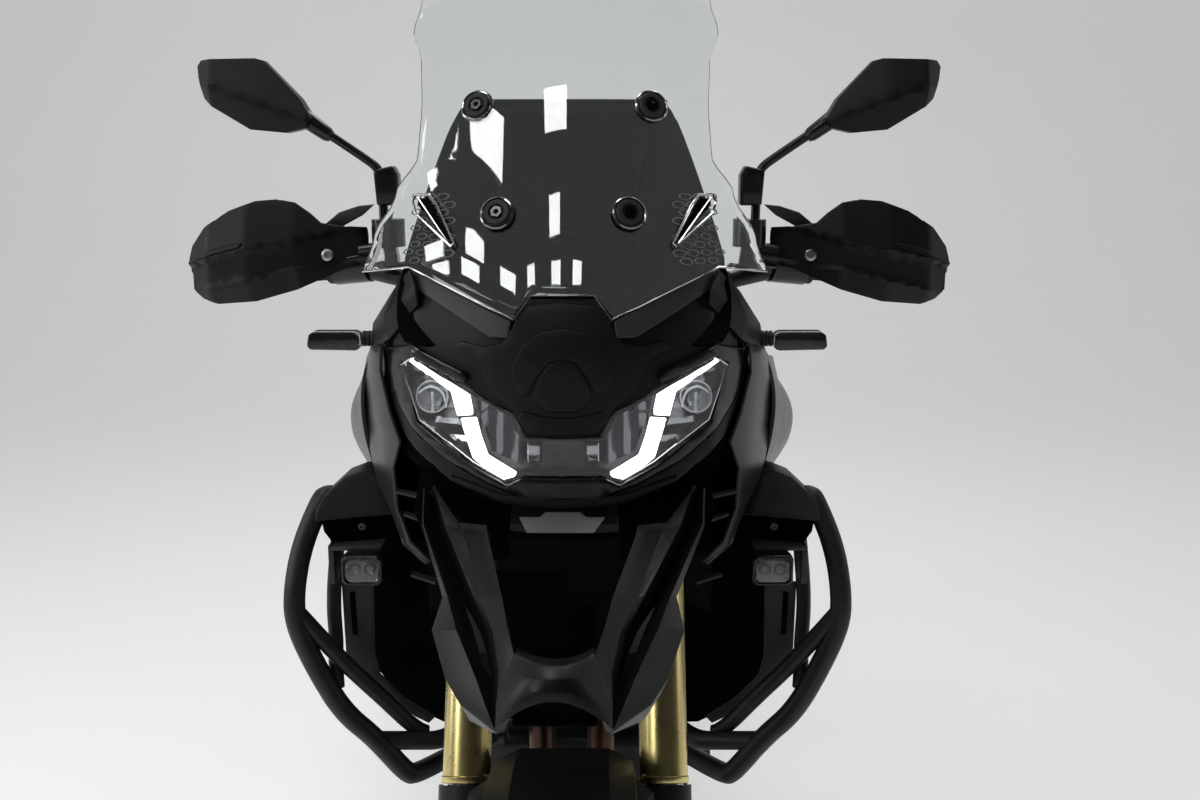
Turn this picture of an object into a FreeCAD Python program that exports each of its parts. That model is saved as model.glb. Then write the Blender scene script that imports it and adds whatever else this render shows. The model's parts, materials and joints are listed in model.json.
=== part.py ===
"""An adventure motorcycle on its centre stand, as separate sub-parts in one frame.

X points to the rider's left, Y to the rear and Z up. The origin is on the ground, in the
middle of the overall length. Lengths are in millimetres and angles in degrees.
"""
import FreeCAD, Part
import math
import os

# Whole machine
OVERALL_LENGTH = 2270.0
WHEELBASE = 1560.0
RAKE = 27.5
TRAIL = 115.0
REAR_WHEEL_LIFT = 20.0

# Tyres and rims
FRONT_TYRE_RADIUS = 347.7
FRONT_TYRE_WIDTH = 90.0
FRONT_RIM_SEAT = 266.7
FRONT_BEAD_HALF = 27.5
REAR_TYRE_RADIUS = 320.9
REAR_TYRE_WIDTH = 150.0
REAR_RIM_SEAT = 215.9
REAR_BEAD_HALF = 50.0
RIM_FLANGE = 9.0
SPOKE_COUNT = 32
SPOKE_RADIUS = 2.2

# Axles, brakes and clearances
AXLE_RADIUS = 10.0
AXLE_BORE = 8.0
RUNNING_GAP = 0.5
SEAT_GAP = 0.3
FRONT_DISC_RADIUS = 160.0
REAR_DISC_RADIUS = 132.5
DISC_THICKNESS = 4.5
PAD_GAP = 5.0
FRONT_HUB_HALF = 66.0
REAR_HUB_HALF = 80.0

# Fork and steering
FORK_SPACING = 220.0
FORK_OFFSET = 28.0
OUTER_TUBE_RADIUS = 27.0
STANCHION_RADIUS = 21.5
OUTER_TUBE_LOW = 707.0
OUTER_TUBE_TOP = 1244.0
STEM_RADIUS = 17.0
HEAD_TUBE_RADIUS = 33.0
HEAD_LOW = 1040.0
HEAD_TOP = 1204.0
LOWER_YOKE_LOW = 994.0
LOWER_YOKE_HEIGHT = 38.0
UPPER_YOKE_LOW = 1211.0
UPPER_YOKE_HEIGHT = 24.0
YOKE_CLAMP_RADIUS = 35.0

# Handlebar
BAR_RADIUS = 11.2
BAR_SLEEVE_RADIUS = 14.3
BAR_HEIGHT = 1150.0
BAR_BACK = 460.0
GRIP_RADIUS = 16.5

# Chain drive
CHAIN_PITCH = 15.875
FRONT_TEETH = 17
REAR_TEETH = 44
CHAIN_LINE = 92.0
CHAIN_HALF_WIDTH = 9.0
LINK_HALF_HEIGHT = 7.5
LINK_THICKNESS = 4.0
SPROCKET_THICKNESS = 6.0
FRONT_SPROCKET_BACK = 890.0
FRONT_SPROCKET_HEIGHT = 400.0

# Frame
SPAR_RADIUS = 19.0
SUBFRAME_RADIUS = 12.0
PIVOT_BACK = 965.0
PIVOT_HEIGHT = 395.0
PIVOT_PLATE_INNER = 112.0
PIVOT_PLATE_THICKNESS = 14.0
ARM_INNER = 108.0
ARM_OUTER = 138.0

# Engine
CASE_HALF_WIDTH = 140.0
CASE_LOW = 275.0
CASE_TOP = 505.0
CASE_FRONT = 555.0
CASE_REAR = 830.0
CYLINDER_HALF_WIDTH = 98.0
HEADER_RADIUS = 19.0

# Stands
CENTRE_STAND_BACK = 1030.0
CENTRE_STAND_HEIGHT = 285.0
SIDE_STAND_BACK = 880.0
SIDE_STAND_HEIGHT = 262.0
SIDE_STAND_ACROSS = 168.0

# Guards, bars and sheets
CRASH_BAR_RADIUS = 13.0
CRASH_BAR_BEND = 60.0
SHEET = 3.0
SCREEN_THICKNESS = 4.0
SCREEN_FOOT_BACK = 190.0
SCREEN_FOOT_HEIGHT = 1157.0
SCREEN_TOP = 1535.0
SCREEN_LEAN = 0.5
SCREEN_CURVE = 0.0016

CRUMB_SHARE = 0.02

SIN_RAKE = math.sin(math.radians(RAKE))
COS_RAKE = math.cos(math.radians(RAKE))
FRONT_AXLE_Y = FRONT_TYRE_RADIUS - OVERALL_LENGTH / 2
FRONT_AXLE_Z = FRONT_TYRE_RADIUS
REAR_AXLE_Z = REAR_TYRE_RADIUS + REAR_WHEEL_LIFT
WHEEL_OFFSET = FRONT_AXLE_Z * SIN_RAKE - TRAIL * COS_RAKE
AXLE_ALONG = FRONT_AXLE_Z * COS_RAKE + TRAIL * SIN_RAKE
LEG_X = FORK_SPACING / 2
FRONT_PITCH_RADIUS = CHAIN_PITCH / (2 * math.sin(math.pi / FRONT_TEETH))
REAR_PITCH_RADIUS = CHAIN_PITCH / (2 * math.sin(math.pi / REAR_TEETH))
ACROSS = FreeCAD.Vector(1, 0, 0)
REARWARD = FreeCAD.Vector(0, 1, 0)
UP = FreeCAD.Vector(0, 0, 1)
STEERING = FreeCAD.Vector(0, SIN_RAKE, COS_RAKE)


# Points and basic solids

def at(x, back, z):
    """A point x to the left, a distance back of the front axle and a height z."""
    return FreeCAD.Vector(x, FRONT_AXLE_Y + back, z)


def beside(x, ahead, along):
    """A point near the steering axis: across, ahead of the axis, and along it from the ground."""
    back = along * SIN_RAKE - TRAIL - ahead * COS_RAKE
    return at(x, back, along * COS_RAKE + ahead * SIN_RAKE)


def rod(start, end, radius):
    """A round bar between two points."""
    run = end - start
    return Part.makeCylinder(radius, run.Length, start, run)


def box(low, high):
    """A block between its lowest and highest corners."""
    size = high - low
    return Part.makeBox(size.x, size.y, size.z, low)


def unit(vector):
    """A copy of a vector with length one."""
    return vector / vector.Length


def bend_path(points, bend):
    """A wire of straight runs joined by tangent arcs."""
    edges = []
    start = points[0]
    for before, corner, after in zip(points, points[1:], points[2:]):
        back = unit(before - corner)
        on = unit(after - corner)
        half_turn = (math.pi - back.getAngle(on)) / 2
        room = 0.48 * min((before - corner).Length, (after - corner).Length)
        reach = min(bend * math.tan(half_turn), room)
        radius = reach / math.tan(half_turn)
        inward = unit(back + on)
        middle = corner + inward * (radius / math.cos(half_turn) - radius)
        edges.append(Part.LineSegment(start, corner + back * reach).toShape())
        edges.append(Part.Arc(corner + back * reach, middle, corner + on * reach).toShape())
        start = corner + on * reach
    edges.append(Part.LineSegment(start, points[-1]).toShape())
    return Part.Wire(edges)


def bent_tube(points, radius, bend):
    """A round tube along straight runs and arcs."""
    section = Part.Wire(Part.makeCircle(radius, points[0], points[1] - points[0]))
    return bend_path(points, bend).makePipeShell([section], True, False)


def rounded_wire(points, radius):
    """A closed plane outline whose corners are rounded."""
    if radius <= 0:
        return Part.makePolygon(points + [points[0]])
    edges = []
    count = len(points)
    spots = []
    for index, corner in enumerate(points):
        back = points[index - 1] - corner
        on = points[(index + 1) % count] - corner
        half_turn = (math.pi - back.getAngle(on)) / 2
        reach = min(radius * math.tan(half_turn), 0.45 * min(back.Length, on.Length))
        depth = reach / math.tan(half_turn) * (1 / math.cos(half_turn) - 1)
        inward = unit(unit(back) + unit(on))
        spots.append((corner + unit(back) * reach, corner + inward * depth, corner + unit(on) * reach))
    for index, (enter, middle, leave) in enumerate(spots):
        edges.append(Part.Arc(enter, middle, leave).toShape())
        edges.append(Part.LineSegment(leave, spots[(index + 1) % count][0]).toShape())
    return Part.Wire(edges)


def plate(points, depth, radius=0.0):
    """A plane outline, given as points, extruded by a vector."""
    return Part.Face(rounded_wire(points, radius)).extrude(depth)


def loft(sections, radius=0.0):
    """A straight-sided solid through plane sections with the same number of points."""
    return Part.makeLoft([rounded_wire(points, radius) for points in sections], True, True)


def turned(outline, centre):
    """A solid of revolution about a line across the machine, from (x, radius) pairs."""
    points = [centre + FreeCAD.Vector(x, 0, radius) for x, radius in outline]
    face = Part.Face(Part.makePolygon(points + [points[0]]))
    return face.revolve(centre, ACROSS, 360)


def fused(shapes):
    """One shape from several."""
    whole = shapes[0].multiFuse(shapes[1:]) if len(shapes) > 1 else shapes[0]
    return whole.removeSplitter()


def mirrored(shape):
    """The same shape on the other side of the machine."""
    return shape.mirror(FreeCAD.Vector(0, 0, 0), ACROSS)


def seated(shape, *neighbours):
    """A shape trimmed where it meets its neighbours, without the crumbs of the cut."""
    rest = shape.cut(Part.makeCompound(list(neighbours)))
    largest = max(solid.Volume for solid in rest.Solids)
    return Part.makeCompound([solid for solid in rest.Solids if solid.Volume > largest * CRUMB_SHARE])


def both(shape):
    """A shape and its mirror image, apart from each other."""
    return Part.makeCompound([shape, mirrored(shape)])


def sheet(loop, middle, depth):
    """A thin panel: a fan of triangles about a middle point, thickened by a vector."""
    wedges = []
    for index, point in enumerate(loop):
        corners = [point, loop[(index + 1) % len(loop)], middle, point]
        wedges.append(Part.Face(Part.makePolygon(corners)).extrude(depth))
    return fused(wedges)


def sector(outline, centre, start, sweep):
    """A solid turned about a line across the machine, from one angle through a sweep.

    The outline is in (x, radius) pairs. Angle 0 points up, and a positive one to the rear.
    """
    points = [centre + FreeCAD.Vector(x, 0, radius) for x, radius in outline]
    face = Part.Face(Part.makePolygon(points + [points[0]]))
    face.rotate(centre, ACROSS, -start)
    return face.revolve(centre, ACROSS, -sweep)


# Wheels

FRONT_AXLE = at(0, 0, FRONT_AXLE_Z)
REAR_AXLE = at(0, WHEELBASE, REAR_AXLE_Z)


def tyre(centre, outer, seat, width, bead):
    """A tyre with a round crown, seated on its rim."""
    height = outer - seat
    edges = []
    marks = {
        "bead": (bead, seat), "wall": (bead, seat + 0.12 * height),
        "belly": (width / 2, seat + 0.42 * height),
        "shoulder": (0.9 * width / 2, outer - 0.28 * height), "crown": (0.0, outer),
    }
    right = {name: centre + FreeCAD.Vector(x, 0, r) for name, (x, r) in marks.items()}
    left = {name: centre + FreeCAD.Vector(-x, 0, r) for name, (x, r) in marks.items()}
    edges.append(Part.LineSegment(left["bead"], right["bead"]).toShape())
    edges.append(Part.LineSegment(right["bead"], right["wall"]).toShape())
    edges.append(Part.Arc(right["wall"], right["belly"], right["shoulder"]).toShape())
    edges.append(Part.Arc(right["shoulder"], right["crown"], left["shoulder"]).toShape())
    edges.append(Part.Arc(left["shoulder"], left["belly"], left["wall"]).toShape())
    edges.append(Part.LineSegment(left["wall"], left["bead"]).toShape())
    return Part.Face(Part.Wire(edges)).revolve(centre, ACROSS, 360)


def wire_wheel(centre, seat, bead, hub_half, hub_radius, flange_x):
    """A rim, a hub with two flanges and crossed spokes between them."""
    well = seat - 14
    lip = seat + RIM_FLANGE
    rim = turned([
        (-bead - 6, lip), (-bead, lip), (-bead, seat), (bead, seat), (bead, lip), (bead + 6, lip),
        (bead + 6, seat - 6), (bead * 0.45, well), (-bead * 0.45, well), (-bead - 6, seat - 6),
    ], centre)
    bore = AXLE_RADIUS + RUNNING_GAP
    hub = turned([(-hub_half, bore), (-hub_half, hub_radius), (hub_half, hub_radius), (hub_half, bore)],
                 centre)
    flange_radius = hub_radius + 16
    flanges = [
        turned([(x - 3, bore + 2), (x - 3, flange_radius), (x + 3, flange_radius), (x + 3, bore + 2)], centre)
        for x in (-flange_x, flange_x)
    ]
    spokes = []
    step = 360.0 / SPOKE_COUNT
    for index in range(SPOKE_COUNT):
        side = 1 if index % 2 else -1
        lean = 26 if index % 4 < 2 else -26
        hub_angle = math.radians(index * step + lean)
        rim_angle = math.radians(index * step)
        inner = flange_radius - 5
        outer = well + 3
        start = FreeCAD.Vector(side * flange_x, inner * math.sin(hub_angle), inner * math.cos(hub_angle))
        end = FreeCAD.Vector(side * 6, outer * math.sin(rim_angle), outer * math.cos(rim_angle))
        spokes.append(rod(centre + start, centre + end, SPOKE_RADIUS))
    return fused([rim, hub] + flanges + spokes)


def disc(centre, x, radius, inner, thickness=DISC_THICKNESS):
    """A brake disc on its carrier, whose inner face is at x and whose hole has an inner radius."""
    outward = math.copysign(thickness, x)
    face = centre + FreeCAD.Vector(x, 0, 0)
    ring = Part.makeCylinder(radius, thickness, face, ACROSS * outward)
    hole = Part.makeCylinder(inner, thickness, face, ACROSS * outward)
    windows = []
    for index in range(5):
        angle = 2 * math.pi * index / 5
        spot = FreeCAD.Vector(0, math.sin(angle), math.cos(angle)) * (radius * 0.52)
        windows.append(Part.makeCylinder(radius * 0.14, thickness, face + spot, ACROSS * outward))
    return ring.cut(Part.makeCompound([hole] + windows))


def front_wheel_parts():
    """The front tyre, wire wheel and pair of discs."""
    tyre_solid = tyre(FRONT_AXLE, FRONT_TYRE_RADIUS, FRONT_RIM_SEAT, FRONT_TYRE_WIDTH, FRONT_BEAD_HALF)
    wheel = wire_wheel(FRONT_AXLE, FRONT_RIM_SEAT, FRONT_BEAD_HALF, FRONT_HUB_HALF, 24.0, 36.0)
    inner = AXLE_RADIUS + RUNNING_GAP
    discs = [disc(FRONT_AXLE, side * FRONT_HUB_HALF, FRONT_DISC_RADIUS, inner) for side in (-1, 1)]
    return {"front_tyre": tyre_solid, "front_wire_wheel": wheel, "front_discs": Part.makeCompound(discs)}


def rear_wheel_parts():
    """The rear tyre, wire wheel, disc on the right and sprocket on the left."""
    tyre_solid = tyre(REAR_AXLE, REAR_TYRE_RADIUS, REAR_RIM_SEAT, REAR_TYRE_WIDTH, REAR_BEAD_HALF)
    wheel = wire_wheel(REAR_AXLE, REAR_RIM_SEAT, REAR_BEAD_HALF, REAR_HUB_HALF, 34.0, 46.0)
    inner = AXLE_RADIUS + RUNNING_GAP
    disc_solid = disc(REAR_AXLE, -REAR_HUB_HALF, REAR_DISC_RADIUS, inner)
    root_radius = REAR_PITCH_RADIUS - 5.0
    tip_radius = REAR_PITCH_RADIUS + 5.0
    half = SPROCKET_THICKNESS / 2
    carrier_half = (CHAIN_LINE - half - REAR_HUB_HALF) / 2
    carrier = disc(REAR_AXLE, REAR_HUB_HALF, 62.0, inner, 2 * carrier_half)
    face = REAR_AXLE + ACROSS * (CHAIN_LINE - half)
    outline = []
    for index in range(2 * REAR_TEETH):
        angle = math.pi * index / REAR_TEETH
        radius = tip_radius if index % 2 else root_radius
        outline.append(face + FreeCAD.Vector(0, radius * math.sin(angle), radius * math.cos(angle)))
    blank = plate(outline, ACROSS * SPROCKET_THICKNESS)
    holes = [Part.makeCylinder(inner, SPROCKET_THICKNESS, face, ACROSS)]
    for index in range(6):
        angle = math.pi * index / 3
        spot = FreeCAD.Vector(0, math.sin(angle), math.cos(angle)) * 82.0
        holes.append(Part.makeCylinder(13.0, SPROCKET_THICKNESS, face + spot, ACROSS))
    sprocket = fused([blank.cut(Part.makeCompound(holes)), carrier])
    return {"rear_tyre": tyre_solid, "rear_wire_wheel": wheel, "rear_disc": disc_solid,
            "rear_sprocket": sprocket}


# Fork, yokes and front axle

def fork_outer_tubes():
    """The upper, outer tubes of the upside-down fork, each with a collar at its lower end."""
    tubes = []
    for side in (-1, 1):
        low = beside(side * LEG_X, FORK_OFFSET, OUTER_TUBE_LOW)
        tube = rod(low, beside(side * LEG_X, FORK_OFFSET, OUTER_TUBE_TOP), OUTER_TUBE_RADIUS)
        collar = Part.makeCylinder(OUTER_TUBE_RADIUS + 2.5, 20.0, low, STEERING)
        bore = Part.makeCylinder(STANCHION_RADIUS + SEAT_GAP, 140.0, low, STEERING)
        tubes.append(tube.fuse(collar).cut(bore).removeSplitter())
    return Part.makeCompound(tubes)


def fork_lower_legs():
    """The bright inner tubes with their axle clamps."""
    legs = []
    for side in (-1, 1):
        foot = beside(side * LEG_X, FORK_OFFSET, AXLE_ALONG - 22)
        tube = rod(foot, beside(side * LEG_X, FORK_OFFSET, OUTER_TUBE_LOW + 120), STANCHION_RADIUS)
        clamp_start = beside(side * (LEG_X - 23), WHEEL_OFFSET, AXLE_ALONG)
        clamp = Part.makeCylinder(27.0, 46.0, clamp_start, ACROSS * side)
        web_points = [
            beside(side * (LEG_X - 20), FORK_OFFSET - 18, AXLE_ALONG - 22),
            beside(side * (LEG_X - 20), WHEEL_OFFSET + 18, AXLE_ALONG - 16),
            beside(side * (LEG_X - 20), WHEEL_OFFSET + 10, AXLE_ALONG + 30),
            beside(side * (LEG_X - 20), FORK_OFFSET + 16, AXLE_ALONG + 88),
            beside(side * (LEG_X - 20), FORK_OFFSET - 26, AXLE_ALONG + 88),
            beside(side * (LEG_X - 20), FORK_OFFSET - 44, AXLE_ALONG + 60),
        ]
        web = plate(web_points, ACROSS * side * 40.0)
        bore = rod(at(side * 60, 0, FRONT_AXLE_Z), at(side * 160, 0, FRONT_AXLE_Z),
                   AXLE_RADIUS + SEAT_GAP / 2)
        legs.append(fused([tube, clamp, web]).cut(bore))
    return Part.makeCompound(legs)


def front_axle():
    """The hollow front axle with the collars that space the hub from the fork."""
    inner_face = LEG_X - 23
    axle = rod(at(-LEG_X - 26, 0, FRONT_AXLE_Z), at(LEG_X + 26, 0, FRONT_AXLE_Z), AXLE_RADIUS)
    start = FRONT_HUB_HALF + DISC_THICKNESS + RUNNING_GAP
    collars = [
        rod(at(side * start, 0, FRONT_AXLE_Z), at(side * (inner_face - SEAT_GAP), 0, FRONT_AXLE_Z), 17.0)
        for side in (-1, 1)
    ]
    bore = rod(at(-LEG_X - 26, 0, FRONT_AXLE_Z), at(LEG_X + 26, 0, FRONT_AXLE_Z), AXLE_BORE)
    return fused([axle] + collars).cut(bore)


def yoke(low, height):
    """One fork yoke: two clamps and the web that joins them to the stem."""
    base = beside(0, 0, low)
    depth = STEERING * height
    web = plate([
        beside(-LEG_X, FORK_OFFSET + 22, low), beside(-40, 34, low), beside(40, 34, low),
        beside(LEG_X, FORK_OFFSET + 22, low), beside(LEG_X, FORK_OFFSET - 22, low),
        beside(34, -30, low), beside(-34, -30, low), beside(-LEG_X, FORK_OFFSET - 22, low),
    ], depth)
    clamps = [
        Part.makeCylinder(YOKE_CLAMP_RADIUS, height, beside(side * LEG_X, FORK_OFFSET, low), STEERING)
        for side in (-1, 1)
    ]
    boss = Part.makeCylinder(31.0, height, base, STEERING)
    return fused([web, boss] + clamps)


def yokes():
    """Both yokes, the stem between them, its top nut and the two handlebar risers."""
    lower = yoke(LOWER_YOKE_LOW, LOWER_YOKE_HEIGHT)
    upper = yoke(UPPER_YOKE_LOW, UPPER_YOKE_HEIGHT)
    upper_top = UPPER_YOKE_LOW + UPPER_YOKE_HEIGHT
    stem = rod(beside(0, 0, LOWER_YOKE_LOW), beside(0, 0, upper_top), STEM_RADIUS)
    nut = Part.makeCylinder(16.0, 9.0, beside(0, 0, upper_top), STEERING)
    bar_centre = at(0, BAR_BACK, BAR_HEIGHT)
    bar_along = (bar_centre - beside(0, 0, 0)).dot(STEERING)
    ahead_vector = beside(0, 1, 0) - beside(0, 0, 0)
    bar_ahead = (bar_centre - beside(0, 0, 0)).dot(ahead_vector)
    risers = []
    for side in (-1, 1):
        foot = [beside(side * 45 + dx, bar_ahead + df, upper_top - 4)
                for dx, df in ((-15, -20), (15, -20), (15, 20), (-15, 20))]
        risers.append(plate(foot, STEERING * (bar_along + 22 - upper_top + 4), 4.0))
    legs = Part.makeCompound([
        rod(beside(side * LEG_X, FORK_OFFSET, OUTER_TUBE_LOW),
            beside(side * LEG_X, FORK_OFFSET, OUTER_TUBE_TOP + 9),
            OUTER_TUBE_RADIUS + SEAT_GAP / 2)
        for side in (-1, 1)
    ])
    bar_hole = rod(at(-70, BAR_BACK, BAR_HEIGHT), at(70, BAR_BACK, BAR_HEIGHT),
                   BAR_SLEEVE_RADIUS + SEAT_GAP / 2)
    return fused([lower, upper, stem, nut] + risers).cut(legs).cut(bar_hole)


# Handlebar, controls, handguards and mirrors. Each side is made on the left and mirrored.

BAR_POINTS = [(430, 556, 1168), (290, 520, 1184), (112, BAR_BACK, BAR_HEIGHT)]
GRIP_START = 0.12
GRIP_END = 0.93


def bar_end():
    """The outer end of the handlebar on the left."""
    return at(*BAR_POINTS[0])


def grip_point(share):
    """A point on the straight grip run, at a share of its length from the inner end."""
    inner = at(*BAR_POINTS[1])
    return inner + (bar_end() - inner) * share


def handlebar():
    """A tapered handlebar with a thick middle."""
    left = [at(x, back, z) for x, back, z in BAR_POINTS]
    right = [at(-x, back, z) for x, back, z in reversed(BAR_POINTS)]
    bar = bent_tube(left + right, BAR_RADIUS, 70.0)
    sleeve = rod(at(-92, BAR_BACK, BAR_HEIGHT), at(92, BAR_BACK, BAR_HEIGHT), BAR_SLEEVE_RADIUS)
    return bar.fuse(sleeve).removeSplitter()


def grips():
    """Ribbed rubber grips with a bar-end weight each."""
    grip = rod(grip_point(GRIP_START), grip_point(GRIP_END), GRIP_RADIUS)
    collar = rod(grip_point(GRIP_START), grip_point(GRIP_START + 0.06), GRIP_RADIUS + 6)
    return seated(both(fused([grip, collar])), handlebar())


def bar_controls():
    """The lever, its master cylinder and the switch pod inboard of each grip."""
    pod = rod(grip_point(-0.22), grip_point(GRIP_START - 0.01), 24.0)
    clamp = rod(grip_point(-0.46), grip_point(-0.22), 19.0)
    cylinder = rod(at(215, 470, 1206), at(262, 466, 1200), 15.0)
    bridge = plate([at(222, 512, 1182), at(222, 462, 1196), at(222, 466, 1214), at(222, 512, 1206)],
                   ACROSS * 26.0)
    lever = bent_tube([at(250, 478, 1200), at(300, 478, 1192), at(395, 490, 1178)], 6.0, 60.0)
    reservoir = Part.makeCylinder(21.0, 34.0, at(226, 470, 1212), UP)
    return seated(both(fused([pod, clamp, bridge, cylinder, lever, reservoir])), handlebar())


GUARD_LOOP = [
    (254, 476, 1198), (260, 470, 1237), (298, 460.5, 1240), (328, 448, 1262), (368, 440, 1270),
    (408, 438, 1250),
    (452, 450, 1230), (482, 476, 1180), (470, 464, 1150), (436, 444, 1140), (368, 440, 1147),
    (298, 461, 1184),
]
GUARD_MIDDLE = (372, 424, 1206)


def handguards():
    """Closed handguards: a shell in front of each grip and a strap back to the bar's end."""
    shell = sheet([at(*spot) for spot in GUARD_LOOP], at(*GUARD_MIDDLE), REARWARD * 6.0)
    strap = plate([at(450, 456, 1158), at(478, 468, 1158), at(458, 578, 1158), at(434, 578, 1158)], UP * 22.0)
    boss = rod(bar_end() + ACROSS * SEAT_GAP, bar_end() + ACROSS * 16.0, 14.0)
    inner_arm = plate([at(254, 472, 1200), at(268, 470, 1200), at(268, 500, 1200), at(254, 500, 1200)],
                      UP * 12.0)
    grip_hole = rod(grip_point(0.0), grip_point(1.0), GRIP_RADIUS + SEAT_GAP)
    solid = fused([shell, strap, boss]).cut(grip_hole)
    lever_room = bar_controls()
    return both(solid.fuse(inner_arm.cut(lever_room)).removeSplitter())


MIRROR_LOOP = [
    (334, 500, 1392), (376, 500, 1443), (462, 500, 1445), (470, 500, 1432),
    (459, 500, 1396), (406, 500, 1360), (355, 500, 1361), (338, 500, 1372),
]


def mirrors():
    """Angular mirrors on their stems."""
    loop = [at(*spot) for spot in MIRROR_LOOP]
    head = plate(loop, REARWARD * 24.0, 6.0)
    stem = bent_tube([at(345, 512, 1374), at(242, 514, 1312), at(238, 506, 1202)], 6.0, 20.0)
    foot = Part.makeCylinder(10.0, 14.0, at(238, 506, 1200), UP)
    return seated(both(fused([head, stem, foot])), handlebar())


# Low front mudguard, fork guards and front calipers

FORK_GUARD_LOW = 505.0
MUDGUARD_OUTLINE = [
    (-78, 352), (-74, 368), (-48, 380), (48, 380), (74, 368), (78, 352),
    (75, 352), (71, 366), (47, 376.5), (-47, 376.5), (-71, 366), (-75, 352),
]


def front_mudguard():
    """The low mudguard over the tyre, with raised wings ahead of the fork."""
    guard = sector(MUDGUARD_OUTLINE, FRONT_AXLE, -48.0, 122.0)
    wings = []
    for side in (-1, 1):
        loop = [at(side * 52, 96, 712), at(side * 92, 60, 700), at(side * 96, 10, 690),
                at(side * 84, -60, 676),
                at(side * 52, -90, 700), at(side * 44, 0, 726)]
        wings.append(sheet(loop, at(side * 78, 20, 708), UP * -5.0))
    return fused([guard] + wings)


def fork_guards():
    """The shields that cover the front of each bright fork tube."""
    guards = []
    for side in (-1, 1):
        low = beside(side * LEG_X, FORK_OFFSET, FORK_GUARD_LOW)
        length = OUTER_TUBE_LOW - 5 - FORK_GUARD_LOW
        shell = Part.makeCylinder(31.0, length, low, STEERING)
        core = Part.makeCylinder(27.5, length, low, STEERING)
        cutter = plate([
            beside(side * LEG_X - 40, FORK_OFFSET - 6, OUTER_TUBE_LOW - 320),
            beside(side * LEG_X + 40, FORK_OFFSET - 6, OUTER_TUBE_LOW - 320),
            beside(side * LEG_X + 40, FORK_OFFSET - 60, OUTER_TUBE_LOW - 320),
            beside(side * LEG_X - 40, FORK_OFFSET - 60, OUTER_TUBE_LOW - 320),
        ], STEERING * 340.0)
        grip_ring = Part.makeCylinder(31.0, 12.0, low, STEERING)
        stanchion = Part.makeCylinder(STANCHION_RADIUS + SEAT_GAP, length, low, STEERING)
        guards.append(fused([shell.cut(core), grip_ring.cut(stanchion)]).cut(cutter))
    return guards


def front_guards():
    """The mudguard and the two fork guards, joined by the brackets at the tyre's sides."""
    guards = fork_guards()
    brackets = []
    for side in (-1, 1):
        brackets.append(plate([
            at(side * 75, 92, 694), at(side * 75, 152, 642), at(side * 75, 190, 604), at(side * 75, 160, 575),
        ], ACROSS * side * 6.0))
    return fused([front_mudguard()] + guards + brackets)


def caliper(centre, x, radius, angle, half_width):
    """A caliper block with a slot for its disc, at an angle from the top, positive to the rear."""
    turn = math.radians(angle)
    outward = FreeCAD.Vector(0, math.sin(turn), math.cos(turn))
    along = FreeCAD.Vector(0, math.cos(turn), -math.sin(turn))
    middle = centre + ACROSS * x + outward * (radius - 22)
    corners = [
        middle + along * -58 + outward * -24, middle + along * 58 + outward * -24,
        middle + along * 46 + outward * 44, middle + along * -46 + outward * 44,
    ]
    block = plate([corner - ACROSS * half_width for corner in corners], ACROSS * (2 * half_width), 10.0)
    slot_half = DISC_THICKNESS / 2 + PAD_GAP
    slot = Part.makeCylinder(radius + PAD_GAP, 2 * slot_half, centre + ACROSS * (x - slot_half), ACROSS)
    return block.cut(slot)


def front_calipers():
    """Both front calipers, each on its lug behind the fork leg."""
    solids = []
    legs = fork_lower_legs()
    for side in (-1, 1):
        x = side * (FRONT_HUB_HALF + DISC_THICKNESS / 2)
        block = caliper(FRONT_AXLE, x, FRONT_DISC_RADIUS, 72.0, 25.0)
        lug = plate([
            beside(side * (LEG_X - 14), FORK_OFFSET - 20, AXLE_ALONG + 40),
            beside(side * (LEG_X - 14), FORK_OFFSET - 20, AXLE_ALONG + 86),
            beside(side * (LEG_X - 14), FORK_OFFSET - 100, AXLE_ALONG + 66),
            beside(side * (LEG_X - 14), FORK_OFFSET - 100, AXLE_ALONG + 6),
        ], ACROSS * side * 12.0)
        solids.append(fused([block, lug]).cut(legs))
    return Part.makeCompound(solids)


# Frame, swingarm and shock

SPAR_POINTS = [(16, 418, 990), (58, 492, 946), (128, 640, 852), (128, 880, 640), (121, 950, 530),
               (119, 962, 470)]
CRADLE_POINTS = [(12, 396, 948), (46, 505, 905), (70, 540, 800), (104, 545, 620), (118, 552, 520)]
SUBFRAME_UPPER = [(116, 846, 676), (106, 1000, 770), (100, 1330, 800), (92, 1660, 862)]
SUBFRAME_LOWER = [(119, 975, 520), (112, 1120, 640), (104, 1500, 812)]


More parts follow.
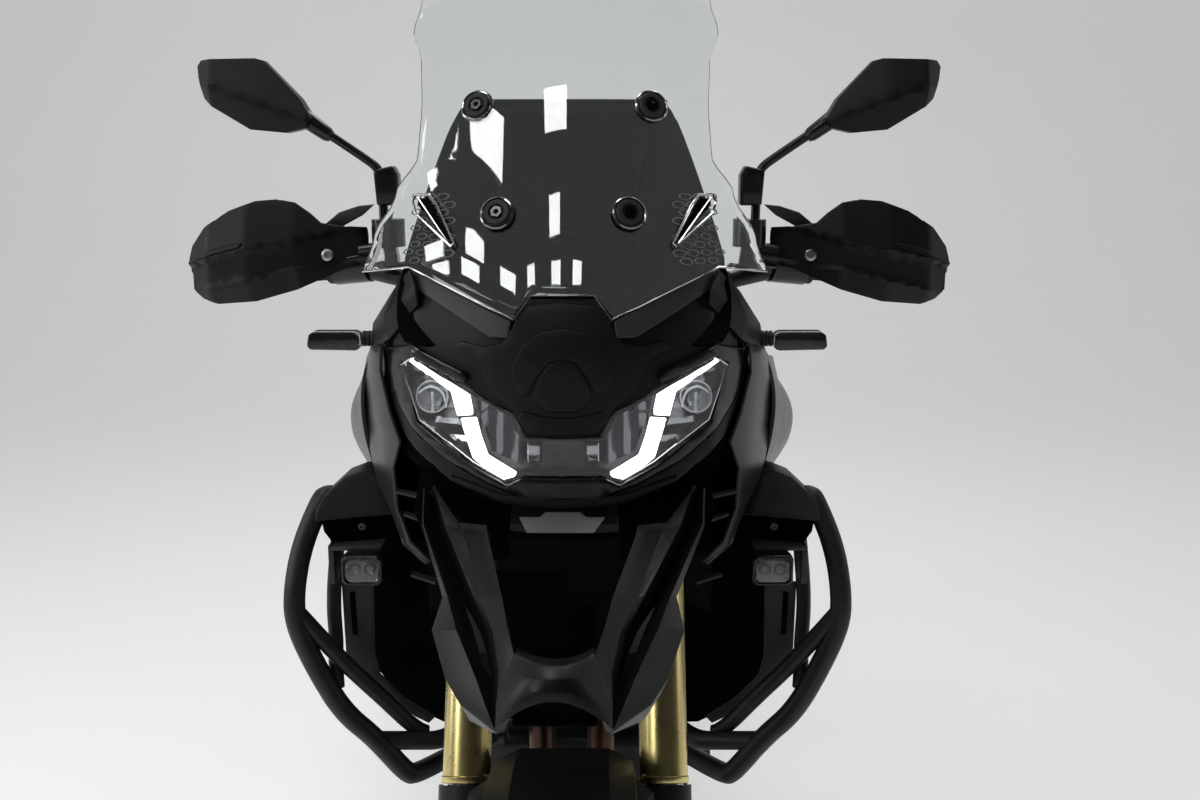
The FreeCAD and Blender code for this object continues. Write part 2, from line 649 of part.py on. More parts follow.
def main_frame():
    """The steel frame: head tube, two spars, two front tubes and the pivot plates."""
    head = rod(beside(0, 0, HEAD_LOW), beside(0, 0, HEAD_TOP), HEAD_TUBE_RADIUS)
    shapes = [head]
    for side in (-1, 1):
        spar = bent_tube([at(side * x, back, z) for x, back, z in SPAR_POINTS], SPAR_RADIUS, 70.0)
        front = bent_tube([at(side * x, back, z) for x, back, z in CRADLE_POINTS], 15.0, 60.0)
        inner = side * PIVOT_PLATE_INNER
        plate_points = [
            at(inner, 925, 520), at(inner, 995, 520), at(inner, 1010, 400), at(inner, 1050, 304),
            at(inner, 1050, 266), at(inner, 1000, 262), at(inner, 935, 330),
        ]
        side_plate = plate(plate_points, ACROSS * side * PIVOT_PLATE_THICKNESS, 12.0)
        lug = rod(at(side * 98, 548, 505), at(side * 126, 548, 505), 20.0)
        shapes += [spar, front, side_plate, lug]
    bridge = rod(at(-128, 760, 745), at(128, 760, 745), 14.0)
    rear_bridge = rod(at(-121, 950, 530), at(121, 950, 530), 14.0)
    bore = rod(beside(0, 0, HEAD_LOW - 50), beside(0, 0, HEAD_TOP + 50), STEM_RADIUS + RUNNING_GAP)
    outer = PIVOT_PLATE_INNER + PIVOT_PLATE_THICKNESS
    bolt_hole = rod(at(-outer, PIVOT_BACK, PIVOT_HEIGHT), at(outer, PIVOT_BACK, PIVOT_HEIGHT), AXLE_RADIUS)
    stand_hole = rod(at(-outer, CENTRE_STAND_BACK, CENTRE_STAND_HEIGHT),
                     at(outer, CENTRE_STAND_BACK, CENTRE_STAND_HEIGHT), 8.0 + RUNNING_GAP)
    return fused(shapes + [bridge, rear_bridge]).cut(bore).cut(bolt_hole).cut(stand_hole)


def subframe(radius=SUBFRAME_RADIUS):
    """The rear frame that carries the seats and the rack, or the room that it takes at another radius."""
    shapes = []
    for side in (-1, 1):
        shapes.append(bent_tube([at(side * x, back, z) for x, back, z in SUBFRAME_UPPER], radius, 90.0))
        shapes.append(bent_tube([at(side * x, back, z) for x, back, z in SUBFRAME_LOWER], radius, 90.0))
    for back, z in ((1000, 770), (1500, 832), (1655, 861)):
        shapes.append(rod(at(-100, back, z), at(100, back, z), radius - 2.0))
    return fused(shapes)


def swingarm():
    """The two-sided swingarm with the rear axle and its adjusters."""
    sleeve = PIVOT_PLATE_INNER - SEAT_GAP
    shapes = [rod(at(-sleeve, PIVOT_BACK, PIVOT_HEIGHT), at(sleeve, PIVOT_BACK, PIVOT_HEIGHT), 25.0)]
    brace = plate([
        at(-ARM_OUTER, 1046, 347), at(-ARM_OUTER, 1150, 347), at(ARM_OUTER, 1150, 347),
        at(ARM_OUTER, 1046, 347),
    ], UP * 75.0)
    neck = plate([at(-70, 960, 366), at(-70, 1050, 350), at(-70, 1050, 420), at(-70, 960, 420)],
                 ACROSS * 140.0)
    shapes += [brace, neck]
    arm_end = WHEELBASE + 50
    for side in (-1, 1):
        inner = side * ARM_INNER
        arm = plate([
            at(inner, 1046, 344), at(inner, 1046, 424), at(inner, 1160, 424), at(inner, WHEELBASE - 60, 372),
            at(inner, arm_end, 366), at(inner, arm_end, 316), at(inner, WHEELBASE - 60, 312),
            at(inner, 1160, 340),
        ], ACROSS * side * (ARM_OUTER - ARM_INNER), 8.0)
        shapes.append(arm)
    axle_half = ARM_OUTER + 8
    axle = rod(at(-axle_half, WHEELBASE, REAR_AXLE_Z), at(axle_half, WHEELBASE, REAR_AXLE_Z), AXLE_RADIUS)
    left_start = CHAIN_LINE + SPROCKET_THICKNESS / 2 + RUNNING_GAP
    right_start = REAR_HUB_HALF + DISC_THICKNESS + RUNNING_GAP
    spacers = [
        rod(at(left_start, WHEELBASE, REAR_AXLE_Z), at(ARM_INNER, WHEELBASE, REAR_AXLE_Z), 18.0),
        rod(at(-ARM_INNER, WHEELBASE, REAR_AXLE_Z), at(-right_start, WHEELBASE, REAR_AXLE_Z), 18.0),
    ]
    caps = [
        rod(at(side * ARM_OUTER, WHEELBASE, REAR_AXLE_Z), at(side * axle_half, WHEELBASE, REAR_AXLE_Z), 17.0)
        for side in (-1, 1)
    ]
    bore = rod(at(-axle_half, WHEELBASE, REAR_AXLE_Z), at(axle_half, WHEELBASE, REAR_AXLE_Z), AXLE_BORE)
    pivot_bore = rod(at(-sleeve, PIVOT_BACK, PIVOT_HEIGHT), at(sleeve, PIVOT_BACK, PIVOT_HEIGHT), AXLE_RADIUS)
    return fused(shapes + [axle] + spacers + caps).cut(bore).cut(pivot_bore)


def pivot_bolt():
    """The bolt that the swingarm turns on, with a head at each end."""
    outer = PIVOT_PLATE_INNER + PIVOT_PLATE_THICKNESS
    reach = AXLE_RADIUS - SEAT_GAP / 2
    bolt = rod(at(-outer - 6, PIVOT_BACK, PIVOT_HEIGHT), at(outer + 6, PIVOT_BACK, PIVOT_HEIGHT), reach)
    heads = [
        rod(at(side * outer, PIVOT_BACK, PIVOT_HEIGHT), at(side * (outer + 8), PIVOT_BACK, PIVOT_HEIGHT),
            17.0)
        for side in (-1, 1)
    ]
    return fused([bolt] + heads)


def rear_shock():
    """The spring and damper between the frame and the swingarm."""
    top = at(0, 1016, 742)
    foot = at(0, 1072, 423)
    run = unit(foot - top)
    body = rod(top, foot, 17.0)
    spring_start = top + run * 50
    coils = [rod(spring_start + run * (index * 24), spring_start + run * (index * 24 + 14),
                 33.0) for index in range(9)]
    caps = [rod(top + run * 34, top + run * 50, 36.0), rod(top + run * 266, top + run * 280, 34.0)]
    eye = rod(at(-22, 1016, 752), at(22, 1016, 752), 18.0)
    return fused([body, eye] + coils + caps)


def rear_caliper():
    """The rear caliper above the right arm, with its bracket on the axle."""
    x = -(REAR_HUB_HALF + DISC_THICKNESS / 2)
    block = caliper(REAR_AXLE, x, REAR_DISC_RADIUS, -38.0, 24.0)
    bracket = plate([
        at(x - 14, WHEELBASE - 30, 350), at(x - 14, WHEELBASE + 30, 350), at(x - 14, WHEELBASE - 40, 440),
        at(x - 14, WHEELBASE - 120, 452),
    ], ACROSS * -(ARM_INNER + x - 14))
    return fused([block, bracket])


# Engine and what hangs on it

def engine():
    """The twin-cylinder engine: cases, cylinder block, head and round side covers."""
    cases = plate([
        at(-CASE_HALF_WIDTH, CASE_FRONT, 330), at(-CASE_HALF_WIDTH, 600, CASE_LOW),
        at(-CASE_HALF_WIDTH, CASE_REAR, CASE_LOW), at(-CASE_HALF_WIDTH, CASE_REAR, 470),
        at(-CASE_HALF_WIDTH, 790, CASE_TOP), at(-CASE_HALF_WIDTH, CASE_FRONT + 10, CASE_TOP - 20),
    ], ACROSS * (2 * CASE_HALF_WIDTH), 14.0)
    gearbox = box(at(-100, CASE_REAR - 10, 300), at(76, 926, 490))
    cylinder = plate([
        at(-CYLINDER_HALF_WIDTH, 590, 480), at(-CYLINDER_HALF_WIDTH, 770, 480),
        at(-CYLINDER_HALF_WIDTH, 740, 640), at(-CYLINDER_HALF_WIDTH, 566, 640),
    ], ACROSS * (2 * CYLINDER_HALF_WIDTH))
    head = plate([
        at(-102, 560, 636), at(-102, 744, 636), at(-102, 726, 722), at(-102, 700, 752),
        at(-102, 590, 752), at(-102, 556, 716),
    ], ACROSS * 204.0, 8.0)
    left_cover = rod(at(CASE_HALF_WIDTH - 4, 690, 372), at(CASE_HALF_WIDTH + 26, 690, 372), 84.0)
    left_boss = rod(at(CASE_HALF_WIDTH + 26, 690, 372), at(CASE_HALF_WIDTH + 34, 690, 372), 52.0)
    right_cover = rod(at(-CASE_HALF_WIDTH + 4, 742, 384), at(-CASE_HALF_WIDTH - 30, 742, 384), 92.0)
    right_boss = rod(at(-CASE_HALF_WIDTH - 30, 742, 384), at(-CASE_HALF_WIDTH - 38, 742, 384), 66.0)
    pump = rod(at(-CASE_HALF_WIDTH + 4, 628, 350), at(-CASE_HALF_WIDTH - 26, 628, 350), 34.0)
    shaft = rod(at(70, FRONT_SPROCKET_BACK, FRONT_SPROCKET_HEIGHT),
                at(CHAIN_LINE + 8, FRONT_SPROCKET_BACK, FRONT_SPROCKET_HEIGHT), 12.0)
    half = SPROCKET_THICKNESS / 2
    sprocket = rod(at(CHAIN_LINE - half, FRONT_SPROCKET_BACK, FRONT_SPROCKET_HEIGHT),
                   at(CHAIN_LINE + half, FRONT_SPROCKET_BACK, FRONT_SPROCKET_HEIGHT), FRONT_PITCH_RADIUS - 2)
    return fused([cases, gearbox, cylinder, head, left_cover, left_boss, right_cover, right_boss, pump,
                  shaft, sprocket])


def drive_chain():
    """The chain: an inner and an outer loop of side plates, joined by pins on its straight runs."""
    front = at(0, FRONT_SPROCKET_BACK, FRONT_SPROCKET_HEIGHT)
    rear = REAR_AXLE
    gap = rear - front
    distance = gap.Length
    tilt = math.atan2(gap.z, gap.y)
    spread = math.asin((REAR_PITCH_RADIUS - FRONT_PITCH_RADIUS) / distance)

    def rim_point(centre, radius, angle, x):
        return centre + FreeCAD.Vector(x, radius * math.cos(angle), radius * math.sin(angle))

    def loop(grow, x):
        upper = tilt + math.pi / 2 + spread
        lower = tilt - math.pi / 2 - spread
        front_radius = FRONT_PITCH_RADIUS + grow
        rear_radius = REAR_PITCH_RADIUS + grow
        corners = [
            rim_point(front, front_radius, upper, x), rim_point(rear, rear_radius, upper, x),
            rim_point(rear, rear_radius, tilt, x), rim_point(rear, rear_radius, lower, x),
            rim_point(front, front_radius, lower, x), rim_point(front, front_radius, tilt + math.pi, x),
        ]
        edges = [
            Part.LineSegment(corners[0], corners[1]).toShape(),
            Part.Arc(corners[1], corners[2], corners[3]).toShape(),
            Part.LineSegment(corners[3], corners[4]).toShape(),
            Part.Arc(corners[4], corners[5], corners[0]).toShape(),
        ]
        return Part.Face(Part.Wire(edges))

    shapes = []
    for side in (-1, 1):
        x = CHAIN_LINE + side * (CHAIN_HALF_WIDTH - LINK_THICKNESS / 2) - LINK_THICKNESS / 2
        ring = loop(LINK_HALF_HEIGHT, x).cut(loop(-LINK_HALF_HEIGHT, x))
        shapes.append(ring.extrude(ACROSS * LINK_THICKNESS))
    start = front.y + 75
    end = rear.y - REAR_PITCH_RADIUS - 20
    count = 14
    half = CHAIN_HALF_WIDTH - 1
    for turn in (1, -1):
        angle = tilt + turn * (math.pi / 2 + spread)
        first = rim_point(front, FRONT_PITCH_RADIUS, angle, CHAIN_LINE)
        last = rim_point(rear, REAR_PITCH_RADIUS, angle, CHAIN_LINE)
        for index in range(count):
            y = start + (end - start) * index / (count - 1)
            share = (y - first.y) / (last.y - first.y)
            spot = first + (last - first) * share
            shapes.append(rod(spot - ACROSS * half, spot + ACROSS * half, 4.0))
    for turn in (-40, 0, 40):
        spot = rim_point(front, FRONT_PITCH_RADIUS, tilt + math.pi + math.radians(turn), CHAIN_LINE)
        shapes.append(rod(spot - ACROSS * half, spot + ACROSS * half, 4.0))
    return fused(shapes)


HEADER_POINTS = [(45, 560, 672), (44, 508, 640), (40, 470, 560), (38, 476, 420), (36, 520, 268),
                 (34, 600, 243)]
LINK_POINTS = [(-30, 700, 243), (-60, 850, 243), (-152, 975, 262), (-172, 1085, 372), (-196, 1200, 520),
               (-204, 1345, 590)]


def exhaust_headers():
    """Two header pipes, their collector under the engine and the link to the silencer."""
    pipes = [
        bent_tube([at(side * x, back, z) for x, back, z in HEADER_POINTS], HEADER_RADIUS, 55.0)
        for side in (-1, 1)
    ]
    collector = loft([
        [at(-58, 592, 222), at(58, 592, 222), at(58, 592, 264), at(-58, 592, 264)],
        [at(-52, 716, 221), at(-8, 716, 221), at(-8, 716, 265), at(-52, 716, 265)],
    ], 12.0)
    link = bent_tube([at(*spot) for spot in LINK_POINTS], 21.0, 70.0)
    flanges = [rod(at(side * 45, 556, 674), at(side * 45, 548, 669), 30.0) for side in (-1, 1)]
    return fused(pipes + [collector, link] + flanges)


def silencer():
    """The raised silencer on the right, with a round outlet."""
    sections = []
    for back, z, wide, high in ((1345, 590, 36, 44), (1400, 602, 52, 68), (1700, 664, 54, 70),
                                (1770, 678, 36, 48)):
        sections.append([
            at(-204 - wide, back, z - high * 0.6), at(-204 - wide * 0.4, back, z - high),
            at(-204 + wide, back, z - high * 0.8),
            at(-204 + wide, back, z + high * 0.6), at(-204 + wide * 0.4, back, z + high),
            at(-204 - wide, back, z + high * 0.8),
        ])
    body = loft(sections, 14.0)
    outlet = rod(at(-204, 1760, 676), at(-204, 1796, 683), 24.0)
    bore = rod(at(-204, 1764, 676), at(-204, 1800, 684), 21.0)
    hanger = box(at(-154, 1520, 650), at(-104, 1550, 660))
    hanger_arm = box(at(-110, 1520, 650), at(-104, 1550, 838))
    return fused([body, outlet, hanger, hanger_arm]).cut(bore)


RADIATOR_TILT = 8.0


def radiator():
    """The radiator with its end tanks and fan shroud."""
    core = box(at(-150, 440, 608), at(150, 470, 846))
    tanks = [box(at(x, 434, 604), at(x + 34, 476, 850)) for x in (-184, 150)]
    shroud = box(at(-120, 470, 640), at(120, 488, 820))
    whole = fused([core, shroud] + tanks)
    whole.rotate(at(0, 455, 730), ACROSS, RADIATOR_TILT)
    return whole


def skid_plate():
    """The sheet under the engine, turned up at its front and sides."""
    outer = loft([
        [at(-118, 448, 392), at(118, 448, 392), at(118, 456, 398), at(-118, 456, 398)],
        [at(-140, 520, 208), at(140, 520, 208), at(140, 528, 214), at(-140, 528, 214)],
    ])
    floor = box(at(-140, 516, 206), at(140, 890, 212))
    sides = []
    for side in (-1, 1):
        sides.append(plate([
            at(side * 140, 520, 206), at(side * 140, 890, 206), at(side * 140, 890, 250),
            at(side * 140, 600, 262),
            at(side * 140, 552, 300), at(side * 140, 484, 300),
        ], ACROSS * side * 5.0))
    posts = [rod(at(side * 118, 640, 212), at(side * 118, 640, CASE_LOW), 9.0) for side in (-1, 1)]
    return fused([outer, floor] + sides + posts)


# Tank and seats. Sections are half outlines in (x, z) pairs at a distance back.

TANK_SECTIONS = [
    (505, [(96, 1072), (170, 1052), (206, 1006), (210, 950), (196, 914), (158, 914), (150, 968)]),
    (620, [(96, 1084), (178, 1060), (246, 1006), (254, 950), (236, 904), (166, 904), (156, 896)]),
    (760, [(86, 1062), (160, 1034), (226, 970), (232, 920), (214, 866), (164, 856), (156, 812)]),
    (900, [(66, 984), (124, 950), (172, 900), (176, 872), (166, 846), (150, 822), (134, 812)]),
    (985, [(54, 924), (92, 904), (118, 880), (124, 866), (122, 850), (116, 832), (108, 820)]),
]


def whole_section(back, half):
    """A closed section from its left half, at a distance back."""
    left = [at(x, back, z) for x, z in half]
    right = [at(-x, back, z) for x, z in reversed(half)]
    return left + right


LOCK_ROOM_GAP = 8.0
LOCK_ROOM_START = 24.0
LOCK_ROOM_SWEEP = 86.0


def lock_room():
    """The room beside the steering axis that the fork's tops and the yokes sweep towards full lock."""
    reach = math.hypot(LEG_X, FORK_OFFSET)
    far = reach + YOKE_CLAMP_RADIUS + LOCK_ROOM_GAP
    low, high = LOWER_YOKE_LOW, OUTER_TUBE_TOP + 40
    near = HEAD_TUBE_RADIUS
    corners = [beside(0, -near, low), beside(0, -far, low), beside(0, -far, high), beside(0, -near, high)]
    centre = beside(0, 0, low)
    rooms = []
    for side in (-1, 1):
        face = Part.Face(Part.makePolygon(corners + corners[:1]))
        face.rotate(centre, STEERING, side * LOCK_ROOM_START)
        rooms.append(face.revolve(centre, STEERING, side * LOCK_ROOM_SWEEP))
    return Part.makeCompound(rooms)


def fuel_tank():
    """The tank, arched over the frame and cut back beside the fork's tops, with a ring for its cap."""
    body = loft([whole_section(back, half) for back, half in TANK_SECTIONS], 12.0)
    cap_seat = Part.makeCylinder(44.0, 16.0, at(0, 640, 1068), UP)
    pads = [box(at(side * 128 - 12, 640, 846), at(side * 128 + 12, 682, 904)) for side in (-1, 1)]
    return fused([body, cap_seat] + pads).cut(lock_room())


CAP_HINGE_BACK = 682.0


def fuel_cap():
    """The round filler cap with the knuckle that it turns on."""
    top = 1084.0 + SEAT_GAP
    lid = Part.makeCylinder(40.0, 9.0, at(0, 640, top), UP)
    knuckle = rod(at(-12, CAP_HINGE_BACK, top + 5), at(12, CAP_HINGE_BACK, top + 5), 4.5)
    tongue = box(at(-12, 670, top), at(12, CAP_HINGE_BACK, top + 9))
    return fused([lid, knuckle, tongue])


RIDER_SEAT_SECTIONS = [
    (992, [(52, 900), (84, 892), (100, 868), (96, 838), (70, 832)]),
    (1080, [(70, 878), (120, 872), (148, 842), (140, 806), (90, 784)]),
    (1230, [(96, 872), (150, 868), (176, 842), (166, 812), (96, 798)]),
    (1338, [(92, 892), (142, 886), (164, 852), (150, 822), (92, 806)]),
]
PILLION_SECTIONS = [
    (1338.3, [(88, 940), (124, 930), (146, 896), (138, 830), (92, 808)]),
    (1480, [(92, 946), (134, 938), (154, 904), (142, 856), (92, 832)]),
    (1650, [(64, 950), (104, 942), (122, 920), (112, 886), (68, 866)]),
]


def rider_seat():
    """The rider's seat as a plain form."""
    return loft([whole_section(back, half) for back, half in RIDER_SEAT_SECTIONS], 14.0)


def pillion_seat():
    """The passenger's seat as a plain form."""
    return loft([whole_section(back, half) for back, half in PILLION_SECTIONS], 14.0)


# Tail

def tail_fairing():
    """The panels below the seats, closed at the rear."""
    shapes = []
    for side in (-1, 1):
        loop = [
            at(side * 128, 1010, 800), at(side * 150, 1120, 796), at(side * 150, 1330, 812),
            at(side * 128, 1600, 880),
            at(side * 96, 1716, 880), at(side * 96, 1716, 846), at(side * 122, 1560, 812),
            at(side * 140, 1300, 748),
            at(side * 134, 1080, 700), at(side * 126, 1010, 740),
        ]
        shapes.append(sheet(loop, at(side * 146, 1320, 790), ACROSS * side * -5.0))
    closing = box(at(-94, 1696, 846), at(94, 1702, 880))
    return fused(shapes + [closing])


RACK_TOP = 968.0
RACK_HOLE_SPACING = 120.0
RACK_HOLE_RADIUS = 4.3


def rear_rack():
    """The luggage plate with its slots and bolt holes, on the two grab rails."""
    deck = plate([
        at(-112, 1668, RACK_TOP - 8), at(112, 1668, RACK_TOP - 8), at(104, 1846, RACK_TOP - 8),
        at(-104, 1846, RACK_TOP - 8),
    ], UP * 8.0, 22.0)
    slots = [plate([
        at(x - 8, 1700, RACK_TOP - 8), at(x + 8, 1700, RACK_TOP - 8), at(x + 8, 1816, RACK_TOP - 8),
        at(x - 8, 1816, RACK_TOP - 8),
    ], UP * 8.0, 6.0) for x in (-34, 0, 34)]
    holes = [
        Part.makeCylinder(RACK_HOLE_RADIUS, 8.0,
                          at(side * RACK_HOLE_SPACING / 2, 1757 + end * RACK_HOLE_SPACING / 2, RACK_TOP - 8),
                          UP)
        for side in (-1, 1) for end in (-1, 1)
    ]
    shapes = [deck.cut(Part.makeCompound(slots + holes))]
    for side in (-1, 1):
        shapes.append(bent_tube([
            at(side * 92, 1662, 860), at(side * 136, 1674, 864), at(side * 170, 1610, 914),
            at(side * 168, 1648, 954),
            at(side * 100, 1706, 959),
        ], 8.0, 26.0))
    return fused(shapes)


def tail_lamp():
    """The tail lamp, closed on the tail's rear panel."""
    return plate([at(-52, 1702, 850), at(52, 1702, 850), at(62, 1702, 876), at(-62, 1702, 876)],
                 REARWARD * 26.0, 4.0)


TAIL_END = OVERALL_LENGTH - FRONT_TYRE_RADIUS


def rear_mudguard():
    """The plate hanger behind the rear wheel, with its blank plate."""
    low_end = TAIL_END - 44
    arm = loft([
        [at(-60, 1690, 800), at(60, 1690, 800), at(60, 1690, 842), at(-60, 1690, 842)],
        [at(-50, 1800, 720), at(50, 1800, 720), at(50, 1806, 752), at(-50, 1806, 752)],
        [at(-46, low_end, 600), at(46, low_end, 600), at(46, low_end + 14, 606), at(-46, low_end + 14, 606)],
    ])
    top, foot = TAIL_END - 76, TAIL_END - 6
    board = plate([at(-92, top, 690), at(92, top, 690), at(92, foot, 500), at(-92, foot, 500)],
                  FreeCAD.Vector(0, 6.0, 0))
    root = box(at(-60, 1600, 800), at(60, 1700, 820))
    post = box(at(-40, 1642, 816), at(40, 1666, 858))
    return fused([arm, board, root, post])


def indicators():
    """Four slim indicators, each on a short stem."""
    shapes = []
    for side in (-1, 1):
        front = [at(side * 232, 360, 1096), at(side * 312, 360, 1096), at(side * 308, 360, 1120),
                 at(side * 236, 360, 1122)]
        shapes.append(plate(front, REARWARD * 34.0, 4.0))
        shapes.append(rod(at(side * 212, 384, 1108), at(side * 246, 380, 1109), 8.0))
        rear = [at(side * 118, 1800, 706), at(side * 190, 1800, 706), at(side * 186, 1800, 730),
                at(side * 122, 1800, 730)]
        shapes.append(plate(rear, REARWARD * 30.0, 4.0))
        shapes.append(rod(at(side * 50, 1802, 730), at(side * 128, 1815, 718), 7.0))
    return fused(shapes)


# Pegs and stands

def footpegs():
    """The rider's and passenger's pegs with their hangers, the brake pedal and the gear lever."""
    outer = PIVOT_PLATE_INNER + PIVOT_PLATE_THICKNESS
    shapes = []
    for side in (-1, 1):
        rider_hanger = plate([
            at(side * outer, 930, 430), at(side * outer, 900, 452), at(side * outer, 868, 420),
            at(side * outer, 880, 396),
            at(side * outer, 934, 400),
        ], ACROSS * side * 24.0)
        peg = box(at(min(side * 172, side * 270), 876, 404), at(max(side * 172, side * 270), 930, 424))
        link = rod(at(side * 148, 902, 414), at(side * 176, 902, 414), 11.0)
        passenger_hanger = plate([
            at(side * 117, 1170, 690), at(side * 117, 1210, 700), at(side * 117, 1296, 540),
            at(side * 117, 1262, 530),
        ], ACROSS * side * 12.0)
        passenger_peg = rod(at(side * 129, 1278, 545), at(side * 250 if side > 0 else side * 150, 1278, 545),
                            13.0)
        shapes += [rider_hanger, peg, link, passenger_hanger, passenger_peg]
    pedal = bent_tube([at(-154, 890, 408), at(-176, 800, 372), at(-190, 700, 376)], 7.0, 30.0)
    pedal_pad = box(at(-222, 684, 374), at(-176, 716, 384))
    lever = bent_tube([at(154, 880, 408), at(178, 800, 372), at(182, 720, 380)], 6.0, 30.0)
    lever_pad = rod(at(176, 716, 381), at(216, 716, 381), 9.0)
    return fused(shapes + [pedal, pedal_pad, lever, lever_pad])


def centre_stand():
    """The centre stand: a cross tube on its pivots, two splayed legs and flat feet."""
    inner = PIVOT_PLATE_INNER - 2.0
    axis_start = at(-inner, CENTRE_STAND_BACK, CENTRE_STAND_HEIGHT)
    axis_end = at(inner, CENTRE_STAND_BACK, CENTRE_STAND_HEIGHT)
    cross = rod(axis_start, axis_end, 14.0)
    outer = PIVOT_PLATE_INNER + PIVOT_PLATE_THICKNESS + 4
    pin = rod(at(-outer, CENTRE_STAND_BACK, CENTRE_STAND_HEIGHT),
              at(outer, CENTRE_STAND_BACK, CENTRE_STAND_HEIGHT), 8.0)
    shapes = [cross, pin]
    foot_back = CENTRE_STAND_BACK - 16
    for side in (-1, 1):
        shapes.append(rod(at(side * 90, CENTRE_STAND_BACK, CENTRE_STAND_HEIGHT),
                          at(side * 140, foot_back, 6), 13.0))
        shapes.append(box(at(side * 140 - 22, foot_back - 34, 0), at(side * 140 + 22, foot_back + 34, 8)))
    shapes.append(rod(at(-124, CENTRE_STAND_BACK - 9, 110), at(124, CENTRE_STAND_BACK - 9, 110), 9.0))
    tang = bent_tube([at(136, CENTRE_STAND_BACK - 13, 60), at(170, CENTRE_STAND_BACK + 40, 66),
                      at(206, CENTRE_STAND_BACK + 90, 70)], 7.0, 20.0)
    below = box(at(-400, 600, -60), at(400, 1400, 0))
    return fused(shapes + [tang]).cut(below)


SIDE_STAND_REST = FreeCAD.Vector(0.08, 0.995, 0.05)
SIDE_STAND_DOWN = FreeCAD.Vector(0.40, -0.15, -0.90)
SIDE_STAND_AXIS = unit(SIDE_STAND_REST.cross(SIDE_STAND_DOWN))
SIDE_STAND_LENGTH = 310.0
SIDE_STAND_HALF = 14.0
SIDE_STAND_LEG_RADIUS = 12.0


def side_stand():
    """The side stand, folded back beside the left of the machine."""
    pivot = at(SIDE_STAND_ACROSS, SIDE_STAND_BACK, SIDE_STAND_HEIGHT)
    tip = pivot + unit(SIDE_STAND_REST) * SIDE_STAND_LENGTH
    leg = rod(pivot, tip, SIDE_STAND_LEG_RADIUS)
    knuckle = rod(pivot - SIDE_STAND_AXIS * SIDE_STAND_HALF, pivot + SIDE_STAND_AXIS * SIDE_STAND_HALF, 19.0)
    foot = box(tip + FreeCAD.Vector(-14, -26, -24), tip + FreeCAD.Vector(34, 26, -14))
    return fused([leg, knuckle, foot, rod(tip, tip - UP * 20, 10.0)])


def side_stand_bracket():
    """The bracket beside the knuckle that the side stand turns on."""
    pivot = at(SIDE_STAND_ACROSS, SIDE_STAND_BACK, SIDE_STAND_HEIGHT)
    face = pivot + SIDE_STAND_AXIS * (SIDE_STAND_HALF + RUNNING_GAP)
    lug = rod(face, face + SIDE_STAND_AXIS * 14, 20.0)
    inner = SIDE_STAND_ACROSS - SIDE_STAND_HALF * 2 - RUNNING_GAP
    arm = plate([
        at(inner, 866, 240), at(inner, 902, 240), at(inner, 985, 300), at(inner, 985, 350),
        at(inner, 940, 350),
    ], ACROSS * 12.0)
    knuckle_room = rod(face, face - SIDE_STAND_AXIS * 60, 26.0)
    return fused([lug, arm.cut(knuckle_room)])


# Nose, lamps, screen and beak

SCREEN_OUTLINE = [
    (0, 1181), (33, 1181), (51, 1157), (168, 1206), (224, 1198), (191, 1282), (161, 1324), (162, 1424),
    (176, 1462),
    (166, 1500), (120, SCREEN_TOP - 8), (0, SCREEN_TOP),
]


def screen_back(x, z):
    """How far back the screen's front face lies at a place across and a height."""
    return SCREEN_FOOT_BACK + (z - SCREEN_FOOT_HEIGHT) * SCREEN_LEAN + SCREEN_CURVE * x * x


def windscreen():
    """The tall clear screen: a curved sheet trimmed to its outline."""
    sections = []
    half_width = 240.0
    for z in (SCREEN_FOOT_HEIGHT - 20, SCREEN_TOP + 20):
        left = at(half_width, screen_back(half_width, z), z)
        middle = at(0, screen_back(0, z), z)
        right = at(-half_width, screen_back(half_width, z), z)
        shift = REARWARD * SCREEN_THICKNESS
        edges = [
            Part.Arc(left, middle, right).toShape(), Part.LineSegment(right, right + shift).toShape(),
            Part.Arc(right + shift, middle + shift, left + shift).toShape(),
            Part.LineSegment(left + shift, left).toShape(),
        ]
        sections.append(Part.Wire(edges))
    curved = Part.makeLoft(sections, True, True)
    half = [at(x, 0, z) for x, z in SCREEN_OUTLINE]
    other = [at(-x, 0, z) for x, z in reversed(SCREEN_OUTLINE[1:-1])]
    return curved.common(plate(half + other, REARWARD * 800.0))


FAIRING_WALL = 10.0
FAIRING_SECTIONS = [
    (276, [(176, 1180), (208, 1130), (203, 1108), (178, 1032), (128, 985)]),
    (320, [(180, 1186), (216, 1156), (224, 1100), (206, 1018), (166, 930)]),
    (400, [(188, 1150), (240, 1092), (256, 1021), (247, 960), (230, 900)]),
    (500, [(204, 1092), (262, 1058), (286, 1000), (282, 950), (262, 906)]),
    (620, [(206, 1070), (290, 1012), (322, 984), (326, 944), (300, 916)]),
    (700, [(204, 1056), (262, 992), (274, 962), (270, 928), (254, 898)]),
]


def side_fairings():
    """The shaped side panels from the lamps back over the sides of the tank."""
    sections = []
    for back, outer in FAIRING_SECTIONS:
        front = [at(x, back, z) for x, z in outer]
        inner = [at(x - FAIRING_WALL, back, z) for x, z in reversed(outer)]
        sections.append(front + inner)
    return loft(sections)


def nose_back(x, z):
    """How far back the lamps' front face lies at a place across and a height."""
    return 182.0 + 0.0021 * x * x + 0.02 * (z - 1000)


LAMP_OUTLINE = [
    (0, 1034), (43, 1036), (61, 1060), (109, 1084), (167, 1110), (181, 1104), (157, 1041), (109, 1021),
    (69, 984), (49, 993), (0, 993),
]
LAMP_DEPTH = 46.0
LENS_THICKNESS = 3.0

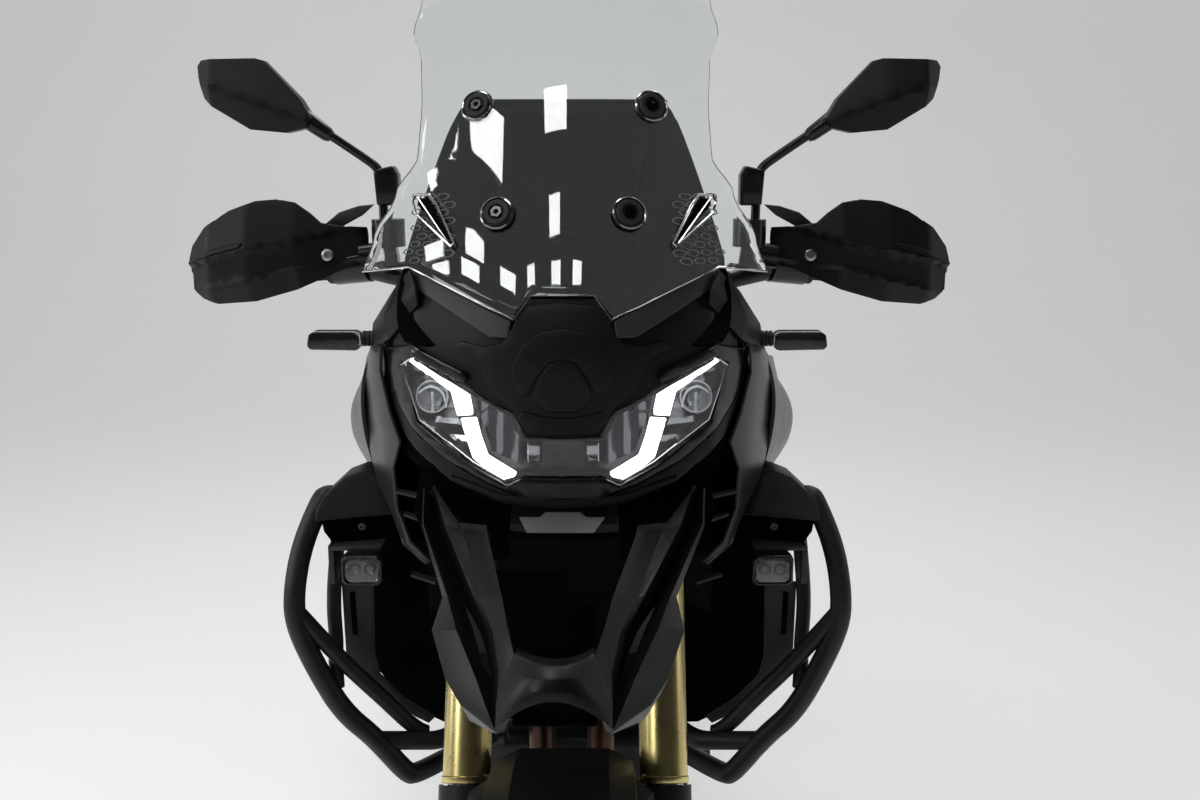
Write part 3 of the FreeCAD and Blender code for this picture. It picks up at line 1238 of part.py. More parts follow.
def across_sheet(depth_start, depth_end, low, high, half_width):
    """A curved layer behind the lamps' front face, between two depths."""
    sections = []
    for z in (low, high):
        points = []
        for shift in (depth_start, depth_end):
            row = [at(x, nose_back(x, z) + shift, z) for x in (-half_width, 0, half_width)]
            points.append(row)
        front, rear = points
        edges = [
            Part.Arc(front[0], front[1], front[2]).toShape(), Part.LineSegment(front[2], rear[2]).toShape(),
            Part.Arc(rear[2], rear[1], rear[0]).toShape(), Part.LineSegment(rear[0], front[0]).toShape(),
        ]
        sections.append(Part.Wire(edges))
    return Part.makeLoft(sections, True, True)


def mirrored_outline(outline, back=0.0, length=800.0):
    """A prism along the machine from the left half of an outline."""
    half = [at(x, back, z) for x, z in outline]
    other = [at(-x, back, z) for x, z in reversed(outline) if x > 0]
    return plate(half + other, REARWARD * length)


def headlights():
    """The lens and the housing of the two joined headlights."""
    prism = mirrored_outline(LAMP_OUTLINE)
    lens = across_sheet(0.0, LENS_THICKNESS, 960.0, 1130.0, 200.0).common(prism)
    housing = across_sheet(LENS_THICKNESS, LAMP_DEPTH, 960.0, 1130.0, 200.0).common(prism)
    return {"headlight_lens": lens, "headlight_housing": housing}


COWL_OUTLINE = LAMP_OUTLINE[:6] + [(208, 1114), (208, 1130), (170, 1186), (150, 1186), (62, 1150),
                                   (46, 1172), (0, 1172)]
CHIN_OUTLINE = [(0, 1104), (181, 1104), (206, 1112), (182, 1040), (120, 984), (74, 962), (0, 962)]


def nose_fairing():
    """The centre cowl above the lamps with its raised shield, and the chin below them."""
    cowl_prism = mirrored_outline(COWL_OUTLINE)
    cowl = across_sheet(2.0, 40.0, 1030.0, 1190.0, 215.0).common(cowl_prism)
    below = mirrored_outline(CHIN_OUTLINE).cut(mirrored_outline(LAMP_OUTLINE)).cut(cowl_prism)
    chin = across_sheet(2.0, 40.0, 950.0, 1120.0, 215.0).common(below)
    shield = loft([
        [at(-36, 176, 1096), at(36, 176, 1096), at(36, 230, 1096), at(-36, 230, 1096)],
        [at(-24, 176, 1062), at(24, 176, 1062), at(24, 222, 1062), at(-24, 222, 1062)],
        [at(-10, 180, 1044), at(10, 180, 1044), at(10, 222, 1044), at(-10, 222, 1044)],
    ])
    return Part.makeCompound([fused([cowl, shield]), chin])


BEAK_SECTIONS = [
    (232, [(104, 962), (150, 976), (153, 944), (112, 938)]),
    (134, [(78, 950), (138, 960), (142, 918), (88, 910)]),
    (22, [(50, 930), (118, 932), (124, 884), (68, 866)]),
    (-50, [(38, 906), (94, 908), (104, 858), (58, 846)]),
    (-92, [(36, 892), (70, 890), (76, 858), (50, 850)]),
]


def beak():
    """The beak: two fluted prongs that meet at a rounded bridge, over an inner duct panel."""
    prongs = []
    for side in (-1, 1):
        prongs.append(loft([[at(side * x, back, z) for x, z in section] for back, section in BEAK_SECTIONS]))
    bridge = loft([
        [at(x, back, z) for x, back,
         z in ((-40, -88, 874), (-40, -88, 900), (-40, -52, 908), (-40, -52, 880))],
        [at(x, back, z) for x, back, z in ((0, -112, 876), (0, -112, 902), (0, -70, 908), (0, -70, 882))],
        [at(x, back, z) for x, back, z in ((40, -88, 874), (40, -88, 900), (40, -52, 908), (40, -52, 880))],
    ])
    duct = loft([
        [at(-104, 226, 940), at(104, 226, 940), at(104, 226, 948), at(-104, 226, 948)],
        [at(-44, -50, 884), at(44, -50, 884), at(44, -50, 890), at(-44, -50, 890)],
    ])
    tabs = [box(at(side * 118 - 6, 200, 950), at(side * 118 + 6, 222, 996)) for side in (-1, 1)]
    return fused(prongs + [bridge, duct] + tabs)


def fairing_stay():
    """The stay from the head tube forward, with the cross plate that the nose is fixed to."""
    arm = plate([
        beside(-24, HEAD_TUBE_RADIUS - 6, 1060), beside(-24, 186, 1060), beside(-24, 186, 1126),
        beside(-24, HEAD_TUBE_RADIUS - 6, 1150),
    ], ACROSS * 48.0)
    cross = plate([
        at(-176, 262, 1056), at(0, 212, 1056), at(176, 262, 1056), at(176, 292, 1056), at(0, 268, 1056),
        at(-176, 292, 1056),
    ], UP * 12.0)
    return fused([arm, cross])


UPRIGHT_STANDOFF = 16.0
GROMMETS = [(70, 1263), (95, 1376)]


def screen_bracket():
    """Two uprights behind the screen, with a bush at each of its four fixings and the display's shelf."""
    shapes = []
    for side in (-1, 1):
        spine = [(66, 1168)] + GROMMETS
        points = [at(side * x, screen_back(x, z) + UPRIGHT_STANDOFF, z) for x, z in spine]
        shapes.append(bent_tube(points, 6.0, 60.0))
        for x, z in GROMMETS:
            rear = at(side * x, screen_back(x, z) + UPRIGHT_STANDOFF, z)
            shapes.append(rod(at(side * x, screen_back(x, z) + SCREEN_THICKNESS / 2, z), rear, 9.0))
    low, high = GROMMETS
    for x, z in ((67, 1240), (94, 1368)):
        back = screen_back(x, z) + UPRIGHT_STANDOFF
        shapes.append(rod(at(-x, back, z), at(x, back, z), 5.0))
        shapes.append(rod(at(0, back, z), at(0, back + 70, z), 6.0))
    return fused(shapes)


def instrument_display():
    """The display housing under its hood, behind the screen."""
    side = [(330, 1226), (352, 1378), (372, 1384), (384, 1352), (378, 1246), (366, 1222)]
    return plate([at(-108, back, z) for back, z in side], ACROSS * 216.0, 8.0)


# Crash bars with their shields and lamps. Routes are on the left, in (x, back, z).

BAR_ROUTES = {
    "outer": [
        (124, 652, 842), (246, 490, 856), (292, 372, 922), (327, 312, 812), (289, 330, 667), (206, 372, 552),
        (152, 440, 536), (112, 548, 508),
    ],
    "diagonal": [(322, 310, 784), (262, 344, 690), (180, 396, 552)],
    "upright": [(282, 386, 900), (276, 358, 700)],
    "lower": [(246, 351, 604), (160, 384, 588), (104, 546, 586)],
}


def crash_bars():
    """The tube guards at both sides of the radiator and the tank's front."""
    tubes = []
    for name, route in BAR_ROUTES.items():
        radius = 9.0 if name == "upright" else CRASH_BAR_RADIUS
        points = [at(x, back, z) for x, back, z in route]
        tubes.append(bent_tube(points, radius, CRASH_BAR_BEND) if len(points) > 2 else rod(points[0],
                points[1], radius))
    return fused(tubes)


HOOD_LOOP = [
    (302, 344, 890), (290, 352, 928), (275, 356, 940), (256, 358, 942), (223, 336, 896), (166, 330, 889),
    (206, 332, 872), (292, 340, 862),
]
SIDE_SHIELD = [(284, 372, 806), (236, 372, 806), (240, 376, 700), (176, 398, 598), (262, 380, 690)]


def bar_shields():
    """The sheet hood over each lamp and the tapering side plate below it."""
    hood = sheet([at(*spot) for spot in HOOD_LOOP], at(252, 338, 904), REARWARD * SHEET)
    hood_boss = rod(at(276, 342, 908), at(280, 384, 902), 6.0)
    shield = sheet([at(*spot) for spot in SIDE_SHIELD], at(252, 374, 720), REARWARD * SHEET)
    shield_boss = rod(at(258, 376, 712), at(268, 350, 704), 6.0)
    return Part.makeCompound([fused([hood, hood_boss]), fused([shield, shield_boss])])


def fog_lamps():
    """The rectangular auxiliary lamps on the crash bars."""
    body = plate([at(224, 314, 818), at(274, 314, 818), at(274, 314, 850), at(224, 314, 850)],
                 REARWARD * 34.0, 6.0)
    lug = rod(at(256, 344, 834), at(280, 376, 836), 7.0)
    return fused([body, lug])


# The whole machine

def build_all():
    """Every sub-part by name."""
    parts = {}
    parts.update(front_wheel_parts())
    parts.update(rear_wheel_parts())
    parts["fork_outer_tubes"] = fork_outer_tubes()
    parts["fork_lower_legs"] = fork_lower_legs()
    parts["front_axle"] = front_axle()
    parts["yokes"] = yokes()
    parts["handlebar"] = handlebar()
    parts["grips"] = grips()
    parts["bar_controls"] = bar_controls()
    parts["mirrors"] = seated(mirrors(), parts["bar_controls"])
    parts["handguards"] = seated(handguards(), parts["bar_controls"], parts["mirrors"])
    parts["front_mudguard"] = front_guards()
    parts["front_calipers"] = front_calipers()

    frame = main_frame()
    parts["main_frame"] = frame
    parts["swingarm"] = swingarm()
    parts["pivot_bolt"] = pivot_bolt()
    parts["rear_shock"] = rear_shock()
    parts["rear_caliper"] = seated(rear_caliper(), parts["swingarm"])
    parts["engine"] = seated(engine(), frame)
    parts["subframe"] = seated(subframe(), frame)
    parts["rear_shock"] = seated(parts["rear_shock"], parts["swingarm"], frame, parts["subframe"])
    parts["drive_chain"] = seated(drive_chain(), parts["engine"], parts["swingarm"])
    parts["exhaust_headers"] = seated(exhaust_headers(), parts["engine"], frame)
    parts["silencer"] = seated(silencer(), parts["exhaust_headers"], parts["subframe"])
    parts["radiator"] = seated(radiator(), frame, parts["exhaust_headers"])
    parts["skid_plate"] = seated(skid_plate(), parts["engine"], parts["exhaust_headers"], frame)
    parts["fuel_tank"] = seated(fuel_tank(), frame)
    seat_room = subframe(SUBFRAME_RADIUS + SEAT_GAP)
    parts["rider_seat"] = seated(rider_seat(), seat_room, parts["fuel_tank"])
    parts["pillion_seat"] = seated(pillion_seat(), seat_room, parts["rider_seat"])
    parts["tail_fairing"] = seated(tail_fairing(), parts["subframe"], parts["rider_seat"],
                                   parts["pillion_seat"])
    parts["tail_lamp"] = tail_lamp()
    parts["rear_rack"] = seated(rear_rack(), parts["subframe"], parts["pillion_seat"], parts["tail_fairing"])
    parts["rear_mudguard"] = seated(rear_mudguard(), parts["tail_fairing"], parts["subframe"])
    parts["footpegs"] = seated(footpegs(), frame, parts["engine"], parts["subframe"])
    parts["crash_bars"] = both(seated(crash_bars(), frame, parts["radiator"]))
    parts["bar_shields"] = seated(both(bar_shields()), parts["crash_bars"])
    parts["fog_lamps"] = seated(both(fog_lamps()), parts["crash_bars"], parts["bar_shields"])

    parts.update(headlights())
    parts["windscreen"] = windscreen()
    parts["nose_fairing"] = seated(nose_fairing(), parts["windscreen"])
    parts["fairing_stay"] = seated(fairing_stay(), frame, parts["nose_fairing"], parts["headlight_housing"])
    parts["screen_bracket"] = seated(screen_bracket(), parts["windscreen"], parts["nose_fairing"])
    parts["instrument_display"] = seated(instrument_display(), parts["screen_bracket"])
    parts["side_fairings"] = seated(both(side_fairings()), parts["nose_fairing"], parts["fuel_tank"],
                                    parts["headlight_housing"],
                                    parts["headlight_lens"])
    parts["beak"] = seated(beak(), parts["nose_fairing"], parts["side_fairings"])
    parts["indicators"] = seated(indicators(), parts["side_fairings"], parts["rear_mudguard"])
    parts["fuel_cap"] = fuel_cap()
    parts["centre_stand"] = centre_stand()
    parts["side_stand"] = side_stand()
    parts["side_stand_bracket"] = seated(side_stand_bracket(), frame, parts["skid_plate"])
    return parts


if __name__ == "__main__":
    os.makedirs("parts", exist_ok=True)
    for name, shape in build_all().items():
        shape.exportStep(f"parts/{name}.step")
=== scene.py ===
"""Looks of an adventure motorcycle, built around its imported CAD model.

Tables are in millimetres as (across, back, height): across is to the rider's left, back is the
distance behind the front axle, and height is above the ground. Meshes are in metres.
"""

import json
import logging
import math
from dataclasses import dataclass
from enum import Enum
from typing import Callable, Sequence

import bpy
from mathutils import Matrix, Vector

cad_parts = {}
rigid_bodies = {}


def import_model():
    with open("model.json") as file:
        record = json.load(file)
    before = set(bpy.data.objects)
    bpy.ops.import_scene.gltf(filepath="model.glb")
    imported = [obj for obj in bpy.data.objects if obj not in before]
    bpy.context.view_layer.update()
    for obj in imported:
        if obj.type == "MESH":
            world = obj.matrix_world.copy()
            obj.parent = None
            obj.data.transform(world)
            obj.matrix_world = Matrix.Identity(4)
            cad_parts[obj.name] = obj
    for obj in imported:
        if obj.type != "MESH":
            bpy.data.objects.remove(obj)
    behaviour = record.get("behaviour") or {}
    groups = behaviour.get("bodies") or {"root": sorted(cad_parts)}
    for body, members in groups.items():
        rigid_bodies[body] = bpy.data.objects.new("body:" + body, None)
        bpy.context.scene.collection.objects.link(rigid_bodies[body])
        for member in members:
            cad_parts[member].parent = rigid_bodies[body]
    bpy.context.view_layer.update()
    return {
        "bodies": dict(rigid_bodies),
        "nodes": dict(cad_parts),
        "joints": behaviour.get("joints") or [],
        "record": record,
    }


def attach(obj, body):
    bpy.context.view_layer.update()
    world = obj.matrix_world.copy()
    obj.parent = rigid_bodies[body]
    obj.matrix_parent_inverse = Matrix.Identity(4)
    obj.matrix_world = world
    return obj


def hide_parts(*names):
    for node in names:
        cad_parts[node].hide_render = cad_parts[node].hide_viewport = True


LOG = logging.getLogger("motorcycle")
MM = 0.001
FRONT_AXLE_BACK = -787.3
RAKE = math.radians(27.5)
TRAIL = 115.0

UP = Vector((0, 0, 1))
LEFT = Vector((1, 0, 0))
AHEAD = Vector((0, -1, 0))

# Where the wheels' hubs lie, as (back, height).
FRONT_HUB = (0.0, 347.7)
REAR_HUB = (1560.0, 340.9)

# The windscreen's foot as (back, height), and its slope and curve.
SCREEN_FOOT = (190.0, 1157.0)
SCREEN_SLOPE = 0.5
SCREEN_CURVE = 0.0016

# The lamps' middle as (back, height), their slope and curve, and where the cowl bends away from them.
LAMP_MIDDLE = (182.0, 1000.0)
LAMP_SLOPE = 0.02
LAMP_CURVE = 0.0021
COWL_BEND = 1100.0
COWL_LEAN = 0.003
COWL_FACET = 162.0
COWL_FACET_SLOPE = 0.8

Colour = tuple[float, float, float]
Spot = tuple[float, float, float]
Flat = tuple[float, float]
Loop = tuple[Flat, ...]
Line = tuple[Spot, ...]
Rows = tuple[tuple[float, ...], ...]
SectionTable = tuple[tuple[float, Loop], ...]
Depth = Callable[[float, float], float]
Mesh = bpy.types.Object


class Body(Enum):
    """The moving bodies that pieces ride on."""

    CHASSIS = "chassis"
    STEERING = "steering"
    FRONT_WHEEL = "front_wheel"
    REAR_WHEEL = "rear_wheel"
    CAP = "filler_cap"


class Relief(Enum):
    """Kinds of fine surface relief."""

    GRAIN = "grain"
    CAST = "cast"
    BRUSHED = "brushed"
    LEATHER = "leather"
    FINS = "fins"
    SMOOTH = "smooth"


def at(across: float, back: float, height: float) -> Vector:
    """A point in metres from a place in millimetres."""
    return Vector((across, FRONT_AXLE_BACK + back, height)) * MM


def beside(across: float, ahead: float, along: float) -> Vector:
    """A point near the steering axis, in metres.

    Args:
        across: Distance to the left, in millimetres.
        ahead: Distance ahead of the steering axis.
        along: Distance up the axis from the ground.

    Returns:
        The point.
    """
    back = along * math.sin(RAKE) - TRAIL - ahead * math.cos(RAKE)
    return at(across, back, along * math.cos(RAKE) + ahead * math.sin(RAKE))


def blended(table: Sequence[Flat], place: float) -> float:
    """Reads a table of (place, value) pairs along a smooth line.

    Args:
        table: Pairs in rising order of place.
        place: Where to read.

    Returns:
        The value there, held at the ends.
    """
    if place <= table[0][0]:
        return table[0][1]
    for (low, before), (high, after) in zip(table, table[1:]):
        if place <= high:
            share = (place - low) / (high - low)
            share = share * share * (3 - 2 * share)
            return before + (after - before) * share
    return table[-1][1]


def straight(table: Sequence[Flat], place: float) -> float:
    """Reads a table of (place, value) pairs along straight lines, held at the ends."""
    if place <= table[0][0]:
        return table[0][1]
    for (low, before), (high, after) in zip(table, table[1:]):
        if place <= high:
            return before + (after - before) * (place - low) / (high - low)
    return table[-1][1]


def screen_back(across: float, height: float) -> float:
    """How far back the windscreen's front face lies."""
    back, foot = SCREEN_FOOT
    return back + (height - foot) * SCREEN_SLOPE + SCREEN_CURVE * across * across


def nose_back(across: float, height: float) -> float:
    """How far back the lamps' front face lies."""
    back, level = LAMP_MIDDLE
    return back + LAMP_CURVE * across * across + LAMP_SLOPE * (height - level)


def cowl_back(across: float, height: float) -> float:
    """How far back the cowl's face lies: it leans back above the lamps and at its outer facets."""
    lean = max(0.0, height - COWL_BEND)
    facet = COWL_FACET_SLOPE * max(0.0, abs(across) - COWL_FACET)
    return nose_back(across, height) + COWL_LEAN * lean * lean + facet


def behind(form: Depth, shift: float) -> Depth:
    """A form moved back by a distance."""
    return lambda across, height: form(across, height) + shift


def both_sides(half: Sequence[Flat]) -> list[Flat]:
    """A loop over both sides of the machine from its left half."""
    return [*half, *((-x, z) for x, z in reversed(half) if x > 0)]


# Finishes

# Parts of a noise's range that are spread over a colour, an edge lightened as wear and as a painted
# highlight, and a roughness.
CLOUD_RANGE = (0.32, 0.68)
EDGE_RANGE = (0.53, 0.62)
SCUFF_RANGE = (0.3, 0.7)
SMEAR_RANGE = (0.4, 0.75)
SCUFF_SHARE = 0.35
WAVES_A_GRAIN = 20.0
BUMP = 0.6


class NodeBench:
    """A material's node tree, filled node by node."""

    def __init__(self, name: str) -> None:
        """Starts a material with a principled shader."""
        self.material = bpy.data.materials.new(name)
        self.material.use_nodes = True
        self.tree = self.material.node_tree
        self.shader = self.tree.nodes["Principled BSDF"]
        self.coords = self.add("ShaderNodeTexCoord").outputs["Object"]

    def add(self, kind: str, **settings: object) -> bpy.types.Node:
        """Adds a node and sets its sockets or properties by name.

        Args:
            kind: The node's type.
            **settings: Values; a name that is a socket is set there.

        Returns:
            The new node.
        """
        node = self.tree.nodes.new(kind)
        for name, value in settings.items():
            if hasattr(node, name):
                setattr(node, name, value)
            else:
                node.inputs[name].default_value = value
        return node

    def link(self, source: bpy.types.NodeSocket, target: bpy.types.NodeSocket) -> None:
        """Joins two sockets."""
        self.tree.links.new(source, target)

    def stretched(self, scale: Spot) -> bpy.types.NodeSocket:
        """Object coordinates scaled by a different amount along each axis."""
        node = self.add("ShaderNodeMapping")
        node.inputs["Scale"].default_value = scale
        self.link(self.coords, node.inputs["Vector"])
        return node.outputs["Vector"]

    def noise(self, vector: bpy.types.NodeSocket, scale: float, detail: float) -> bpy.types.NodeSocket:
        """A noise texture's value."""
        node = self.add("ShaderNodeTexNoise", Scale=scale, Detail=detail)
        self.link(vector, node.inputs["Vector"])
        return node.outputs["Fac"]

    def ranged(self, source: bpy.types.NodeSocket, low: float, high: float,
               to_low: float, to_high: float) -> bpy.types.NodeSocket:
        """A value moved from one range to another."""
        node = self.add("ShaderNodeMapRange")
        for name, value in (("From Min", low), ("From Max", high), ("To Min", to_low), ("To Max", to_high)):
            node.inputs[name].default_value = value
        self.link(source, node.inputs["Value"])
        return node.outputs["Result"]

    def mixed(self, share: bpy.types.NodeSocket, first: Colour | bpy.types.NodeSocket,
              second: Colour) -> bpy.types.NodeSocket:
        """A mix of two colours by a share."""
        node = self.add("ShaderNodeMix", data_type="RGBA")
        self.link(share, node.inputs["Factor"])
        if isinstance(first, tuple):
            node.inputs[6].default_value = (*first, 1.0)
        else:
            self.link(first, node.inputs[6])
        node.inputs[7].default_value = (*second, 1.0)
        return node.outputs[2]


@dataclass(frozen=True)
class Surface:
    """What all finishes share."""

    name: str
    slot: str
    colour: Colour

    def material(self) -> bpy.types.Material:
        """The finish as a material, made on first use."""
        found = bpy.data.materials.get(self.name)
        if found:
            return found
        bench = NodeBench(self.name)
        self.fill(bench)
        return bench.material

    def fill(self, bench: NodeBench) -> None:
        """Builds the finish's nodes."""
        raise NotImplementedError


@dataclass(frozen=True)
class Finish(Surface):
    """A solid finish: two close colours in clouds, fine relief and sharp edges lightened, partly as wear and
    partly as a painted highlight.
    """

    tint: Colour
    roughness: float = 0.5
    spread: float = 0.08
    metallic: float = 0.0
    relief: Relief = Relief.GRAIN
    grain_mm: float = 0.8
    depth_mm: float = 0.08
    cloud_mm: float = 70.0
    wear_and_highlight: float = 0.0
    coat: float = 0.0
    shine: float = 0.5
    stretch: Spot = (1.0, 1.0, 1.0)

    def fill(self, bench: NodeBench) -> None:
        """Builds the finish's nodes."""
        cloud = bench.noise(bench.coords, 1.0 / (self.cloud_mm * MM), 4.0)
        share = bench.ranged(cloud, *CLOUD_RANGE, 0.0, 1.0)
        colour = bench.mixed(share, self.colour, self.tint)
        # Sharp edges, found by their pointiness, are mixed towards a lighter tone: partly wear, partly a
        # painted highlight.
        if self.wear_and_highlight > 0:
            point = bench.add("ShaderNodeNewGeometry").outputs["Pointiness"]
            edge = bench.ranged(point, *EDGE_RANGE, 0.0, self.wear_and_highlight)
            lighter = tuple(min(1.0, 0.10 + 1.6 * value) for value in self.colour)
            colour = bench.mixed(edge, colour, lighter)
        bench.link(colour, bench.shader.inputs["Base Color"])
        scuff = bench.noise(bench.coords, 1.0 / (SCUFF_SHARE * self.cloud_mm * MM), 6.0)
        rough = bench.ranged(scuff, *SCUFF_RANGE, self.roughness - self.spread, self.roughness + self.spread)
        bench.link(rough, bench.shader.inputs["Roughness"])
        bench.shader.inputs["Metallic"].default_value = self.metallic
        bench.shader.inputs["Coat Weight"].default_value = self.coat
        bench.shader.inputs["Specular IOR Level"].default_value = self.shine
        if self.relief is not Relief.SMOOTH:
            height = self.height(bench)
            bump = bench.add("ShaderNodeBump", Strength=BUMP, Distance=self.depth_mm * MM)
            bench.link(height, bump.inputs["Height"])
            bench.link(bump.outputs["Normal"], bench.shader.inputs["Normal"])

    def height(self, bench: NodeBench) -> bpy.types.NodeSocket:
        """The relief's height over the surface."""
        vector = bench.stretched(self.stretch)
        scale = 1.0 / (self.grain_mm * MM)
        if self.relief is Relief.LEATHER:
            node = bench.add("ShaderNodeTexVoronoi", Scale=scale)
            bench.link(vector, node.inputs["Vector"])
            return node.outputs["Distance"]
        if self.relief is Relief.FINS:
            node = bench.add("ShaderNodeTexWave", Scale=scale / WAVES_A_GRAIN, bands_direction="Z")
            bench.link(vector, node.inputs["Vector"])
            return node.outputs["Fac"]
        detail = 8.0 if self.relief is Relief.CAST else 2.0
        return bench.noise(vector, scale, detail)


@dataclass(frozen=True)
class Clear(Surface):
    """A clear or tinted glass or moulded lens."""

    roughness: float = 0.02
    spread: float = 0.03
    bend: float = 1.45

    def fill(self, bench: NodeBench) -> None:
        """Builds the finish's nodes."""
        smear = bench.noise(bench.coords, 14.0, 5.0)
        rough = bench.ranged(smear, *SMEAR_RANGE, self.roughness, self.roughness + self.spread)
        bench.link(rough, bench.shader.inputs["Roughness"])
        tone = bench.mixed(smear, self.colour, tuple(0.97 * value for value in self.colour))
        bench.link(tone, bench.shader.inputs["Base Color"])
        bench.shader.inputs["Transmission Weight"].default_value = 1.0
        bench.shader.inputs["IOR"].default_value = self.bend


@dataclass(frozen=True)
class Glow(Surface):
    """A light guide that shines."""

    strength: float

    def fill(self, bench: NodeBench) -> None:
        """Builds the finish's nodes."""
        ripple = bench.noise(bench.coords, 160.0, 1.0)
        tone = bench.mixed(ripple, self.colour, tuple(0.96 * value for value in self.colour))
        bench.link(tone, bench.shader.inputs["Base Color"])
        bench.link(tone, bench.shader.inputs["Emission Color"])
        bench.shader.inputs["Emission Strength"].default_value = self.strength
        bench.shader.inputs["Roughness"].default_value = 0.3


MATT = Finish("matt_plastic", "black_plastic", (0.0050, 0.0054, 0.0064), (0.0076, 0.0080, 0.0092), 0.44,
              0.05, grain_mm=0.7, depth_mm=0.04, wear_and_highlight=0.08, shine=0.20)
BEAK = Finish("beak_plastic", "black_plastic", (0.0034, 0.0037, 0.0046), (0.0050, 0.0054, 0.0064), 0.36,
              0.04, grain_mm=0.7, depth_mm=0.03, wear_and_highlight=0.08, shine=0.20)
# Near-black and almost without shine: a darker copy of the black plastic for insides, recesses, pockets and
# parts under or behind others. Its darkness is painted shade.
INNER_SHADE = Finish("inner_shade_plastic", "black_plastic", (0.0018, 0.0018, 0.0020), (0.0028, 0.0028, 0.0030),
              0.88, 0.04, shine=0.03)
GREY = Finish("grey_trim_plastic", "grey_plastic", (0.019, 0.020, 0.022), (0.026, 0.027, 0.029), 0.5, 0.05,
              grain_mm=0.9, depth_mm=0.07, wear_and_highlight=0.10, shine=0.42)
PAINT = Finish("satin_body_paint", "tank_paint", (0.015, 0.016, 0.018), (0.019, 0.020, 0.023), 0.34, 0.04,
               relief=Relief.SMOOTH, coat=0.07, cloud_mm=160.0, wear_and_highlight=0.08, shine=0.32)
GLOSS = Finish("satin_black_plastic", "satin_plastic", (0.0045, 0.0045, 0.0052), (0.0070, 0.0070, 0.0078),
               0.26, 0.05, relief=Relief.SMOOTH, coat=0.08, shine=0.35)
FRAME = Finish("frame_powder_coat", "frame_paint", (0.0070, 0.0070, 0.0076), (0.0105, 0.0105, 0.0112), 0.42,
               0.06, grain_mm=1.4, depth_mm=0.06, wear_and_highlight=0.15, shine=0.4)
BAR = Finish("guard_powder_coat", "bar_paint", (0.0072, 0.0075, 0.0080), (0.0108, 0.0112, 0.0118), 0.48,
             0.06, grain_mm=1.1, depth_mm=0.09, wear_and_highlight=0.12, shine=0.36)
ENGINE = Finish("engine_casting", "engine_metal", (0.030, 0.030, 0.032), (0.042, 0.042, 0.044), 0.46, 0.08,
                0.5, Relief.CAST, grain_mm=2.2, depth_mm=0.14, wear_and_highlight=0.2)
CAST = Finish("cast_alloy_dark", "cast_alloy", (0.045, 0.045, 0.048), (0.06, 0.06, 0.063), 0.42, 0.08, 0.6,
              Relief.CAST, grain_mm=1.8, depth_mm=0.10, wear_and_highlight=0.2)
ALLOY = Finish("brushed_alloy", "bare_alloy", (0.45, 0.45, 0.46), (0.56, 0.56, 0.57), 0.34, 0.08, 1.0,
               Relief.BRUSHED, grain_mm=0.5, depth_mm=0.04, stretch=(0.05, 1.0, 1.0))
GOLD = Finish("gold_anodised_tube", "gold_anodised", (0.64, 0.53, 0.22), (0.71, 0.60, 0.28), 0.28, 0.03,
              1.0, Relief.BRUSHED, grain_mm=0.6, depth_mm=0.006, stretch=(1.0, 0.01, 0.01))
CHROME = Finish("polished_chrome", "chrome", (0.55, 0.55, 0.56), (0.62, 0.62, 0.63), 0.10, 0.04, 1.0,
                Relief.SMOOTH)
BRIGHT = Finish("bowl_reflector", "chrome", (0.26, 0.26, 0.27), (0.34, 0.34, 0.35), 0.14, 0.04, 1.0,
                Relief.SMOOTH)
BOWL = Finish("bowl_lining", "chrome", (0.50, 0.50, 0.52), (0.58, 0.58, 0.60), 0.3, 0.04, 0.6, Relief.SMOOTH)
# A dimmed copy of the chrome: its darkness paints the shade that the lamp reflectors, the inner facets and
# the screen bolts show.
SHADE = Finish("shaded_reflector", "chrome", (0.040, 0.041, 0.045), (0.060, 0.061, 0.066), 0.16, 0.04, 1.0,
               Relief.SMOOTH)
STEEL = Finish("machined_steel", "steel", (0.30, 0.30, 0.31), (0.40, 0.40, 0.41), 0.34, 0.08, 1.0,
               Relief.BRUSHED, grain_mm=0.6, depth_mm=0.05, wear_and_highlight=0.2)
COPPER = Finish("heat_tinted_steel", "exhaust", (0.055, 0.026, 0.018), (0.048, 0.032, 0.025), 0.36, 0.10,
                1.0, Relief.CAST, grain_mm=1.5, depth_mm=0.04, cloud_mm=90.0)
SILENCER = Finish("brushed_silencer", "silencer", (0.30, 0.30, 0.31), (0.40, 0.40, 0.41), 0.36, 0.07, 1.0,
                  Relief.BRUSHED, grain_mm=0.6, depth_mm=0.03, stretch=(1.0, 0.04, 1.0))
TYRE = Finish("tyre_rubber", "tyre", (0.009, 0.009, 0.0095), (0.015, 0.015, 0.015), 0.72, 0.08,
              grain_mm=1.6, depth_mm=0.12, shine=0.4)
RUBBER = Finish("moulded_rubber", "rubber", (0.008, 0.008, 0.0085), (0.012, 0.012, 0.0125), 0.62, 0.07,
                grain_mm=1.0, depth_mm=0.08, shine=0.4)
SPOKE = Finish("black_spoke_alloy", "spokes", (0.012, 0.012, 0.013), (0.020, 0.020, 0.021), 0.32, 0.06, 0.6,
               Relief.CAST, grain_mm=1.2, depth_mm=0.04, wear_and_highlight=0.2)
SEAT = Finish("grained_vinyl", "seat", (0.011, 0.011, 0.012), (0.017, 0.017, 0.018), 0.56, 0.06, 0.0,
              Relief.LEATHER, grain_mm=1.6, depth_mm=0.22, cloud_mm=120.0, shine=0.42)
CORE = Finish("radiator_core", "frame_paint", (0.0020, 0.0020, 0.0022), (0.0032, 0.0032, 0.0034), 0.7, 0.05,
              relief=Relief.FINS, grain_mm=4.0, depth_mm=1.2, shine=0.08)
PRINT = Finish("printed_line_grey", "grey_plastic", (0.085, 0.088, 0.092), (0.11, 0.114, 0.118), 0.5, 0.05)
BLANK = Finish("blank_plate_white", "grey_plastic", (0.30, 0.31, 0.33), (0.36, 0.37, 0.39), 0.5, 0.06)
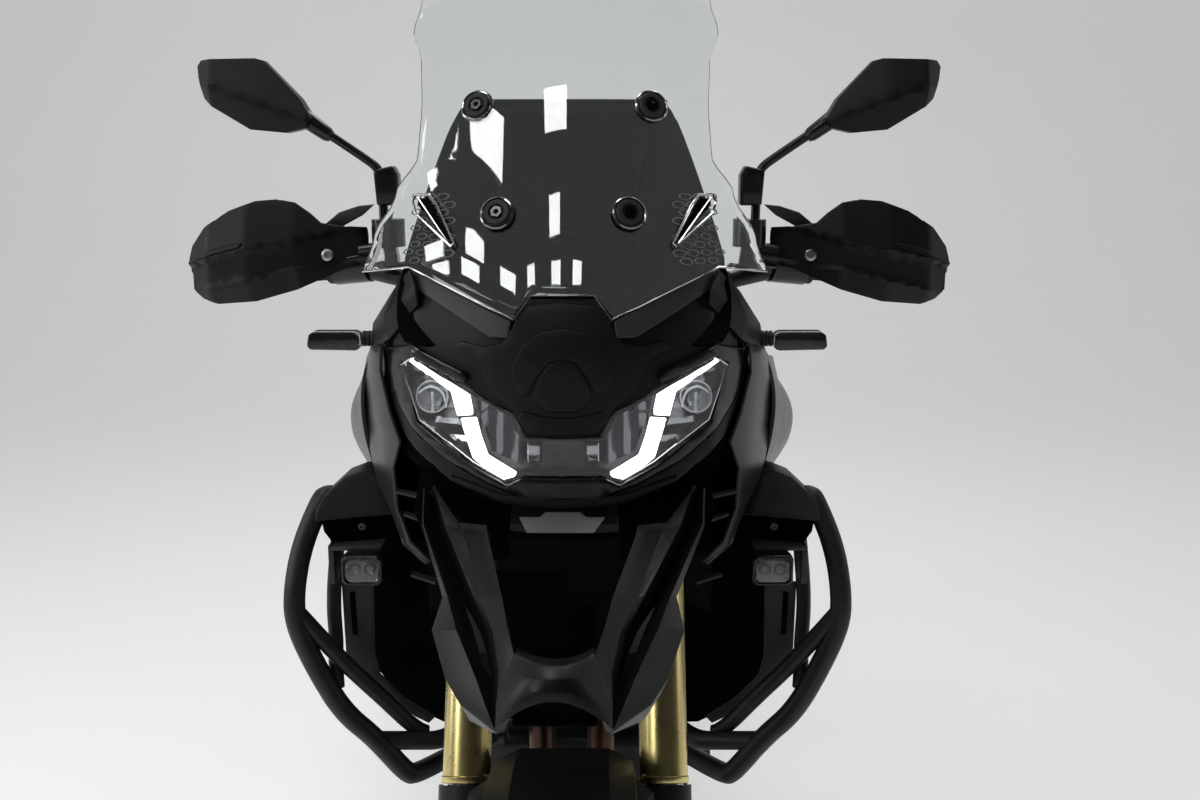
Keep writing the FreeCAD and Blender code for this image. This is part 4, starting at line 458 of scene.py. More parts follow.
LENS = Clear("lamp_lens", "lens", (0.93, 0.95, 0.97), 0.01)
SCREEN = Clear("screen_clear", "screen", (0.90, 0.93, 0.95), 0.0)
SMOKED = Clear("smoked_lens_moulding", "smoked_lens", (0.25, 0.26, 0.27), 0.12)
RED = Clear("red_lens_moulding", "red_lens", (0.65, 0.02, 0.02), 0.08)
LIT = Glow("daylight_guide", "lens", (1.0, 1.0, 1.0), 3.0)
DISPLAY = Finish("display_glass", "satin_plastic", (0.005, 0.006, 0.007), (0.008, 0.009, 0.010), 0.08, 0.03,
                 relief=Relief.SMOOTH, coat=0.6)

NODE_FINISH: dict[str, Surface] = {"black_plastic": MATT, "satin_plastic": GLOSS, "grey_plastic": GREY,
                                   "tank_paint": PAINT, "frame_paint": FRAME, "bar_paint": BAR,
                                   "engine_metal": ENGINE, "cast_alloy": CAST, "bare_alloy": ALLOY,
                                   "gold_anodised": GOLD, "chrome": CHROME, "steel": STEEL,
                                   "exhaust": COPPER, "silencer": SILENCER, "tyre": TYRE, "rubber": RUBBER,
                                   "spokes": SPOKE, "lens": LENS, "screen": SCREEN, "red_lens": RED,
                                   "smoked_lens": SMOKED, "seat": SEAT}

# The screen bracket takes the near-black painted-shade plastic, so that it sinks into shade behind the
# screen.
NODE_OWN: dict[str, Surface] = {"radiator": CORE, "screen_bracket": INNER_SHADE, "yokes": FRAME}


# Mesh making

class Bench:
    """Mesh operations as done by hand."""

    @staticmethod
    def clear() -> None:
        """Leaves edit mode and selects nothing."""
        if bpy.context.object and bpy.context.object.mode != "OBJECT":
            bpy.ops.object.mode_set(mode="OBJECT")
        bpy.ops.object.select_all(action="DESELECT")

    @staticmethod
    def hold(piece: Mesh) -> None:
        """Selects one piece alone and makes it active."""
        Bench.clear()
        piece.select_set(True)
        bpy.context.view_layer.objects.active = piece

    @staticmethod
    def open(piece: Mesh) -> None:
        """Opens a piece in edit mode with everything selected."""
        Bench.hold(piece)
        bpy.ops.object.mode_set(mode="EDIT")
        bpy.ops.mesh.select_mode(type="VERT")
        bpy.ops.mesh.select_all(action="SELECT")

    @staticmethod
    def outward(piece: Mesh, merge_mm: float = 0.02) -> Mesh:
        """Merges doubles and turns the faces outwards."""
        Bench.open(piece)
        bpy.ops.mesh.remove_doubles(threshold=merge_mm * MM)
        bpy.ops.mesh.select_all(action="SELECT")
        bpy.ops.mesh.normals_make_consistent(inside=False)
        bpy.ops.object.mode_set(mode="OBJECT")
        return piece

    @staticmethod
    def outline(points: Sequence[Vector]) -> Mesh:
        """A flat face whose corners are moved to an outline."""
        Bench.clear()
        bpy.ops.mesh.primitive_circle_add(vertices=len(points), radius=0.1, fill_type="NGON")
        piece = bpy.context.object
        for corner, point in zip(piece.data.vertices, points):
            corner.co = point
        return piece

    @staticmethod
    def slab(corners: Sequence[Spot], push: Sequence[float]) -> Mesh:
        """A plate: an outline extruded by a push, both in millimetres."""
        piece = Bench.outline([at(*corner) for corner in corners])
        Bench.open(piece)
        bpy.ops.mesh.extrude_region_move(TRANSFORM_OT_translate={"value": tuple(Vector(push) * MM)})
        bpy.ops.object.mode_set(mode="OBJECT")
        return Bench.outward(piece)

    @staticmethod
    def draped(outline: Sequence[Flat], depth: Depth, thick: float, step: float = 12.0, merge: float = 1.8,
               creases: Sequence[tuple[Flat, Flat]] = ()) -> Mesh:
        """A sheet cut from an outline, seen from the front, and laid over a curved form.

        Args:
            outline: Corners as (across, height).
            depth: The form's distance back at a place.
            thick: The sheet's thickness backwards.
            step: The width of the cells that it is cut into.
            merge: Corners closer than this are merged.
            creases: Lines, each by two points, along which the sheet is cut too.

        Returns:
            The closed sheet.
        """
        piece = Bench.outline([Vector((x, 0.0, z)) * MM for x, z in outline])
        Bench.open(piece)
        for axis, normal in ((0, (1, 0, 0)), (1, (0, 0, 1))):
            values = [point[axis] for point in outline]
            spot = math.floor(min(values) / step + 1) * step
            while spot < max(values):
                place = (spot * MM, 0, 0) if axis == 0 else (0, 0, spot * MM)
                bpy.ops.mesh.select_all(action="SELECT")
                bpy.ops.mesh.bisect(plane_co=place, plane_no=normal)
                spot += step
        for (x, z), (far_x, far_z) in creases:
            bpy.ops.mesh.select_all(action="SELECT")
            bpy.ops.mesh.bisect(plane_co=(x * MM, 0, z * MM), plane_no=(far_z - z, 0, x - far_x))
        bpy.ops.mesh.select_all(action="SELECT")
        bpy.ops.mesh.remove_doubles(threshold=merge * MM)
        bpy.ops.object.mode_set(mode="OBJECT")
        for corner in piece.data.vertices:
            x, z = corner.co.x / MM, corner.co.z / MM
            corner.co.y = (FRONT_AXLE_BACK + depth(x, z)) * MM
        Bench.open(piece)
        bpy.ops.mesh.extrude_region_move(TRANSFORM_OT_translate={"value": (0, thick * MM, 0)})
        bpy.ops.mesh.select_all(action="SELECT")
        bpy.ops.mesh.normals_make_consistent(inside=False)
        bpy.ops.object.mode_set(mode="OBJECT")
        return piece

    @staticmethod
    def skin(rows: Sequence[Sequence[Vector]], closed: bool = False, capped: bool = False) -> Mesh:
        """A surface through rows of points.

        Args:
            rows: Rows with the same number of points.
            closed: Whether each row closes on itself.
            capped: Whether the first and last rows are filled.

        Returns:
            The surface.
        """
        full = [list(row) + ([row[0]] if closed else []) for row in rows]
        across, along = len(full[0]), len(full)
        Bench.clear()
        bpy.ops.mesh.primitive_grid_add(x_subdivisions=across - 1, y_subdivisions=along - 1, size=0.1)
        piece = bpy.context.object
        flat = [value for row in full for point in row for value in point]
        piece.data.vertices.foreach_set("co", flat)
        if closed:
            Bench.open(piece)
            bpy.ops.mesh.remove_doubles(threshold=1e-6)
            if capped:
                bpy.ops.mesh.select_all(action="DESELECT")
                bpy.ops.mesh.select_non_manifold()
                bpy.ops.mesh.fill_holes(sides=0)
            bpy.ops.mesh.select_all(action="SELECT")
            bpy.ops.mesh.normals_make_consistent(inside=False)
            bpy.ops.object.mode_set(mode="OBJECT")
        return piece

    @staticmethod
    def turned(profile: Sequence[Flat], centre: Vector, axis: Vector, steps: int = 40) -> Mesh:
        """A solid of revolution.

        Args:
            profile: A closed loop or a line of (along, radius) pairs, in millimetres.
            centre: A point on the axis.
            axis: The axis, which along is measured on.
            steps: How many steps make a full turn.

        Returns:
            The closed solid.
        """
        axle = axis.normalized()
        side = axle.orthogonal().normalized()
        other = axle.cross(side)
        rows = []
        for index in range(steps):
            angle = 2 * math.pi * index / steps
            away = side * math.cos(angle) + other * math.sin(angle)
            rows.append([centre + axle * (along * MM) + away * (radius * MM) for along, radius in profile])
        rows.append(rows[0])
        piece = Bench.skin(rows)
        return Bench.outward(piece, 0.005)

    @staticmethod
    def tube(points: Sequence[Vector], radius: float, sides: int = 3, smooth: bool = True) -> Mesh:
        """A round bar along points, made from a curve."""
        Bench.clear()
        bpy.ops.curve.primitive_nurbs_path_add()
        curve = bpy.context.object
        curve.data.splines.clear()
        spline = curve.data.splines.new("NURBS" if smooth else "POLY")
        spline.points.add(len(points) - 1)
        for knot, point in zip(spline.points, points):
            knot.co = (*point, 1.0)
        if smooth:
            spline.order_u = 3
            spline.use_endpoint_u = True
            spline.resolution_u = 8
        curve.data.dimensions = "3D"
        curve.data.bevel_depth = radius * MM
        curve.data.bevel_resolution = sides
        curve.data.use_fill_caps = True
        Bench.hold(curve)
        bpy.ops.object.convert(target="MESH")
        return Bench.outward(bpy.context.object, 0.005)

    @staticmethod
    def bevelled(piece: Mesh, width: float = 1.2, segments: int = 2, angle: float = 32.0) -> Mesh:
        """Rounds a piece's sharp edges."""
        Bench.hold(piece)
        modifier = piece.modifiers.new("Edges", "BEVEL")
        modifier.width = width * MM
        modifier.segments = segments
        modifier.limit_method = "ANGLE"
        modifier.angle_limit = math.radians(angle)
        modifier.use_clamp_overlap = True
        modifier.harden_normals = False
        bpy.ops.object.modifier_apply(modifier=modifier.name)
        return piece

    @staticmethod
    def subdivided(piece: Mesh, levels: int = 1) -> Mesh:
        """Smooths a piece by subdivision."""
        Bench.hold(piece)
        modifier = piece.modifiers.new("Smooth", "SUBSURF")
        modifier.levels = levels
        modifier.render_levels = levels
        bpy.ops.object.modifier_apply(modifier=modifier.name)
        return piece

    @staticmethod
    def thickened(piece: Mesh, thick: float, offset: float = -1.0) -> Mesh:
        """Gives a sheet a thickness."""
        Bench.hold(piece)
        modifier = piece.modifiers.new("Wall", "SOLIDIFY")
        modifier.thickness = thick * MM
        modifier.offset = offset
        modifier.use_even_offset = True
        bpy.ops.object.modifier_apply(modifier=modifier.name)
        return piece

    @staticmethod
    def copied(piece: Mesh) -> Mesh:
        """A copy with its own mesh."""
        Bench.hold(piece)
        bpy.ops.object.duplicate(linked=False)
        return bpy.context.object

    @staticmethod
    def mirrored(piece: Mesh) -> Mesh:
        """A mirror copy on the other side of the machine."""
        twin = Bench.copied(piece)
        twin.data.transform(Matrix.Scale(-1.0, 4, Vector((1, 0, 0))))
        twin.data.flip_normals()
        return twin

    @staticmethod
    def joined(pieces: Sequence[Mesh]) -> Mesh:
        """One piece from several."""
        Bench.clear()
        for piece in pieces:
            piece.select_set(True)
        bpy.context.view_layer.objects.active = pieces[0]
        if len(pieces) > 1:
            bpy.ops.object.join()
        return bpy.context.object

    @staticmethod
    def both(piece: Mesh) -> Mesh:
        """A piece and its mirror copy as one."""
        return Bench.joined([piece, Bench.mirrored(piece)])

    @staticmethod
    def spun(piece: Mesh, count: int, centre: Vector, axis: Vector) -> Mesh:
        """Repeats a piece around an axis, itself included."""
        Bench.open(piece)
        bpy.ops.mesh.spin(steps=count - 1, dupli=True, angle=2 * math.pi * (count - 1) / count,
                          center=centre, axis=axis)
        bpy.ops.object.mode_set(mode="OBJECT")
        return piece

    @staticmethod
    def cut(piece: Mesh, tool: Mesh) -> Mesh:
        """Takes one closed piece out of another and removes the tool."""
        Bench.hold(piece)
        modifier = piece.modifiers.new("Holes", "BOOLEAN")
        modifier.operation = "DIFFERENCE"
        modifier.solver = "EXACT"
        modifier.object = tool
        bpy.ops.object.modifier_apply(modifier=modifier.name)
        bpy.data.objects.remove(tool, do_unlink=True)
        return piece

    @staticmethod
    def sections(table: SectionTable, levels: int = 2) -> Mesh:
        """A closed body through cross-sections, each given by its left half, then smoothed."""
        rows = []
        for back, half in table:
            row = [at(x, back, z) for x, z in half]
            rows.append(row + [at(-x, back, z) for x, z in reversed(half)])
        return Bench.subdivided(Bench.skin(rows, closed=True, capped=True), levels)


@dataclass
class SubAssembly:
    """A group of pieces that are built and dressed together."""

    body: Body = Body.CHASSIS

    def dress(self, piece: Mesh, name: str, finish: Surface, *nodes: str,
              body: Body | None = None, smooth: float = 40.0) -> Mesh:
        """Names a piece, gives it its finish and lets it ride.

        Args:
            piece: The mesh.
            name: Its name.
            finish: Its finish.
            *nodes: CAD nodes that it stands for.
            body: The body that it rides on, or the group's own.
            smooth: Edges flatter than this are shaded smooth, in degrees.

        Returns:
            The piece.
        """
        piece.name = name
        piece.data.name = name
        piece.data.materials.clear()
        piece.data.materials.append(finish.material())
        Bench.hold(piece)
        bpy.ops.object.shade_smooth_by_angle(angle=math.radians(smooth))
        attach(piece, (body or self.body).value)
        if nodes:
            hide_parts(*nodes)
        LOG.info("%s: %d faces", name, len(piece.data.polygons))
        return piece

    def sheet(self, name: str, finish: Surface, outline: Sequence[Flat], depth: Depth,
              thick: float, *nodes: str, step: float = 12.0, merge: float = 1.8, bevel: float = 0.0,
              segments: int = 2, angle: float = 32.0, twin: bool = True, smooth: float = 40.0) -> Mesh:
        """Lays a sheet over a form, rounds its edges, repeats it on the right side and dresses it.

        Args:
            name: The piece's name.
            finish: Its finish.
            outline: Its corners as (across, height).
            depth: The form that it lies on.
            thick: Its thickness.
            *nodes: CAD nodes that it stands for.
            step: The width of the cells that it is cut into.
            merge: Corners closer than this are merged.
            bevel: The width of its rounded edges, if any.
            segments: How many steps go round an edge.
            angle: Edges sharper than this are rounded, in degrees.
            twin: Whether it has a twin on the right side.
            smooth: Edges flatter than this are shaded smooth, in degrees.

        Returns:
            The piece.
        """
        piece = Bench.draped(outline, depth, thick, step, merge)
        if bevel:
            piece = Bench.bevelled(piece, bevel, segments, angle)
        if twin:
            piece = Bench.both(piece)
        return self.dress(piece, name, finish, *nodes, smooth=smooth)

    def build(self) -> None:
        """Builds the group's pieces."""
        raise NotImplementedError


# The front

@dataclass
class Windscreen(SubAssembly):
    """The tall clear screen with its fixings, side vents and printed cells."""

    thick: float = 4.0
    columns: int = 34
    rows: int = 30
    reach: float = 224.0
    # The raised middle's edge at a height, how it leans out, its softness and its rise.
    ridge: Flat = (112.0, 1260.0)
    ridge_lean: float = 0.12
    ridge_soft: float = 7.0
    ridge_rise: float = 5.0
    ridge_fade: Loop = ((1230, 0.0), (1480, 1.0))
    # Share of the half width, height.
    upper_edge: Loop = ((0.0, 1532.0), (0.7, 1525.0), (1.0, 1500.0))
    half_width: Loop = (
        (1198, 224), (1236, 212), (1282, 188), (1324, 163), (1376, 161), (1428, 164), (1462, 175),
        (1500, 166),
    )
    lower_edge: Loop = ((0, 1181), (33, 1181), (51, 1157), (168, 1206), (224, 1198))
    fixings: Loop = ((95, 1376), (70, 1263))
    # The vent's outline, traced in chrome as a painted highlight, and the dark sheet inside it, which paints
    # shade.
    vent_highlight_loop: Loop = (
        (147, 1282), (162, 1282), (166, 1275), (162, 1262), (120, 1229), (117, 1232), (138, 1271),
    )
    vent_shade_loop: Loop = ((148, 1278), (160, 1278), (161, 1272), (124, 1236), (122, 1238))
    cell_pitch: float = 15.0
    first_cell: Flat = (116.0, 1212.0)
    # Profiles of the fixings as (along, radius).
    grommet: Loop = (
        (-10, 0), (3, 0), (3, 8), (5.5, 9), (5.5, 13), (2.5, 15.5), (-2, 15.5), (-2, 12), (-10, 12),
    )
    bolt: Loop = ((2, 0), (5.0, 2.0), (6.5, 3.2), (6.5, 6.4), (2, 6.6))
    rim: Loop = ((0.5, 15.8), (3.0, 16.2), (3.4, 17.4), (2.6, 18.6), (0.5, 19))

    def build(self) -> None:
        """Builds the sheet, the fixings, the vents and the cells."""
        self.dress(self.sheet(), "screen_sheet", SCREEN, "windscreen", smooth=50.0)
        rings, bolts, caps = [], [], []
        for side in (-1, 1):
            for x, z in self.fixings:
                centre = at(side * x, screen_back(x, z), z)
                facing = self.facing(side * x)
                rings.append(Bench.turned(self.grommet, centre, facing, 32))
                bolts.append(Bench.turned(self.bolt, centre, facing, 6))
                caps.append(Bench.turned(self.rim, centre, facing, 36))
        self.dress(Bench.joined(rings), "screen_grommets", RUBBER)
        self.dress(Bench.joined(bolts), "screen_bolts", SHADE)
        self.dress(Bench.joined(caps), "screen_fixing_rims", BRIGHT)
        self.vents()
        self.cells()

    def facing(self, x: float) -> Vector:
        """The way that the screen's front face looks."""
        return Vector((2 * SCREEN_CURVE * x, -1.0, SCREEN_SLOPE))

    def relief(self, x: float, z: float) -> float:
        """How far the raised middle stands ahead of the sheet's curve."""
        edge = self.ridge[0] + (z - self.ridge[1]) * self.ridge_lean
        rise = blended(((edge - self.ridge_soft, 1.0), (edge + self.ridge_soft, 0.0)), abs(x))
        return self.ridge_rise * rise * blended(self.ridge_fade, z)

    def sheet(self) -> Mesh:
        """The curved sheet, trimmed to its outline."""
        knots = {round(x / self.reach, 4) for x, _ in self.lower_edge}
        evenly = {round(2 * index / self.columns, 4) for index in range(self.columns // 2 + 1)}
        shares = sorted(knots | evenly)
        shares = [-share for share in reversed(shares) if share > 0] + shares
        foot, head = self.half_width[0][0], self.half_width[-1][0]
        rows = []
        for step in range(self.rows + 1):
            rise = step / self.rows
            row = []
            for share in shares:
                low = straight(self.lower_edge, abs(share) * self.reach)
                high = blended(self.upper_edge, abs(share))
                x = share * blended(self.half_width, foot + (head - foot) * rise)
                z = low + (high - low) * rise
                row.append(at(x, screen_back(x, z) - self.relief(x, z), z))
            rows.append(row)
        sheet = Bench.skin(rows)
        Bench.outward(sheet)
        Bench.thickened(sheet, self.thick, 1.0 if sheet.data.polygons[0].normal.y > 0 else -1.0)
        return Bench.bevelled(sheet, 0.8, 2, 60.0)

    def vents(self) -> None:
        """A three-cornered vent in each side of the screen: chrome lines round it and along the screen's
        lower edge paint the highlights on the glass edges, and a dark sheet over it paints the shade in its
        opening.
        """
        edge_highlights, shade_sheets = [], []
        for side in (-1, 1):
            line = [at(side * x, screen_back(x, z) - 3.0, z) for x, z in self.vent_highlight_loop]
            edge_highlights.append(Bench.tube(line + line[:2], 1.5, 2, smooth=False))
            line = [at(side * x, screen_back(x, z) - 3.0, z) for x, z in ((160, 1278), (123, 1232))]
            edge_highlights.append(Bench.tube(line, 1.1, 2, smooth=False))
            shade_sheets.append(Bench.draped([(side * x, z) for x, z in self.vent_shade_loop],
                                        behind(screen_back, -1.6), 1.2, 20.0))
            # The screen's lower edge, traced in chrome as a painted highlight.
            edge = [at(side * x, screen_back(x, z) - 1.2, z) for x, z in self.lower_edge]
            edge_highlights.append(Bench.tube(edge, 1.0, 2, smooth=False))
        self.dress(Bench.joined(edge_highlights), "screen_edge_highlights", CHROME)
        self.dress(Bench.joined(shade_sheets), "screen_vent_shade", INNER_SHADE)

    def cells(self) -> None:
        """Printed six-sided cells on the screen's inner face, beside the vents."""
        cells = []
        first_x, first_z = self.first_cell
        for row in range(9):
            for column in range(5):
                x = first_x + column * self.cell_pitch + (row % 2) * self.cell_pitch / 2
                z = first_z + row * self.cell_pitch * 0.56
                if not 120.0 < x < 170.0 - 0.12 * (z - 1214.0):
                    continue
                radius = 6.2 - 0.03 * (x - 150.0)
                centre = at(x, screen_back(x, z) + 5.4, z)
                ring = [(0, radius - 1.5), (0, radius), (0.7, radius), (0.7, radius - 1.5)]
                cell = Bench.turned(ring, centre, self.facing(x), 6)
                cell.data.transform(Matrix.Translation(centre) @ Matrix.Diagonal(
                                            (1.25, 1.0, 0.66, 1.0)) @ Matrix.Translation(-centre))
                cells.append(cell)
        self.dress(Bench.both(Bench.joined(cells)), "screen_printed_cells", PRINT)


@dataclass
class Headlights(SubAssembly):
    """The joined headlights: lens, light guides, bowls and the black pocket behind them."""

    lens_loop: Loop = (
        (0, 1034), (39, 1034), (51, 1060), (83, 1073), (101, 1086), (165, 1112), (179, 1100), (158, 1041),
        (95, 1001), (60, 984), (41, 993), (0, 993),
    )
    guides: tuple[Loop, ...] = (
        ((166, 1110), (161, 1110), (141, 1102), (101, 1085), (95, 1054), (113, 1051), (120, 1077),
         (148, 1093), (169, 1105)),
        ((110, 1048), (92, 1051), (87, 1031), (80, 1011), (49, 994), (52, 990), (66, 986), (97, 1007)),
    )
    outer_facet: Loop = (
        (171, 1099), (149, 1091), (123, 1075), (115, 1049), (99, 1008), (111, 1014), (154, 1043),
        (175, 1099),
    )
    inner_facet: Loop = ((99, 1080), (84, 1070), (54, 1057), (42, 1033), (42, 998), (77, 1013), (90, 1052))
    bowl_spot: Flat = (143, 1067)
    arch: Line = ((-15, 13, -12), (-14, 11, 2), (-6, 10, 11), (6, 10, 12), (14, 11, 4))
    # Where the painted highlight along the lens's edge runs.
    lens_highlight_line: Loop = ((166, 1108), (178, 1099), (157, 1042), (112, 1014), (96, 1003), (62, 986))

    def build(self) -> None:
        """Builds the lens and what shows through it."""
        loop = both_sides(self.lens_loop)
        self.sheet("headlight_lens_cover", LENS, loop, nose_back, 2.5, "headlight_lens", bevel=0.7,
                   twin=False)
        pocket = Bench.draped(loop, behind(nose_back, 30.0), 3.0)
        walls = Bench.draped(loop, behind(nose_back, 2.8), 30.0)
        self.hollow(walls)
        self.dress(Bench.joined([pocket, walls]), "headlight_pocket", GLOSS, "headlight_housing")
        guides = []
        for shape in self.guides:
            bar = Bench.bevelled(Bench.draped(shape, behind(nose_back, 4.5), 7.0), 1.6, 3)
            guides += [bar, Bench.mirrored(bar)]
        self.dress(Bench.joined(guides), "headlight_guides", LIT)
        self.facets()
        self.bowls()

    def hollow(self, walls: Mesh) -> None:
        """Takes the front and back faces off a solid, which leaves its side walls."""
        Bench.hold(walls)
        bpy.ops.object.mode_set(mode="EDIT")
        bpy.ops.mesh.select_all(action="DESELECT")
        bpy.ops.object.mode_set(mode="OBJECT")
        for face in walls.data.polygons:
            face.select = abs(face.normal.y) > 0.45
        bpy.ops.object.mode_set(mode="EDIT")
        bpy.ops.mesh.select_mode(type="FACE")
        bpy.ops.mesh.delete(type="ONLY_FACE")
        bpy.ops.object.mode_set(mode="OBJECT")
        Bench.outward(walls)
        Bench.thickened(walls, 1.2, 0.0)

    def facets(self) -> None:
        """The fluted facets on both sides of the guides and the blocks at the middle."""
        self.sheet("headlight_outer_facets", BRIGHT, self.outer_facet,
                   lambda x, z: nose_back(x, z) + 20.0 + 4.0 * abs(math.sin(z / 6.0)), 2.0, step=6.0,
                   merge=1.0, smooth=25.0)
        self.sheet("headlight_inner_facets", SHADE, self.inner_facet,
                   lambda x, z: nose_back(x, z) + 18.0 + 5.0 * abs(math.sin(x / 5.0)), 2.0, step=4.0,
                   merge=1.0, smooth=25.0)
        self.sheet("headlight_side_prisms", BRIGHT, [(24, 1000), (38, 1000), (38, 1026), (24, 1026)],
                   lambda x, z: nose_back(x, z) + 8.0 + 0.5 * abs(z - 1013), 5.0, step=7.0, bevel=1.5,
                   segments=3)
        self.sheet("headlight_centre_plate", GLOSS, [(-22, 1001), (22, 1001), (22, 1031), (-22, 1031)],
                   behind(nose_back, 7.0), 3.0, bevel=0.8, twin=False)

    def bowls(self) -> None:
        """The lamp bowls with their lenses, and chrome lines round the lens that paint the highlight along
        its edge.
        """
        x, z = self.bowl_spot
        front = nose_back(x, z)
        centre = at(x, front + 20.0, z)
        facing = Vector((0, -1, 0.05))
        bowl = Bench.turned([(-8, 0), (-7, 7), (0, 13), (9, 16.5), (9, 18), (-2, 14), (-10, 8)], centre,
                            facing, 36)
        fin = Bench.bevelled(Bench.draped([(x - 3, z - 17), (x + 3, z - 17), (x + 2, z + 6),
                                           (x - 2, z + 6)], behind(nose_back, 9.0), 4.0), 0.8)
        arch = Bench.tube([at(x + across, front + back, z + up) for across, back, up in self.arch], 1.5, 5)
        self.dress(Bench.both(Bench.joined([bowl, fin, arch])), "headlight_bowls", BOWL, smooth=30.0)
        bulb = Bench.turned([(-8, 0), (-8, 6), (-2, 6.5), (3, 5), (5.0, 3), (5.6, 0)], centre, facing, 32)
        self.dress(Bench.both(bulb), "headlight_projector_lenses", LENS)
        # A thin chrome strip along the lens's lower and outer edge paints the highlight there.
        strip = Bench.tube([at(a, nose_back(a, b) + 3.4, b) for a, b in self.lens_highlight_line], 0.9, 2,
                           smooth=False)
        self.dress(Bench.both(strip), "headlight_lens_highlights", CHROME)


@dataclass
class Nose(SubAssembly):
    """The cowl above the lamps, the bezel round them and the trims below the screen."""

    cowl_loop: Loop = (
        (0, 1030), (43, 1030), (61, 1057), (109, 1081), (167, 1108), (184, 1102), (207, 1112), (211, 1130),
        (199, 1160), (184, 1196), (168, 1200), (52, 1153), (36, 1176), (0, 1176),
    )
    panel_loop: Loop = (
        (0, 1036), (19, 1037), (39, 1042), (51, 1062), (66, 1076), (79, 1090), (91, 1117), (114, 1125),
        (108, 1132), (80, 1128), (62, 1133), (52, 1148), (42, 1170), (0, 1174),
    )
    hood_loop: Loop = (
        (0, 1118), (14, 1115), (27, 1100), (35, 1082), (44, 1080), (51, 1092), (52, 1110), (42, 1131),
        (24, 1144), (0, 1148),
    )
    shield_loop: Loop = ((0, 1062), (16, 1062), (32, 1079), (25, 1098), (14, 1114), (0, 1118))
    tip_loop: Loop = ((0, 1057), (20, 1057), (42, 1062), (46, 1054), (34, 1040), (0, 1038))
    bezel_loop: Loop = (
        (0, 968), (35, 968), (77, 981), (126, 1003), (170, 1034), (191, 1057), (203, 1102), (198, 1112),
        (165, 1124), (146, 1117), (160, 1111), (181, 1101), (160, 1040), (95, 998), (60, 981), (41, 991),
        (0, 991),
    )
    brow_loop: Loop = ((166, 1112), (165, 1120), (152, 1119), (106, 1101), (101, 1095), (104, 1089))
    chin_loop: Loop = (
        (0, 958), (30, 959), (62, 960), (122, 979), (178, 1018), (206, 1064), (211, 1128), (204, 1110),
        (192, 1056), (171, 1032), (126, 1001), (77, 979), (35, 966), (0, 966),
    )
    lip_loop: Loop = (
        (0, 962), (31, 963), (64, 963), (122, 981), (122, 986), (64, 971), (31, 970), (0, 970),
    )
    wedge_loop: Loop = ((168, 1203), (150, 1198), (53, 1155), (56, 1138), (76, 1138), (166, 1186))
    slot_loop: Loop = ((151, 1026), (132, 1021), (134, 1016), (153, 1022))
    shade_backing_loop: Loop = (
        (-200, 1128), (-205, 1010), (-130, 952), (130, 952), (205, 1010), (200, 1128), (160, 1180),
        (-160, 1180),
    )

    def build(self) -> None:
        """Builds the nose's panels."""
        cowl = self.whole(self.cowl_loop, 4.0, 12.0, (((162, 1100), (162, 1200)),))
        self.dress(Bench.bevelled(cowl, 1.5), "nose_cowl", MATT, "nose_fairing")
        # Columns: name, left half, shift back of the cowl's face, thickness, bevel, its steps.
        for name, half, shift, thick, bevel, segments in (
                ("nose_centre_panel", self.panel_loop, -3.0, 12.0, 2.2, 3),
                ("nose_hood", self.hood_loop, -6.0, 12.0, 3.0, 3),
                ("nose_shield", self.shield_loop, -5.0, 10.0, 2.4, 3),
                ("nose_tip", self.tip_loop, -7.0, 10.0, 2.4, 3),
                ("nose_chin", self.chin_loop, 1.0, 34.0, 2.2, 2),
                ("nose_chin_lip", self.lip_loop, -3.0, 8.0, 1.2, 2),
        ):
            self.dress(Bench.bevelled(self.whole(half, shift, thick), bevel, segments), name, MATT)
        bezel = self.whole(self.bezel_loop, -4.0, 26.0)
        brow = Bench.draped(self.brow_loop, behind(nose_back, -5.0), 18.0)
        self.dress(Bench.bevelled(Bench.joined([bezel, Bench.both(brow)]), 2.0), "lamp_bezel", GLOSS)
        self.sheet("nose_wedges", GREY, self.wedge_loop, behind(cowl_back, -4.0), 9.0, bevel=2.0, segments=3)
        self.sheet("bezel_slots", GREY, self.slot_loop, behind(nose_back, -5.2), 3.0, bevel=0.8)
        # A dark flat sheet behind the lamps' opening paints the shade inside the nose.
        self.sheet("nose_shade_backing", INNER_SHADE, self.shade_backing_loop, behind(nose_back, 30.0), 2.0, step=30.0,
                   twin=False)

    def whole(self, half: Sequence[Flat], shift: float, thick: float,
              creases: Sequence[tuple[Flat, Flat]] = ()) -> Mesh:
        """A panel over both sides of the nose, at a shift back of the cowl's face."""
        twins = [((-x, z), (-far_x, far_z)) for (x, z), (far_x, far_z) in creases]
        return Bench.draped(both_sides(half), behind(cowl_back, shift), thick, creases=[*creases, *twins])


